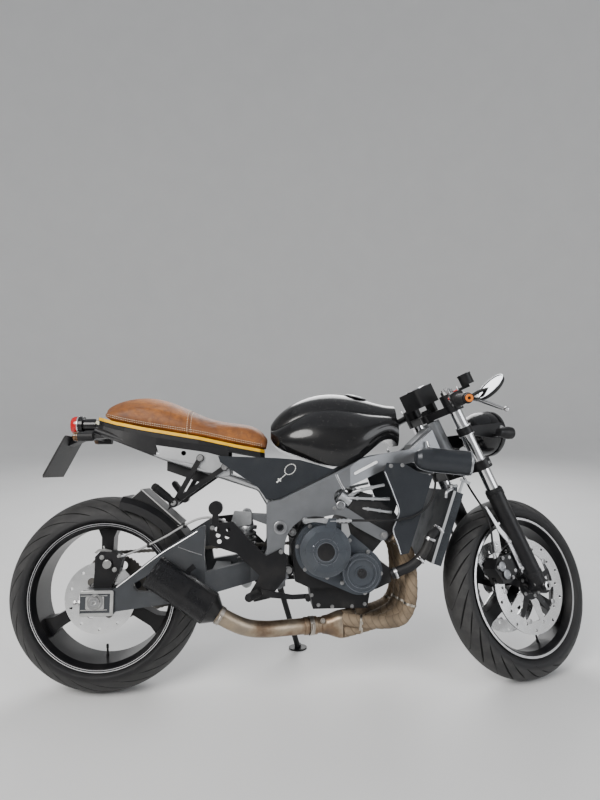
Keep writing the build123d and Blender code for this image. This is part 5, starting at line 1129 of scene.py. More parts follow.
steerForward = np.array([cos(machine["rake"]), 0, sin(machine["rake"])])
steerAlong = np.array([-sin(machine["rake"]), 0, cos(machine["rake"])])
steerBase = (np.array([machine["wheelbase"], 0, machine["frontRadius"]]) - machine["forkOffset"] * steerForward) / mm


def forkToMachine(point):
    # a point on the fork, in the measure of the upright machine with straight wheels
    return steerBase + point[0] * steerForward + np.array([0, point[1], 0]) + point[2] * steerAlong


def ribbon(points, half):
    # an outline round a line of points, each with its own half width
    points, half = np.asarray(points, float), np.asarray(half, float)
    way = np.gradient(points, axis=0)
    way /= np.linalg.norm(way, axis=1, keepdims=True)
    side = np.stack([-way[:, 1], way[:, 0]], 1) * half[:, None]
    return np.concatenate([points + side, (points - side)[::-1]])


def roundedBox(width, height, corner, steps=6):
    # the outline of a rectangle with round corners
    corners = []
    for sideX, sideY, start in ((1, 1, 0), (-1, 1, 90), (-1, -1, 180), (1, -1, 270)):
        turn = np.radians(np.linspace(start, start + 90, steps))
        corners.append(np.stack([sideX * (width / 2 - corner) + corner * np.cos(turn),
                sideY * (height / 2 - corner) + corner * np.sin(turn)], 1))
    return np.concatenate(corners)


def pill(half, radius):
    # the outline of a bar with round ends
    ends = ((half, np.radians(np.linspace(-90, 90, 9))), (-half, np.radians(np.linspace(90, 270, 9))))
    return np.concatenate([np.stack([middle + radius * np.cos(a), radius * np.sin(a)], 1) for middle, a in ends])


bar = {"root": (30.0, -105.0, 685.3), "end": (-106.0, -312.0, 671.3), "grip": 118.0}
barRoot, barEnd = np.array(bar["root"]), np.array(bar["end"])
barLength = np.linalg.norm(barEnd - barRoot)
barWay = (barEnd - barRoot) / barLength
barSide = unit(np.cross(toTop, barWay))
barUp = np.cross(barWay, barSide)
barPlace = placeOf(barRoot, barSide, barUp, barWay)


def onBar(x, y, z):
    return moved(np.array([x, y, z], float), barPlace)


def barShift(along, x=0.0, y=0.0):
    made = barPlace.copy()
    made[:3, 3] = onBar(x, y, along)
    return made


gripStart = barLength - bar["grip"] - 2
grips = Heap()
along = np.linspace(0, bar["grip"], 181)
ridge = 15.0 + 0.95 * (np.sin(along * 2 * pi / 6.4) > -0.2) * (along > 9) * (along < 109)
ridge[along < 3.5], ridge[(along >= 3.5) & (along < 7)] = 20.5, 17.5
ridge[along > 114] = 17.0
grips.lathe([(11.06, 0), *zip(ridge, along), (11.06, bar["grip"]), (11.06, 0)], barShift(gripStart), 40)
gripPiece = grips.mirror().piece("ribbed_grips", "fork", "black_rubber", sharp=25)
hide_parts("hand_grips")

switches = Heap()
for start, thick in ((gripStart - 34.3, 16.4), (gripStart - 17.1, 16.4)):
    switches.slab(roundedBox(43.5, 49.5, 11), thick, barShift(start), 1.6)
switches.slab(roundedBox(16, 26, 4), 20, barShift(gripStart - 27, -14, -12), 1.5)
switches.mirror().piece("switch_blocks", "fork", "black_plastic")
buttons = Heap()
for y, along in ((12, 9), (-2, 24), (-14, 12)):
    buttons.lathe([(0, -2), (4.6, -2), (4.6, 2.4), (4.0, 3.2), (0, 3.4)],
            aimed(onBar(-21.5, y, gripStart - along), -barPlace[:3, 0]), 20)
buttons.mirror().piece("switch_buttons", "fork", "black_plastic", moulded("greyButtons", (0.10, 0.10, 0.105), 0.4,
        grain=1200))
redSwitch = Heap()
redSwitch.slab(roundedBox(13, 8, 2), 4.5, aimed(onBar(4, 23.5, gripStart - 12), barPlace[:3, 1]), 1.0)
redSwitch.lathe([(0, 0), (3.6, 0), (3.6, 3), (3, 4), (0, 4)], aimed(onBar(-20.8, 10, gripStart - 27),
        -barPlace[:3, 0]), 18)
redSwitch.piece("stop_switch", "fork", "black_plastic", moulded("redSwitch", (0.55, 0.015, 0.01), 0.35, grain=900,
        dust=0.05))

levers = {"perch": barLength - bar["grip"] - 34 - 26, "tip": (18.0, -318.0, 589.3), "ball": 9.0}
leverHeap = Heap()
leverHeap.lathe([(11.06, 0), (17, 0), (17.5, 1), (17.5, 21), (17, 22), (11.06, 22), (11.06, 0)],
        barShift(levers["perch"]), 36)
leverHeap.slab(roundedBox(33, 25, 6), 22, barShift(levers["perch"], 22, -6), 1.5)
leverHeap.bolt(onBar(34, -8, levers["perch"] + 11) + barPlace[:3, 1] * 12, barPlace[:3, 1], 6, 4, 12)
for shift in (5.5, 16.5):
    leverHeap.bolt(onBar(-17, 0, levers["perch"] + shift), -barPlace[:3, 0], 3.2, 3, 12)
rootPoint, tipPoint = onBar(34, -8, levers["perch"] + 14), np.array(levers["tip"])
drop = tipPoint - rootPoint
blade = np.stack([rootPoint + drop * t for t in (0.0, 0.12, 0.3, 0.5, 0.7, 0.86, 0.96)])
blade += np.outer([0, 2.0, 4.0, 3.2, 0.0, -2.2, -1.0], barPlace[:3, 1])
bladePath = curveThrough(blade, 48)
share = np.linspace(0, 1, 48)
bladeHalf = np.interp(share, [0, 0.08, 0.2, 0.5, 0.85, 1], [9.0, 10.5, 8.6, 8.0, 6.2, 4.8])
leverHeap.tube(bladePath, bladeHalf, 18, flat=(0.62, 1.0))
turn = np.linspace(0, pi, 15)
leverHeap.lathe([(levers["ball"] * 0.93 * sin(a), -levers["ball"] * 0.93 * cos(a)) for a in turn],
        aimed(tipPoint, drop), 28)
leverPiece = leverHeap.mirror().piece("shaped_levers", "fork", "polished_steel")
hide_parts("hand_levers")
master = Heap()
master.lathe([(0, 0), (10.5, 0), (11.5, 1), (11.5, 44), (9, 47), (0, 47)],
        aimed(onBar(30, -4, levers["perch"] - 46), barWay), 30)
master.lathe([(0, 0), (4, 0), (4, 26), (3.4, 27), (0, 27)], aimed(onBar(30, 4, levers["perch"] - 30), barPlace[:3, 1]),
        16)
master.bolt(onBar(30, -4, levers["perch"] - 46), -barWay, 6.5, 6, 6)
master.mirror().piece("lever_cylinders", "fork", "silver_bracket")

ends = Heap()
ends.lathe([(5.2, 0), (10.8, 0), (11.8, 1.2), (11.8, 5), (10.8, 6.2), (5.2, 6.2), (4.6, 5), (4.6, 1), (5.2, 0)],
        barShift(barLength + 14.2), 40)
ends.mirror().piece("bar_end_rings", "fork", "black_plastic", moulded("orangeRing", (0.62, 0.17, 0.02), 0.25,
        grain=1500, depth=0.08, dust=0.05))

glassRound = {"centre": forkToMachine(barEnd + 0.3 * barWay) + np.array([34.0, -60.0, 22.0]), "across": 43.0,
        "high": 54.0,
              "way": unit((0.72, 0, -0.69))}
mirrorFrame = placeOf(glassRound["centre"], toLeft, np.cross(glassRound["way"], toLeft), glassRound["way"])


def ovalTurned(heap, profile, place, across, high, steps=64):
    # like a lathe, but each ring is an oval: the profile gives share of the size and depth
    profile = np.asarray(profile, float)
    turn = np.linspace(0, 2 * pi, steps, endpoint=False)[:, None]
    grid = np.stack([profile[:, 0] * across * np.cos(turn), profile[:, 0] * high * np.sin(turn),
                     np.broadcast_to(profile[:, 1], (steps, len(profile)))], -1)
    return heap.grid(grid, place, closeRows=True)


shells = Heap()
ovalTurned(shells, [(0, 2.0), (0.93, 2.0), (0.94, 0.2), (0.99, 0.0), (1.0, 1.5), (0.99, 6), (0.95, 10), (0.86, 13.2),
        (0.6, 14.0), (0, 14.0)],
           mirrorFrame, glassRound["across"], glassRound["high"])
armStart = forkToMachine(onBar(0, 0, barLength + 10))
armEnd = glassRound["centre"] + glassRound["way"] * 8
armPath = curveThrough([armStart, armStart + (armEnd - armStart) * 0.45 + np.array([0, -3, 6.0]), armEnd], 16)
shells.tube(armPath, np.linspace(5.6, 4.4, 16), 14)
shells.rod(7.9, 30, aimed(forkToMachine(onBar(0, 0, barLength - 29.5)), forkToMachine(barWay) - steerBase), 20)
shells.lathe([(0, 0.3), (13, 0.3), (14, 1.5), (14, 12.5), (13, 14), (0, 14)],
        aimed(forkToMachine(onBar(0, 0, barLength)), forkToMachine(barWay) - steerBase), 32)
shellPiece = shells.mirror().piece("mirror_shells", "steered", "black_plastic")
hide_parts("mirrors")
glassHeap = Heap()
ovalTurned(glassHeap, [(0, 1.0), (0.4, 1.15), (0.93, 1.6), (0.93, 2.4), (0, 2.4)], mirrorFrame, glassRound["across"],
        glassRound["high"])
ovalTurned(glassHeap, [(0.955, -0.4), (1.0, -0.2), (1.004, 0.8), (0.99, 1.6), (0.955, 0.9), (0.955, -0.4)],
        mirrorFrame, glassRound["across"], glassRound["high"])
glassHeap.mirror().piece("mirror_glass", "steered", "polished_steel",
        chromed("mirrorGlass", (0.30, 0.31, 0.33), 0.03, 0.0))

cup = {"x": 52, "y": -188, "top": 743, "circle": 16}
lids = Heap()
for step in range(3):
    turn = 2 * pi * step / 3 + 0.4
    lids.bolt((cup["x"] + cup["circle"] * cos(turn), cup["y"] + cup["circle"] * sin(turn), cup["top"]), toTop, 2.4,
            1.6, 12, False)
lids.lathe([(0, 0), (11, 0), (11, 0.8), (10, 1.4), (0, 1.4)], aimed((cup["x"], cup["y"], cup["top"]), toTop), 30)
lids.piece("cup_lid_screws", "fork", "satin_black", blackBolt)
print("stage: handlebars")

# Fork: seals, bright bands, caps, the stay behind the right leg and the axle's pinch bolts

forkLeg = (30, -105)
fork = Heap()
fork.lathe([(21.6, 338.4), (28.6, 338.4), (29.6, 340), (29.6, 346), (27.4, 349), (25.2, 352.5), (21.6, 353),
        (21.6, 338.4)], aimed((*forkLeg, 0), toTop), 48)
fork.lathe([(28.1, 40), (29.0, 41), (29.0, 52), (28.1, 53), (28.1, 40)], aimed((*forkLeg, 0), toTop), 48)
fork.mirror().piece("fork_seals", "fork", "black_rubber")
bands = Heap()
for up, radius, high in ((579.4, 26.7, 4.0), (549.2, 26.7, 3.4), (456, 24.2, 2.4)):
    bands.lathe([(21.6, 0), (radius, 0), (radius + 0.6, 0.7), (radius + 0.6, high - 0.7), (radius, high), (21.6, high),
            (21.6, 0)],
                aimed((*forkLeg, up), toTop), 48)
bands.lathe([(0, 0), (15.5, 0), (16.5, 1), (16.5, 4), (0, 4)], aimed((*forkLeg, 716.2), toTop), 6)
bands.lathe([(0, 0), (5.6, 0), (5.6, 5), (4.6, 6), (2.2, 6), (2.2, 4), (0, 4)], aimed((*forkLeg, 720), toTop), 20)
bands.mirror().piece("fork_bands", "fork", "polished_steel", castMetal("brightBand", (0.74, 0.74, 0.75), 0.2,
        stain=0.1))

stay = {"line": [(-33, 312), (-30, 290), (-24.5, 250), (-20.9, 224), (-12, 198), (-4.6, 175), (-5.0, 130), (-5.3, 80)],
        "half": [3.0, 5.0, 6.5, 7.5, 8.5, 9.5, 8.0, 9.0], "lane": -100.0, "thick": 4.5}
stayHeap = Heap()
smoothLine, smoothHalf = curveThrough(stay["line"], 40), np.interp(np.linspace(0, 7, 40), range(8), stay["half"])
stayHeap.slab(ribbon(smoothLine, smoothHalf), stay["thick"], sidePlane(stay["lane"]), 0.8)
lower = np.array([point for point in smoothLine if point[1] < 168 and point[1] > 90])
stayHeap.slab(ribbon(lower, np.full(len(lower), 4.6)), 1.2, sidePlane(stay["lane"] - stay["thick"]), 0.4)
for spot in ((-4.6, 175.1), (-5.3, 80.7)):
    stayHeap.bolt((spot[0], stay["lane"] - stay["thick"], spot[1]), toRight, 5.4, 5, 12)
    stayHeap.rod(7.5, 14, aimed((spot[0] + 3, stay["lane"] + 9, spot[1]), toRight), 24)
stayHeap.piece("fork_stay", "fork", "silver_bracket", castMetal("stayAluminium", (0.66, 0.66, 0.67), 0.28, stain=0.2,
        scratch=0.4))

caliper = Heap()
for forward, up in ((-77, 122), (-72, 92)):
    caliper.lathe([(0, 0), (15, 0), (15.5, 0.6), (15.5, 3.4), (13, 4.6), (11, 4.6), (10, 3.4), (4.6, 3.4), (4, 4.2),
            (0, 4.2)],
                  aimed((forward, -98.8, up), toRight), 30)
caliper.mirror().piece("caliper_caps", "fork", "satin_black", castMetal("caliperCaps", (0.22, 0.225, 0.235), 0.35,
        stain=0.5))
caliperBolts = Heap()
for forward, up in ((-28, 130), (-28, 84)):
    caliperBolts.bolt((forward, -92, up), toRight, 6.4, 5.5, 6)
for forward, up in ((-58, 142), (-52, 72), (-92, 126)):
    caliperBolts.bolt((forward, -98.4, up), toRight, 4.4, 4, 12)
caliperBolts.lathe([(0, 0), (3.6, 0), (3.6, 4), (2.4, 5), (2.4, 11), (3.2, 12), (3.2, 14), (0, 15)],
        aimed((-68, -80, 148), (-0.2, 0, 1)), 14)
caliperBolts.mirror().piece("caliper_bolts", "fork", "polished_steel", boltSteel)

pinch = Heap()
for up in (-14, 14):
    pinch.bolt((forkLeg[0] - 22, forkLeg[1] - 8, up + 2), toRear, 4.6, 5, 12)
for up in (440.0, 653.0):
    pinch.bolt((forkLeg[0] + 4, forkLeg[1] - 31.5, up), toRight, 4.6, 4, 12)
pinch.mirror().piece("fork_pinch_bolts", "fork", "polished_steel", boltSteel)
axleNuts = Heap()
axleNuts.lathe([(7, 0), (13, 0), (13.5, 0.8), (13.5, 2.2), (12, 3), (7.2, 3), (6.6, 2), (6.6, 0.6), (7, 0)],
        aimed((0, -140.2, 0), toRight), 36)
axleNuts.mirror().piece("front_axle_rings", "front_axle", "polished_steel")
print("stage: fork")

# Engine: bolts, the clutch's arm and adjuster, plugs, fuel rail and clamps

# forward and up of the covers' middles
engine = {"clutch": (701, 457), "pickup": (813, 388), "generator": (800, 392)}


def onCover(name, y):
    # a point on the axis of a round cover
    return (engine[name][0], y, engine[name][1])


engineBolts = Heap()
for centre, radius, count, first in ((engine["clutch"], 85, 7, 70), (engine["pickup"], 66, 5, -150)):
    for step in range(count):
        turn = radians(first + 360 * step / count)
        engineBolts.bolt((centre[0] + radius * cos(turn), -166, centre[1] + radius * sin(turn)), toRight, 4.8, 4, 6)
for x, z in ((690, 268), (735, 262), (800, 262), (842, 268), (668, 300)):
    engineBolts.bolt((x, -70.4, z), toRight, 4.6, 4.5, 6)
for step in range(8):
    turn = radians(22.5 + 45 * step)
    engineBolts.bolt((engine["generator"][0] + 59 * cos(turn), 188, engine["generator"][1] + 59 * sin(turn)), toLeft,
            4.6, 4, 6)
for x, z in ((616, 370), (616, 452), (704, 460), (704, 382), (664, 359)):
    engineBolts.bolt((x, 149, z), toLeft, 4.6, 4, 6)
engineBolts.piece("engine_bolts", "root", "polished_steel", boltSteel)

cover = Heap()
# fine raised lines on the clutch's dome, a groove round its boss and a ring on the bevel
for radius, y, high in ((76.5, -204.6, 0.9), (38.5, -217.9, 0.8), (28, -221.9, 0.7)):
    cover.lathe([(radius - 1.6, -0.4), (radius - 1.2, high * 0.8), (radius - 0.5, high), (radius + 0.5, high),
            (radius + 1.2, high * 0.8),
                 (radius + 1.6, -0.4), (radius - 1.6, -0.4)], aimed(onCover("clutch", y), toRight), 90)
for radius in (11.5, 44, 56.5):
    cover.lathe([(radius - 1.4, -0.3), (radius - 1.0, 0.8), (radius + 1.0, 0.8), (radius + 1.4, -0.3),
            (radius - 1.4, -0.3)],
                aimed(onCover("pickup", -196 - (5 if radius < 50 else 0)), toRight), 80)
for turn in (35, 155, 275):
    way = np.array([cos(radians(turn)), 0, sin(radians(turn))])
    cover.tube(np.array(onCover("clutch", -218.2)) + way * 40 + np.outer([0, 0.5, 1], way * 35 + (0, 13.2, 0)), 1.3, 8)
for radius, y in ((48, 187.9), (26, 192.9), (14, 192.9)):
    cover.lathe([(radius - 1.5, -0.4), (radius - 1.1, 0.9), (radius + 1.1, 0.9), (radius + 1.5, -0.4),
            (radius - 1.5, -0.4)], aimed(onCover("generator", y), toLeft), 80)
cover.piece("cover_rings", "root", "cover_grey", castMetal("coverEdges", (0.20, 0.215, 0.24), 0.26, stain=0.2))
cap = Heap()
cap.lathe([(0, -2), (26, -2), (26.6, 0.2), (25.8, 1.6), (20, 2.2), (0, 2.4)],
        aimed(onCover("clutch", -221.9), toRight), 72)
cap.piece("clutch_cap", "root", "engine_black", finishes["satin_black"])
hexPlug = Heap()
hexPlug.lathe([(0, 0), (15, 0), (15, 2), (11, 2.6), (0, 2.6)], aimed(onCover("pickup", -200.8), toRight), 36)
hexPlug.lathe([(0, 0), (9.5, 0), (9.5, 5), (8.2, 6), (0, 6)], aimed(onCover("pickup", -203), toRight), 6)
hexPlug.lathe([(0, 0), (12, 0), (12, 4), (10, 6), (6.5, 6), (6, 3), (0, 3)], aimed((642, -160, 545), toRight), 30)
hexPlug.piece("engine_plugs", "root", "engine_black", blackBolt)

arm = Heap()
armPoints = [(640, 549), (668, 551), (700, 549), (724, 547), (742, 548)]
arm.slab(ribbon(curveThrough(armPoints, 24), np.interp(np.linspace(0, 4, 24), range(5), [7, 5, 8, 5.5, 4])), 5,
        sidePlane(203), 1.0)
arm.lathe([(0, 0), (9, 0), (9.6, 1), (9.6, 30), (8, 33), (0, 33)], aimed((641, -176, 549), toRight), 30)
arm.bolt((641, -209, 549), toRight, 5.5, 5, 6)
arm.bolt((700, -208, 549), toRight, 5, 4, 6)
arm.rod(4.2, 26, aimed((716, -206, 548), toFront), 18)
for shift in (0, 12, 26):
    arm.rod(7.2, 5, aimed((744 + shift, -206, 548.5), toFront), 6)
arm.lathe([(0, 0), (5.2, 0), (5.2, 36), (3.8, 39), (0, 39)], aimed((744, -206, 548.5), toFront), 20)
bracket = [(752, 540), (772, 540), (780, 506), (768, 492), (752, 500)]
arm.slab(bracket, 4, sidePlane(196), 0.8)
arm.bolt((764, -200, 502), toRight, 4.8, 4, 6)
arm.piece("clutch_arm", "root", "silver_bracket")

rail = Heap()
# the fuel rail and its four injector bodies, the balance tubes and the throttle spindle's levers
rail.tube(curveThrough([(806, -120, 640), (806, -60, 642), (806, 60, 642), (806, 120, 640)], 20), 6.5, 14)
for y in (-90, -40, 40, 90):
    rail.lathe([(0, 0), (8, 0), (8, 10), (6, 12), (6, 26), (0, 26)], aimed((806, y, 644), (0.75, 0, -0.65)), 20)
# three bright rails in the window on this side, joined by a plate on the cylinder block
windowRails = {"upper": [(800, -136, 632), (828, -140, 640), (862, -141, 647), (902, -139, 655)],
               "middle": [(774, -136, 614), (812, -141, 613), (862, -142, 611), (918, -139, 609)],
               "lower": [(812, -136, 584), (846, -141, 579), (884, -142, 573), (924, -139, 567)]}
for side in (-1, 1):
    for points in windowRails.values():
        rail.tube(curveThrough([(x, y * -side, z) for x, y, z in points], 20), 5.4, 14)
        for x, y, z in points[1:3]:
            rail.rod(7.2, 7, aimed((x - 3.5, y * -side, z), (1, 0, -0.05)), 18)
    rail.slab(ribbon([(812, 636), (786, 618), (796, 598), (820, 578)], [6, 8, 8, 6]), 5, sidePlane(132, side), 1)
    rail.rod(6, 26, aimed((800, side * 108.0, 596), (0, side, 0)), 18)
rail.piece("throttle_rails", "root", "silver_bracket")

clamps = Heap()


def clampRing(heap, centre, way, radius, wide=9, screw=(0, -1, 0)):
    # a worm-drive band with its screw housing
    aim = aimed(centre, way)
    heap.lathe([(radius, -wide / 2), (radius + 0.9, -wide / 2), (radius + 0.9, wide / 2), (radius, wide / 2),
            (radius, -wide / 2)], aim, 48)
    for edge in (-wide / 2, wide / 2 - 1):
        heap.lathe([(radius + 0.5, edge), (radius + 1.5, edge), (radius + 1.5, edge + 1), (radius + 0.5, edge + 1),
                (radius + 0.5, edge)], aim, 48)
    out = unit(np.asarray(screw, float) - unit(way) * np.dot(screw, unit(way)))
    spot = np.asarray(centre, float) + out * (radius + 3.4)
    across = np.cross(unit(way), out)
    heap.lathe([(0, -7), (3.8, -7), (4.2, -6), (4.2, 5), (3.4, 5), (3.4, 9), (4.6, 9.6), (4.6, 12.5), (0, 13)],
            aimed(spot, across), 16)


for centre, way in (((1070, -148.5, 510), (0.8, 0.3, 0.5)), ((1040, -158, 484), (0.35, 0.02, 0.93)),
        ((1006, -158, 422), (0.7, 0.0, 0.72)),
                    ((930, -148.5, 379), (0.9, -0.1, 0.37))):
    clampRing(clamps, centre, way, 16.6)
clamps.piece("hose_clamps", "root", "polished_steel", castMetal("clampSteel", (0.60, 0.60, 0.61), 0.26, stain=0.3))
print("stage: engine")

# Rear shock: a wound spring on its body, with collars

shock = {"x": 455.0, "spring": (364, 140), "turns": 7.5, "coil": 27.5, "wire": 5.4}
spring = Heap()
where = np.linspace(0, 1, 260)
pace = shock["turns"] * 2 * pi * where
springPath = np.stack([shock["x"] + shock["coil"] * np.cos(pace), shock["coil"] * np.sin(pace),
                       shock["spring"][0] + shock["spring"][1] * where], 1)
spring.tube(springPath, shock["wire"], 12)
springPiece = spring.piece("shock_spring", "root", "silver_bracket",
        paintedMetal("springPaint", (0.055, 0.057, 0.060), 0.3, dust=0.3, coat=0.3))
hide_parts("shock_absorber")
damper = Heap()
up = aimed((455, 0, 0), toTop)
damper.lathe([(0, 330), (12, 330), (14, 338), (33.5, 345), (34, 347), (34, 352), (30, 356), (9, 358), (8.6, 420),
        (20, 421), (21.6, 423), (21.6, 516),
              (33.6, 512), (34, 508), (34, 518), (33, 520), (24, 521), (18, 550), (0, 552)], up, 48)
for z in (509, 514):
    for step in range(10):
        turn = 2 * pi * step / 10
        damper.rod(2.2, 1, aimed((455 + 33.6 * cos(turn), 33.6 * sin(turn), z), (cos(turn), sin(turn), 0)), 10)
damper.slab(roundedBox(36, 36, 6), 30, aimed((455, 0, 520), toTop), 2)
for z, radius, reach in ((560, 17, 20), (333, 18, 12)):
    bore = 6.1 if z > 500 else 0.0
    eye = [(bore, -reach), (radius - 1, -reach), (radius, -reach + 1), (radius, reach - 1), (radius - 1, reach),
            (bore, reach)]
    # the upper eye has a bore through it, so its outline comes back to where it began
    damper.lathe(eye + eye[:1] if bore else eye, aimed((455, 0, z), toLeft), 36)
damper.piece("shock_body", "root", "silver_bracket")
drilledPlate = Heap()
drilledPlate.slab([(416, 571), (469, 566), (472, 562), (472, 529), (468, 525), (406, 515), (401, 519), (412, 568)], 5,
        sidePlane(30), 1.0)
drilledPlate.rod(7, 16, aimed((445, -15, 530), toRight), 20)
for x, z in ((430, 556), (462, 552), (418, 527)):
    drilledPlate.bolt((x, -35, z), toRight, 5, 4, 12)
drilledPlate.piece("shock_plate", "root", "silver_bracket")
print("stage: shock")

# Swingarm: ribbed axle blocks, adjusters, nuts and lines


def shifted(outline, x, z):
    return np.asarray(outline, float) + (x, z)


block = {"face": 152.0, "sunk": 0.2}
blockHeap = Heap()
for side in (-1, 1):
    upper = sidePlane(block["face"] - block["sunk"], side)
    # bright flanges above and below a dark slot, a rib down the front and the carrier round the nut
    for z, high in ((340, 9), (274, 9)):
        blockHeap.slab(shifted(roundedBox(96, high, high * 0.4, 4), 3, z), 5.0, upper, 1.2)
    blockHeap.slab(shifted(roundedBox(10, 74, 3, 4), 50, 307), 6.0, upper, 1.2)
    blockHeap.slab(shifted(roundedBox(56, 38, 5), -1, 308), 3.4, upper, 1.0)
    for z in (329, 287):
        blockHeap.slab(shifted(roundedBox(80, 2.2, 1.0, 3), -4, z), 2.4, upper, 0.4)
    for x in (-24, -20, 18, 22):
        blockHeap.slab(shifted(roundedBox(1.4, 30, 0.6, 3), x, 308), 4.0, upper, 0.2)
blockHeap.piece("axle_blocks", "root", "swingarm_grey", castMetal("blockAluminium", (0.60, 0.60, 0.585), 0.30,
        stain=0.35, scratch=0.5))
adjusters = Heap()
for side in (-1, 1):
    spot = np.array([-46.0, side * 136.0, 307.0])
    adjusters.lathe([(0, 0), (4, 0), (4, 22), (3.4, 23), (0, 23)], aimed(spot, toRear), 16)
    adjusters.rod(8.5, 6, aimed(spot + (-1.5, 0, 0), toRear), 6)
    adjusters.lathe([(0, 0), (7, 0), (7, 6), (6, 7), (0, 7)], aimed(spot + (-16, 0, 0), toRear), 6)
    adjusters.slab(shifted(roundedBox(8, 60, 3), -46, 307), 10, sidePlane(131, side), 1)
    adjusters.lathe([(10.2, 0), (15, 0), (16, 1), (16, 2.6), (10.2, 2.6), (10.2, 0)],
            aimed((0, side * 161.2, 311), (0, side, 0)), 36)
    adjusters.ring(19, 24, 0, 1.8, aimed((0, side * 155.6, 311), (0, side, 0)), 36)
adjusters.piece("chain_adjusters", "root", "polished_steel", boltSteel)

armLines = Heap()
for side in (-1, 1):
    y = side * 149.3
    armLines.tube(curveThrough([(62, y, 352), (125, y, 399), (189, y, 447), (250, y, 484), (305, y, 517)], 40), 2.0, 8)
    armLines.tube(curveThrough([(246, y, 470), (283, y, 456), (320, y, 444)], 14), 1.5, 8)
armLines.piece("arm_edge_lines", "root", "swingarm_grey", castMetal("armEdge", (0.50, 0.50, 0.51), 0.3, stain=0.3))
print("stage: swingarm")

# Frame: the bright inlay in the spar, its paleness a painted reflection, weld line, rings, bolts and plugs

sparAlong, sparOut = unit((250, 60, 0)), unit((60, -250, 0))
sparFace = placeOf((790, -152, 0) - sparOut * 2.9, sparAlong, np.cross(sparOut, sparAlong), sparOut)
for side in (-1, 1):
    inlay = Heap()
    lean = radians(25.5)
    along, across = pill(42, 4.6).T
    spun = np.stack([along * cos(lean) - across * sin(lean), along * sin(lean) + across * cos(lean)], 1) + (55, 711)
    inlay.slab(spun, 3.3, sparFace, 0.7)
    if side > 0:
        inlay.points = [np.concatenate(inlay.points) * (1, -1, 1)]
    # the inlay's near-white, barely metallic grey is a painted reflection of the pale ground
    inlay.piece("spar_inlay_" + ("right" if side < 0 else "left"), "root", "frame_aluminium",
            paintedMetal("inlayPaintedReflection", (0.74, 0.74, 0.74), 0.26, dust=0.05, metal=0.25))
welds = Heap()
for x in (0, 5.5):
    bead = curveThrough([(741 + x, -152.2, 690), (753 + x, -152.2, 664), (765 + x, -152.2, 642)], 60)
    bead[:, 1] += 0.25 * np.sin(np.linspace(0, 60 * pi, 60))
    welds.tube(bead, 1.5 if x else 0.9, 8)
welds.mirror().piece("frame_welds", "root", "frame_aluminium", castMetal("weldMetal", (0.58, 0.58, 0.59), 0.3,
        stain=0.2))

frameBits = Heap()
frameBits.lathe([(11.2, 0), (20, 0), (20.6, 0.6), (20.6, 1.6), (19, 2.2), (12.6, 2.2), (11.2, 1.0), (11.2, 0)],
        aimed((564, -155, 525), toRight), 48)
frameBits.lathe([(9, 0), (13.5, 0), (14, 0.8), (14, 3), (12.5, 4), (9.6, 4), (9, 3), (9, 0)],
        aimed((757, -153.3, 592), toRight), 36)
frameBits.rod(9, 2, aimed((757, -153.3, 592), toRight), 30)
frameBits.lathe([(12, 0), (21, 0), (21.5, 0.6), (21.5, 1.6), (12, 2.4), (12, 0)], aimed((545, -155, 400), toRight), 48)
frameBits.mirror().piece("frame_rings", "root", "frame_aluminium", castMetal("ringGrey", (0.34, 0.345, 0.355), 0.3,
        stain=0.3))
frameBolts = Heap()
frameBolts.lathe([(0, -30), (9.8, -30), (9.8, 1.5), (8.8, 2.4), (6, 2.4), (5.6, -4), (0, -4)],
        aimed((545, -155, 400), toRight), 30)
for x, y, z, r in ((893, 157.3, 497, 8), (737, 153.3, 583, 5), (604, 118, 507, 9), (590, 118, 388, 9),
        (918, 174, 716, 5), (955, 174, 718, 5)):
    frameBolts.bolt((x, -y, z), toRight, r, r * 0.75, 6 if r > 6 else 12)
for x, z in ((307, 746), (386, 716)):
    frameBolts.bolt((x, -121.1, z), toRight, 7.5, 6, 12)
frameBolts.bolt((229, -152.2, 606), toRight, 6.5, 5, 12)
for x, z in ((566, 452), (520, 330), (352, 528)):
    frameBolts.bolt((x, -161.5, z), toRight, 5.4, 5, 12)
frameBolts.bolt((498, -167.6, 330), toRight, 7.5, 6, 6)
frameBolts.mirror().piece("frame_bolts", "root", "polished_steel", boltSteel)

# a pale bead along each shroud's rear edge: a painted highlight where the curved edge catches the light
shroudHighlight = Heap()
edgeLine = [(941, 440), (931, 474), (918.6, 512), (929, 542), (939, 575), (921, 632), (896, 698)]
shroudHighlight.tube(curveThrough([(x + 1.5, -172.5, z) for x, z in edgeLine], 90), 2.4, 10)
shroudHighlight.mirror().piece("shroud_edge_highlights", "root", "gunmetal", paintedMetal("shroudEdgeHighlight", (0.36, 0.37, 0.385), 0.22,
        dust=0.1, metal=0.7, coat=0.3))

scoopAhead = unit((1, 0, -0.1))
scoopMouth = placeOf((1174, -187, 722), toRight, np.cross(scoopAhead, toRight), scoopAhead)
scoopTrim = Heap()
ovalTurned(scoopTrim, [(0.885, -3.0), (0.90, 0.9), (0.95, 1.5), (1.005, 0.9), (1.012, -1.0), (1.012, -5.5),
        (1.0, -6.0), (0.885, -3.0)], scoopMouth, 29, 39, 80)
ridgeLine = np.array([(0, 39.3, -4), (0, 38.9, -60), (0, 38.2, -130), (0, 32.4, -163), (0, 24.4, -175)])
scoopTrim.tube(moved(curveThrough(ridgeLine, 40), scoopMouth), 1.4, 8)
scoopTrim.mirror().piece("scoop_rims", "root", "gunmetal", paintedMetal("scoopRim", (0.30, 0.31, 0.325), 0.24,
        dust=0.1, metal=0.7, coat=0.3))
grille = Heap()
for index in range(-5, 6):
    high = index * 6.4
    half = 25.5 * sqrt(max(0, 1 - (high / 35.5) ** 2))
    if half > 3:
        grille.tube(moved(np.array([(-half, high, -46), (0, high, -46), (half, high, -46)]), scoopMouth), 0.8, 6)
for index in range(-4, 5):
    wide = index * 5.6
    half = 35.0 * sqrt(max(0, 1 - (wide / 25.8) ** 2))
    if half > 3:
        grille.tube(moved(np.array([(wide, -half, -47), (wide, 0, -47), (wide, half, -47)]), scoopMouth), 0.8, 6)
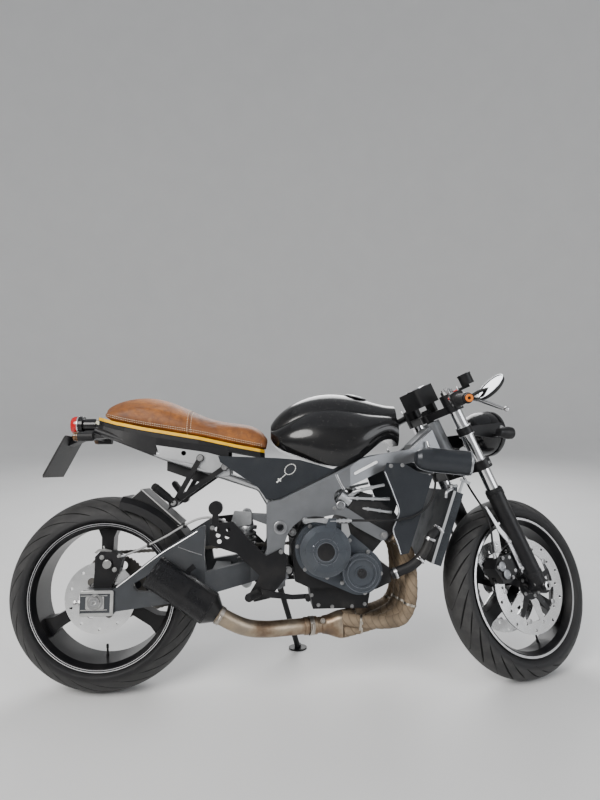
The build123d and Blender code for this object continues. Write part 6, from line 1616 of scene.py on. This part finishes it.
grille.mirror().piece("scoop_grilles", "root", "satin_black", blackBolt)
print("stage: frame")

# Radiator: fin packs, bright rear edges and its cap

radiator = {"foot": (1040.0, 410.0), "head": (1122.0, 636.0), "half": 165.0}
coreUp = unit(np.array(radiator["head"]) - radiator["foot"])
coreFront = np.array([coreUp[1], -coreUp[0]])
coreLength = float(np.hypot(*(np.array(radiator["head"]) - radiator["foot"])))


def onCore(front, y, up):
    spot = np.array(radiator["foot"]) + coreFront * front + coreUp * up
    return np.array([spot[0], y, spot[1]])


coreFrame = placeOf(onCore(26.2, 0, 0), toLeft, (coreUp[0], 0, coreUp[1]), (coreFront[0], 0, coreFront[1]))
fins = Heap()
for row in range(17):
    # flat tubes across the core with a folded fin between each pair
    up = 10 + row * 13.4
    fins.slab(shifted(roundedBox(276, 3.0, 0.6, 3), 0, up), 1.6, coreFrame, 0.3)
    if row < 16:
        zig = np.arange(-136, 136.1, 4.0)
        line = np.stack([zig, np.where(np.arange(len(zig)) % 2, up + 2.2, up + 11.2), np.full_like(zig, 0.4)], 1)
        fins.tube(moved(line, coreFrame), 0.5, 4)
fins.piece("radiator_fins", "root", "radiator_core", castMetal("finMetal", (0.20, 0.21, 0.23), 0.4, stain=0.5))
tankEdges = Heap()
for side in (-1, 1):
    plane = sidePlane(radiator["half"] + 3.2, side)
    outline = [onCore(f, 0, u)[[0, 2]] for f, u in ((-0.5, 0), (7.5, 0), (7.5, coreLength), (-0.5, coreLength))]
    tankEdges.slab(outline, 2.2, plane, 0.6)
tankEdges.piece("radiator_edges", "root", "radiator_core", castMetal("radiatorEdge", (0.66, 0.67, 0.68), 0.3,
        stain=0.3))
cap = Heap()
cap.lathe([(0, 0), (17, 0), (18, 1), (18, 6), (16.5, 8), (9, 9), (0, 9.4)], aimed((1134, -120, 645), toTop), 12)
cap.slab(roundedBox(46, 12, 5), 4, aimed((1134, -120, 650.4), toTop), 1)
neckLine = curveThrough([(1128, -132, 640), (1120, -146, 638), (1104, -152, 630), (1100, -152, 612)], 20)
cap.tube(neckLine, 6, 14)
bracketPoints = [(1150, 671), (1166, 664), (1182, 657)]
cap.slab(ribbon(bracketPoints, [4, 4, 5]), 5, sidePlane(150), 1)
cap.slab(ribbon([(1160, 668), (1152, 646), (1142, 622)], [4, 4, 6]), 5, sidePlane(150), 1)
cap.bolt((1145, -155, 630), toRight, 4.5, 4, 6)
cap.piece("radiator_cap", "root", "silver_bracket")
print("stage: radiator")

# Exhaust: wrapped header pipes, collector, clamps and the silencer's rings

exhaust = {"radius": 19.0, "spacing": 80.0, "pitch": 24.0, "lap": 1.5, "port": (925.3, 0.0, 498.4),
        "away": (0.809, 0.0, -0.588)}
pipeEnds = [(-1.5, -1, 1), (-0.5, -1, -1), (0.5, 1, -1), (1.5, 1, 1)]


def softLine(points, count):
    # a quadratic B-spline with fixed ends: each inner point pulls the stretch between two middles
    points = np.asarray(points, float)
    middle = (points[:-1] + points[1:]) / 2
    starts = np.vstack([points[:1], middle[1:-1]])
    ends = np.vstack([middle[1:-1], points[-1:]])
    controls = points[1:-1]
    where = np.linspace(0, len(controls), count)
    span = np.minimum(where.astype(int), len(controls) - 1)
    t = (where - span)[:, None]
    return (1 - t) ** 2 * starts[span] + 2 * t * (1 - t) * controls[span] + t**2 * ends[span]


def wrappedPipe(heap, path, settings, steps=30):
    # the tape's spiral: each turn starts proud of the last and sinks along its width
    length = np.concatenate([[0], np.cumsum(np.linalg.norm(np.diff(path, axis=0), axis=1))])
    way = np.gradient(path, axis=0)
    way /= np.linalg.norm(way, axis=1, keepdims=True)
    side = np.tile((0.0, 1.0, 0.0), (len(path), 1))
    side -= way * (side * way).sum(1, keepdims=True)
    side /= np.linalg.norm(side, axis=1, keepdims=True)
    other = np.cross(way, side)
    turn = np.linspace(0, 2 * pi, steps, endpoint=False)[None]
    phase = (length[:, None] / settings["pitch"] - turn / (2 * pi)) % 1
    radius = settings["radius"] - 0.4 + settings["lap"] * np.where(phase < 0.12, phase / 0.12,
            1 - 0.75 * (phase - 0.12) / 0.88)
    grid = path[:, None] + side[:, None] * (radius * np.cos(turn))[..., None] + other[:,
            None] * (radius * np.sin(turn))[..., None]
    heap.capped(grid)


wrapped, flanges = Heap(), Heap()
port, away = np.array(exhaust["port"]), unit(exhaust["away"])


def headerPath(startSide, endSide, endLevel):
    # where a pipe leaves the head and its line down to the collector, in even steps
    y = startSide * exhaust["spacing"]
    inlet = port + (0, y, 0) + away * 0.3
    route = [inlet, port + (0, y, 0) + away * 66, (988, y, 372), (984, y, 262), (928, y, 208),
             (762, -75 + endSide * 19.7, 209 + endLevel * 19.7)]
    return inlet, evenly(softLine(route, 400), 2.4)


for ends in pipeEnds:
    inlet, path = headerPath(*ends)
    wrappedPipe(wrapped, path[6:], exhaust)
    flanges.rod(18.6, 22, aimed(inlet, away), 36)
    flanges.slab(pill(19, 21.5) * (0.97, 1), 8, placeOf(inlet, toLeft, np.cross(away, toLeft), away), 1.2)
    for shift in (-27, 27):
        flanges.rod(3.2, 10, aimed(inlet + (0, shift, 0) + away * 8, away), 12)
        flanges.lathe([(0, 0), (6.4, 0), (6.4, 5.5), (5.6, 6), (0, 6)], aimed(inlet + (0, shift, 0) + away * 8, away),
                6)
wrapPiece = wrapped.piece("wrapped_headers", "root", "wrapped_pipe", sharp=60)
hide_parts("exhaust_header")
flanges.piece("header_flanges", "root", "wrapped_pipe", finishes["steel"])
steelBands = Heap()
for ends in pipeEnds:
    # tie bands near both ends of each pipe's wrap, their knots on the outer side
    side, path = (-1 if ends[0] < 0 else 1), headerPath(*ends)[1]
    for index in (12, len(path) // 2, len(path) - 26):
        aim = aimed(path[index], path[index + 1] - path[index])
        steelBands.ring(20.2, 21.0, -3.5, 3.5, aim, 40)
        steelBands.slab(roundedBox(7, 9, 1.5, 3), 3, aimed(path[index] + (0, 20.8 * side, 0), (0, side, 0)), 0.5)
steelBands.piece("wrap_bands", "root", "wrapped_pipe", castMetal("bandSteel", (0.52, 0.47, 0.40), 0.3, stain=0.5))

collector = Heap()
sections = []
for t in np.linspace(0, 1, 26):
    ease = t * t * (3 - 2 * t)
    size, corner = 78 + (56 - 78) * ease, 19 + (27.9 - 19) * ease
    outline = roundedBox(size, size, corner, 10)
    middle = np.array([764 - 64 * t, -75 - 4 * ease, 209])
    sections.append(np.column_stack([np.full(len(outline), middle[0]), middle[1] + outline[:, 0],
            middle[2] + outline[:, 1]]))
collector.capped(np.array(sections))
silencer = {"outlet": np.array([181.0, -208.0, 410.0]), "inlet": np.array([350.0, -208.0, 297.0]), "radius": 50.0}
canWay = unit(silencer["inlet"] - silencer["outlet"])
neckPoint = silencer["inlet"] + canWay * 52
linkRoute = [(702, -79, 209), (600, -96, 208), (520, -140, 214), (456, -192, 234), tuple(neckPoint),
        tuple(silencer["inlet"] + canWay * 30)]
linkPath = softLine(linkRoute, 120)
collector.tube(linkPath, 24.9, 40)
for spot, radius in ((4, 27.4), (9, 27.0)):
    aim = aimed(linkPath[spot], linkPath[spot + 1] - linkPath[spot])
    collector.lathe([(24, -6), (radius, -6), (radius + 0.8, -5), (radius + 0.8, 5), (radius, 6), (24, 6), (24, -6)],
            aim, 48)
collector.piece("exhaust_collector", "root", "wrapped_pipe", finishes["steel"])
exhaustClamps = Heap()
clampRing(exhaustClamps, linkPath[6], linkPath[7] - linkPath[6], 28.4, 14)
clampRing(exhaustClamps, linkPath[-6], linkPath[-7] - linkPath[-6], 27.2, 12)
exhaustClamps.bolt((700, -108.5, 228), (0, -1, 0.2), 6, 12, 6)
exhaustClamps.piece("exhaust_clamps", "root", "wrapped_pipe", castMetal("exhaustClamp", (0.46, 0.42, 0.37), 0.34,
        stain=0.6))

can = Heap()
canAim = aimed(silencer["outlet"], canWay)
can.lathe([(26.2, 4), (29, 0.5), (33, -1.0), (46, -1.0), (50.3, 1.2), (50.8, 4), (50.8, 11), (50.1, 12), (50.05, 3),
        (26.2, 7), (26.2, 4)], canAim, 80)
length = float(np.linalg.norm(silencer["inlet"] - silencer["outlet"]))
for start in (22.0, length - 10):
    can.lathe([(50.05, 0), (50.9, 0.6), (50.9, 6.4), (50.05, 7), (50.05, 0)],
            aimed(silencer["outlet"] + canWay * start, canWay), 80)
for step in range(8):
    turn = 2 * pi * step / 8 + 0.2
    aim = canAim[:3, 0] * cos(turn) + canAim[:3, 1] * sin(turn)
    for start in (8.0, length - 3):
        can.lathe([(0, 0), (3.2, 0), (2.6, 1.4), (1.2, 2.0), (0, 2.1)],
                aimed(silencer["outlet"] + canWay * start + aim * 50.6, aim), 12)
can.piece("silencer_rings", "root", "silencer_black")
strap = Heap()
strap.ring(50.1, 51.6, -10, 10, aimed(silencer["outlet"] + canWay * (length * 0.56), canWay), 80)
strapSpot = silencer["outlet"] + canWay * (length * 0.56)
strap.slab(ribbon([(strapSpot[0], strapSpot[2] + 40), (strapSpot[0] + 10, strapSpot[2] + 58),
        (strapSpot[0] + 26, strapSpot[2] + 70)], [9, 8, 9]), 4, sidePlane(178), 1)
strap.piece("silencer_strap", "root", "satin_black")
baffle = Heap()
baffle.lathe([(17, 0), (25.8, 0), (25.8, 112), (17, 112), (17, 110), (24.4, 110), (24.4, 2), (17, 2), (17, 0)],
        aimed(silencer["outlet"] + canWay * 6, canWay), 60)
baffle.piece("silencer_mouth", "root", "silencer_black", finishes["steel"])
print("stage: exhaust")

# Tail: lamp with red lens, blank plate, indicators and lugs, the lugs pale as a painted highlight

tail = Heap()
tailAim = aimed((-98, 0, 862), toRear)
tail.lathe([(0, -44), (20, -44), (22, -42), (22, 0), (29.5, 0.4), (31, 2), (31, 15), (29.6, 16), (29, 14), (0, 14)],
        tailAim, 72)
tailPiece = tail.piece("tail_lamp_shell", "root", "lamp_red", finishes["lamp_black"])
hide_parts("tail_lamp")
red = Heap()
red.lathe([(0, 13), (29.2, 13), (29.2, 16.2), (30.2, 16.6), (30.4, 26), (29.6, 33), (26, 37.4), (18, 39.4), (8, 39.9),
        (0, 40)], tailAim, 72)
red.lathe([(24.5, 38.0), (25.5, 39.6), (26.8, 38.4), (26.4, 36.9), (24.5, 38.0)], tailAim, 72)
red.piece("tail_lamp_lens", "root", "lamp_red")
band = Heap()
band.lathe([(29.8, 15.4), (31.3, 15.4), (31.6, 16), (31.6, 19.4), (31, 20), (29.8, 20), (29.8, 15.4)], tailAim, 72)
band.piece("tail_lamp_band", "root", "lamp_red", castMetal("tailBand", (0.70, 0.70, 0.70), 0.2, stain=0.1))

plateSlope = unit((-64, 0, -127))
facing = np.cross(toRight, -plateSlope)
plateMiddle = np.array([-128.0, 0, 822.0]) + plateSlope * 75
plateFrame = placeOf(plateMiddle, toRight, -plateSlope, facing)
plateFace = placeOf(plateMiddle + facing * 0.1, toRight, -plateSlope, facing)
blank = Heap()
blank.slab(roundedBox(180, 141, 9), 1.6, plateFace, 0.4)
blank.piece("blank_plate", "root", "silver_bracket", moulded("blankPlate", (0.62, 0.62, 0.60), 0.35, grain=700,
        depth=0.08, dust=0.25))
surround = Heap()
outerRing, innerRing = roundedBox(189, 149, 11), roundedBox(178, 138, 8)
ringGrid = np.stack([np.column_stack([line, np.full(len(line), high)]) for line, high in
                     ((innerRing, 0.1), (innerRing, 3.4), (outerRing, 3.4), (outerRing, 0.0), (innerRing, 0.05))])
surround.grid(ringGrid, plateFrame, closeColumns=True)
for x, y in ((-45, 48), (45, 48)):
    surround.bolt(moved(np.array([x, y, 1.7]), plateFrame), facing, 4.2, 3, 12)
surround.piece("plate_frame", "root", "black_plastic")
reflector = Heap()
reflector.slab(shifted(roundedBox(44, 17, 4), 0, -62), 4.5, plateFace, 1.2)
reflector.piece("plate_reflector", "root", "lamp_red", moulded("redReflector", (0.50, 0.01, 0.01), 0.12, grain=420,
        depth=0.5, dust=0.05))
rearLenses = Heap()
for side in (-1, 1):
    rearLenses.lathe([(0, 0), (14.4, 0), (14.8, 2), (14, 7), (9, 10.5), (0, 11.6)],
            aimed((-86, side * 118, 817), toRear), 36)
    rearLenses.lathe([(0, -0.2), (15.7, -0.2), (15.7, 3.0), (15.1, 3.6), (0, 3.6)],
            aimed((-84, side * 118, 817), toFront), 36)
rearLenses.piece("rear_indicator_lenses", "root", "black_plastic", moulded("smokedRear", (0.10, 0.045, 0.012), 0.12,
        grain=300, depth=0.35, dust=0.05))
# pale lugs at the seat's rear tip: a painted highlight where the tail's edge catches the light
tip = Heap()
tip.slab(ribbon([(-52, 872), (-38, 862), (-22, 853)], [5, 6, 5]), 6, sidePlane(24), 1.5)
tip.slab(ribbon([(-36, 856), (-20, 847)], [3, 3]), 8, sidePlane(30), 1.0)
tip.piece("seat_tip_lug_highlight", "root", "black_plastic", moulded("lugPaintedHighlight", (0.55, 0.55, 0.40), 0.45, grain=900))
print("stage: tail")

# Instruments: a round dial on the box's top, and the tank's filler

gauge = {"middle": (-2, 0), "level": 763, "marks": 41, "pitch": 6.5, "pointing": 2.3}
dial = Heap()
dialAim = aimed((*gauge["middle"], gauge["level"]), toTop, pi / 2)
dial.lathe([(33, -1), (37, -1), (38, 0), (38, 2.2), (36.5, 3.2), (34, 2.4), (33, 0.6), (33, -1)], dialAim, 72)
dial.piece("dial_ring", "fork", "polished_steel")
face = Heap()
face.lathe([(0, -1), (33.4, -1), (33.4, 0.5), (0, 0.5)], dialAim, 60)
face.piece("dial_face", "fork", "black_plastic", moulded("dialBlack", (0.012, 0.012, 0.013), 0.4, grain=1800,
        depth=0.05, dust=0.0))
marks = Heap()
for step in range(gauge["marks"]):
    turn = radians(-130 + step * gauge["pitch"])
    long = 7 if step % 5 == 0 else 3.6
    way = np.array([cos(turn), sin(turn), 0])
    place = placeOf(np.array([*gauge["middle"], gauge["level"] + 0.5]) + way * (31.5 - long / 2), way,
            np.cross(toTop, way), toTop)
    marks.slab(roundedBox(long, 0.9 if step % 5 else 1.5, 0.2, 2), 0.25, place)
marks.piece("dial_marks", "fork", "black_plastic", moulded("dialMarks", (0.75, 0.75, 0.72), 0.4, grain=900, depth=0.05))
needle = Heap()
heading = (cos(gauge["pointing"]), sin(gauge["pointing"]), 0)
needlePlace = placeOf((*gauge["middle"], gauge["level"] + 1), heading, np.cross(toTop, heading), toTop)
needle.slab([(-7, -1.1), (27, -0.35), (27, 0.35), (-7, 1.1)], 0.5, needlePlace)
needle.lathe([(0, 0), (4.2, 0), (4.2, 1.6), (3.4, 2.2), (0, 2.2)], aimed((*gauge["middle"], gauge["level"] + 0.9),
        toTop), 24)
needle.piece("dial_needle", "fork", "black_plastic", moulded("needleOrange", (0.70, 0.16, 0.02), 0.4, grain=900,
        depth=0.05))

tankSkin = surfaceOf(frame["nodes"]["fuel_tank"])
spots, normals = metAlong(tankSkin, [(835, 0, 1300)], [(0, 0, -1)], rootPlace)
filler = Heap()
aim = aimed(spots[0], normals[0])
filler.lathe([(0, -2), (39, -2), (40.5, 0.4), (40.5, 2.0), (39, 3.0), (31, 3.2), (30, 2.0), (29.4, 2.0), (28.8, 4.2),
        (27.5, 5.0), (8, 5.4), (0, 5.4)], aim, 72)
for step in range(6):
    turn = 2 * pi * step / 6
    spot = moved(np.array([35 * cos(turn), 35 * sin(turn), 3.0]), aim)
    filler.bolt(spot, normals[0], 2.6, 2.0, 12, False)
filler.slab(roundedBox(15, 20, 4), 2.0, aimed(spots[0] + normals[0] * 5.0, normals[0]), 0.6)
filler.piece("tank_filler", "root", "silver_bracket")
print("stage: instruments and filler")

# Rubber on the pegs, and clips along the hoses

pegs = Heap()
pegWay = unit((-36, -80, 0))
for step in range(9):
    pegs.lathe([(11.0, 0), (12.6, 0.4), (12.8, 2.2), (12.6, 4.0), (11.0, 4.4), (11.0, 0)],
            aimed(np.array([500, -159.6, 330.0]) + pegWay * (22 + step * 6.6), pegWay), 30)
foldWay = unit((-50, -62, 52))
for step in range(9):
    pegs.lathe([(11.0, 0), (12.5, 0.4), (12.7, 2.4), (12.5, 4.4), (11.0, 4.8), (11.0, 0)],
            aimed(np.array([229, -139.7, 606.0]) + foldWay * (30 + step * 7), foldWay), 30)
for step in range(5):
    pegs.lathe([(7.0, 0), (8.2, 0.3), (8.4, 1.6), (8.2, 2.9), (7.0, 3.2), (7.0, 0)],
            aimed((646, -168 - 14 - step * 5.4, 317), toRight), 24)
pegs.mirror().piece("peg_rubbers", "root", "black_rubber")
clips = Heap()
for spot, way in (((150, -118, 472.5), (0.9, -0.12, 0.42)), ((262, -136, 534), (0.9, 0, 0.42))):
    clips.ring(3.55, 5.2, -4, 4, aimed(spot, way), 24)
    clips.slab(roundedBox(12, 9, 2), 2.5, aimed(np.array(spot) + (0, 4.6, -4), toLeft), 0.5)
for spot, way in (((860, -193, 546.2), (1, 0.05, 0)), ((935, -188.3, 547), (1, 0.04, 0.05))):
    clips.ring(3.55, 5.4, -3, 3, aimed(spot, way), 24)
clips.piece("hose_clips", "root", "black_plastic")
print("stage: pegs and clips")

# Hugger: pale edge along its fin, and the rear caliper's cap, bolts, pipe union and pads

finEdge = Heap()
for side in (-1, 1):
    finEdge.tube(np.array([(242.6, side * 69.0, 531.6), (177, side * 69.0, 589), (112.2, side * 69.0, 646)]), 2.0, 8)
    finEdge.tube(np.array([(237, side * 69.6, 527.6), (150, side * 69.6, 541), (62, side * 69.6, 600),
            (110, side * 69.6, 642)]), 1.2, 8)
finEdge.tube(np.array([(110.4, -70, 644.6), (110.4, 0, 644.6), (110.4, 70, 644.6)]), 2.3, 8)
finEdge.piece("hugger_edges", "root", "black_plastic", paintedMetal("finEdge", (0.42, 0.42, 0.42), 0.3, dust=0.2))
hub = Heap()
hub.lathe([(0, 0), (12.5, 0), (13.4, 1), (13.4, 4), (11.6, 5), (10.6, 3.6), (0, 3.6)],
        aimed((25, -125.8, 418), toRight), 48)
hub.bolt((6, -117.9, 438), toRight, 5.4, 5, 6)
hub.bolt((46, -117.9, 400), toRight, 5.4, 5, 6)
hub.rod(7, 5, aimed((58, -112, 441), toRight), 24)
hub.bolt((58, -116.8, 441), toRight, 5.6, 5, 6)
hub.lathe([(0, -2), (4.4, -2), (4.4, 6), (2.8, 7), (2.8, 15), (2.2, 16), (0, 16)], aimed((8, -96, 455), (-0.2, 0, 1)),
        14)
hub.rod(4.4, 4, aimed((8, -96, 455), (-0.2, 0, 1)), 6)
hub.slab([(-20, 452), (-8, 462), (14, 463), (34, 458), (33, 452), (10, 456), (-6, 455), (-14, 448)], 5, sidePlane(104),
        1)
hub.bolt((4, -116.2, 330), toRight, 5, 4, 6)
hub.piece("caliper_fittings", "root", "satin_black", castMetal("caliperFittings", (0.46, 0.46, 0.45), 0.32, stain=0.4))
pads = Heap()
for shift in (0, 9):
    pads.slab([(-12 + shift, 404), (-12 + shift, 398), (44 - shift, 394), (44 - shift, 400)], 2.4,
            sidePlane(89 + shift), 0.4)
pads.piece("brake_pads", "root", "satin_black", brass)

# a thin black skirt closes the space between the pan's edge, the rail and the bracket
skirtRows = {
    # x, half width and level of the pan's edge, then half width and level of the rail or bracket
    "rows": [(-40, 62, 860, 106.8, 830), (-12, 86, 853, 106.8, 819), (30, 98, 840, 106.8, 806),
        (60, 106, 834, 106.8, 795),
             (110, 109, 823, 106.8, 775), (164, 111, 813, 106.8, 756), (167, 111, 812.6, 108, 787.6),
             (240, 114, 800, 108, 777),
             (300, 116, 790, 108, 768.2), (352, 111, 780, 108, 758), (398, 106, 770, 108, 745)],
    "wall": 2.2,
}
skirt = Heap()
for side in (-1, 1):
    rows = np.array(skirtRows["rows"], float)
    x, panHalf, panLevel, railHalf, railLevel = rows.T
    corners = ((panHalf, panLevel), (railHalf, railLevel), (railHalf - skirtRows["wall"], railLevel),
               (panHalf - skirtRows["wall"], panLevel))
    rings = np.stack([np.stack([x, side * half, level], 1) for half, level in corners], 1)
    skirt.capped(rings)
skirt.piece("seat_skirts", "root", "black_plastic", sharp=20)
print("stage: trim")
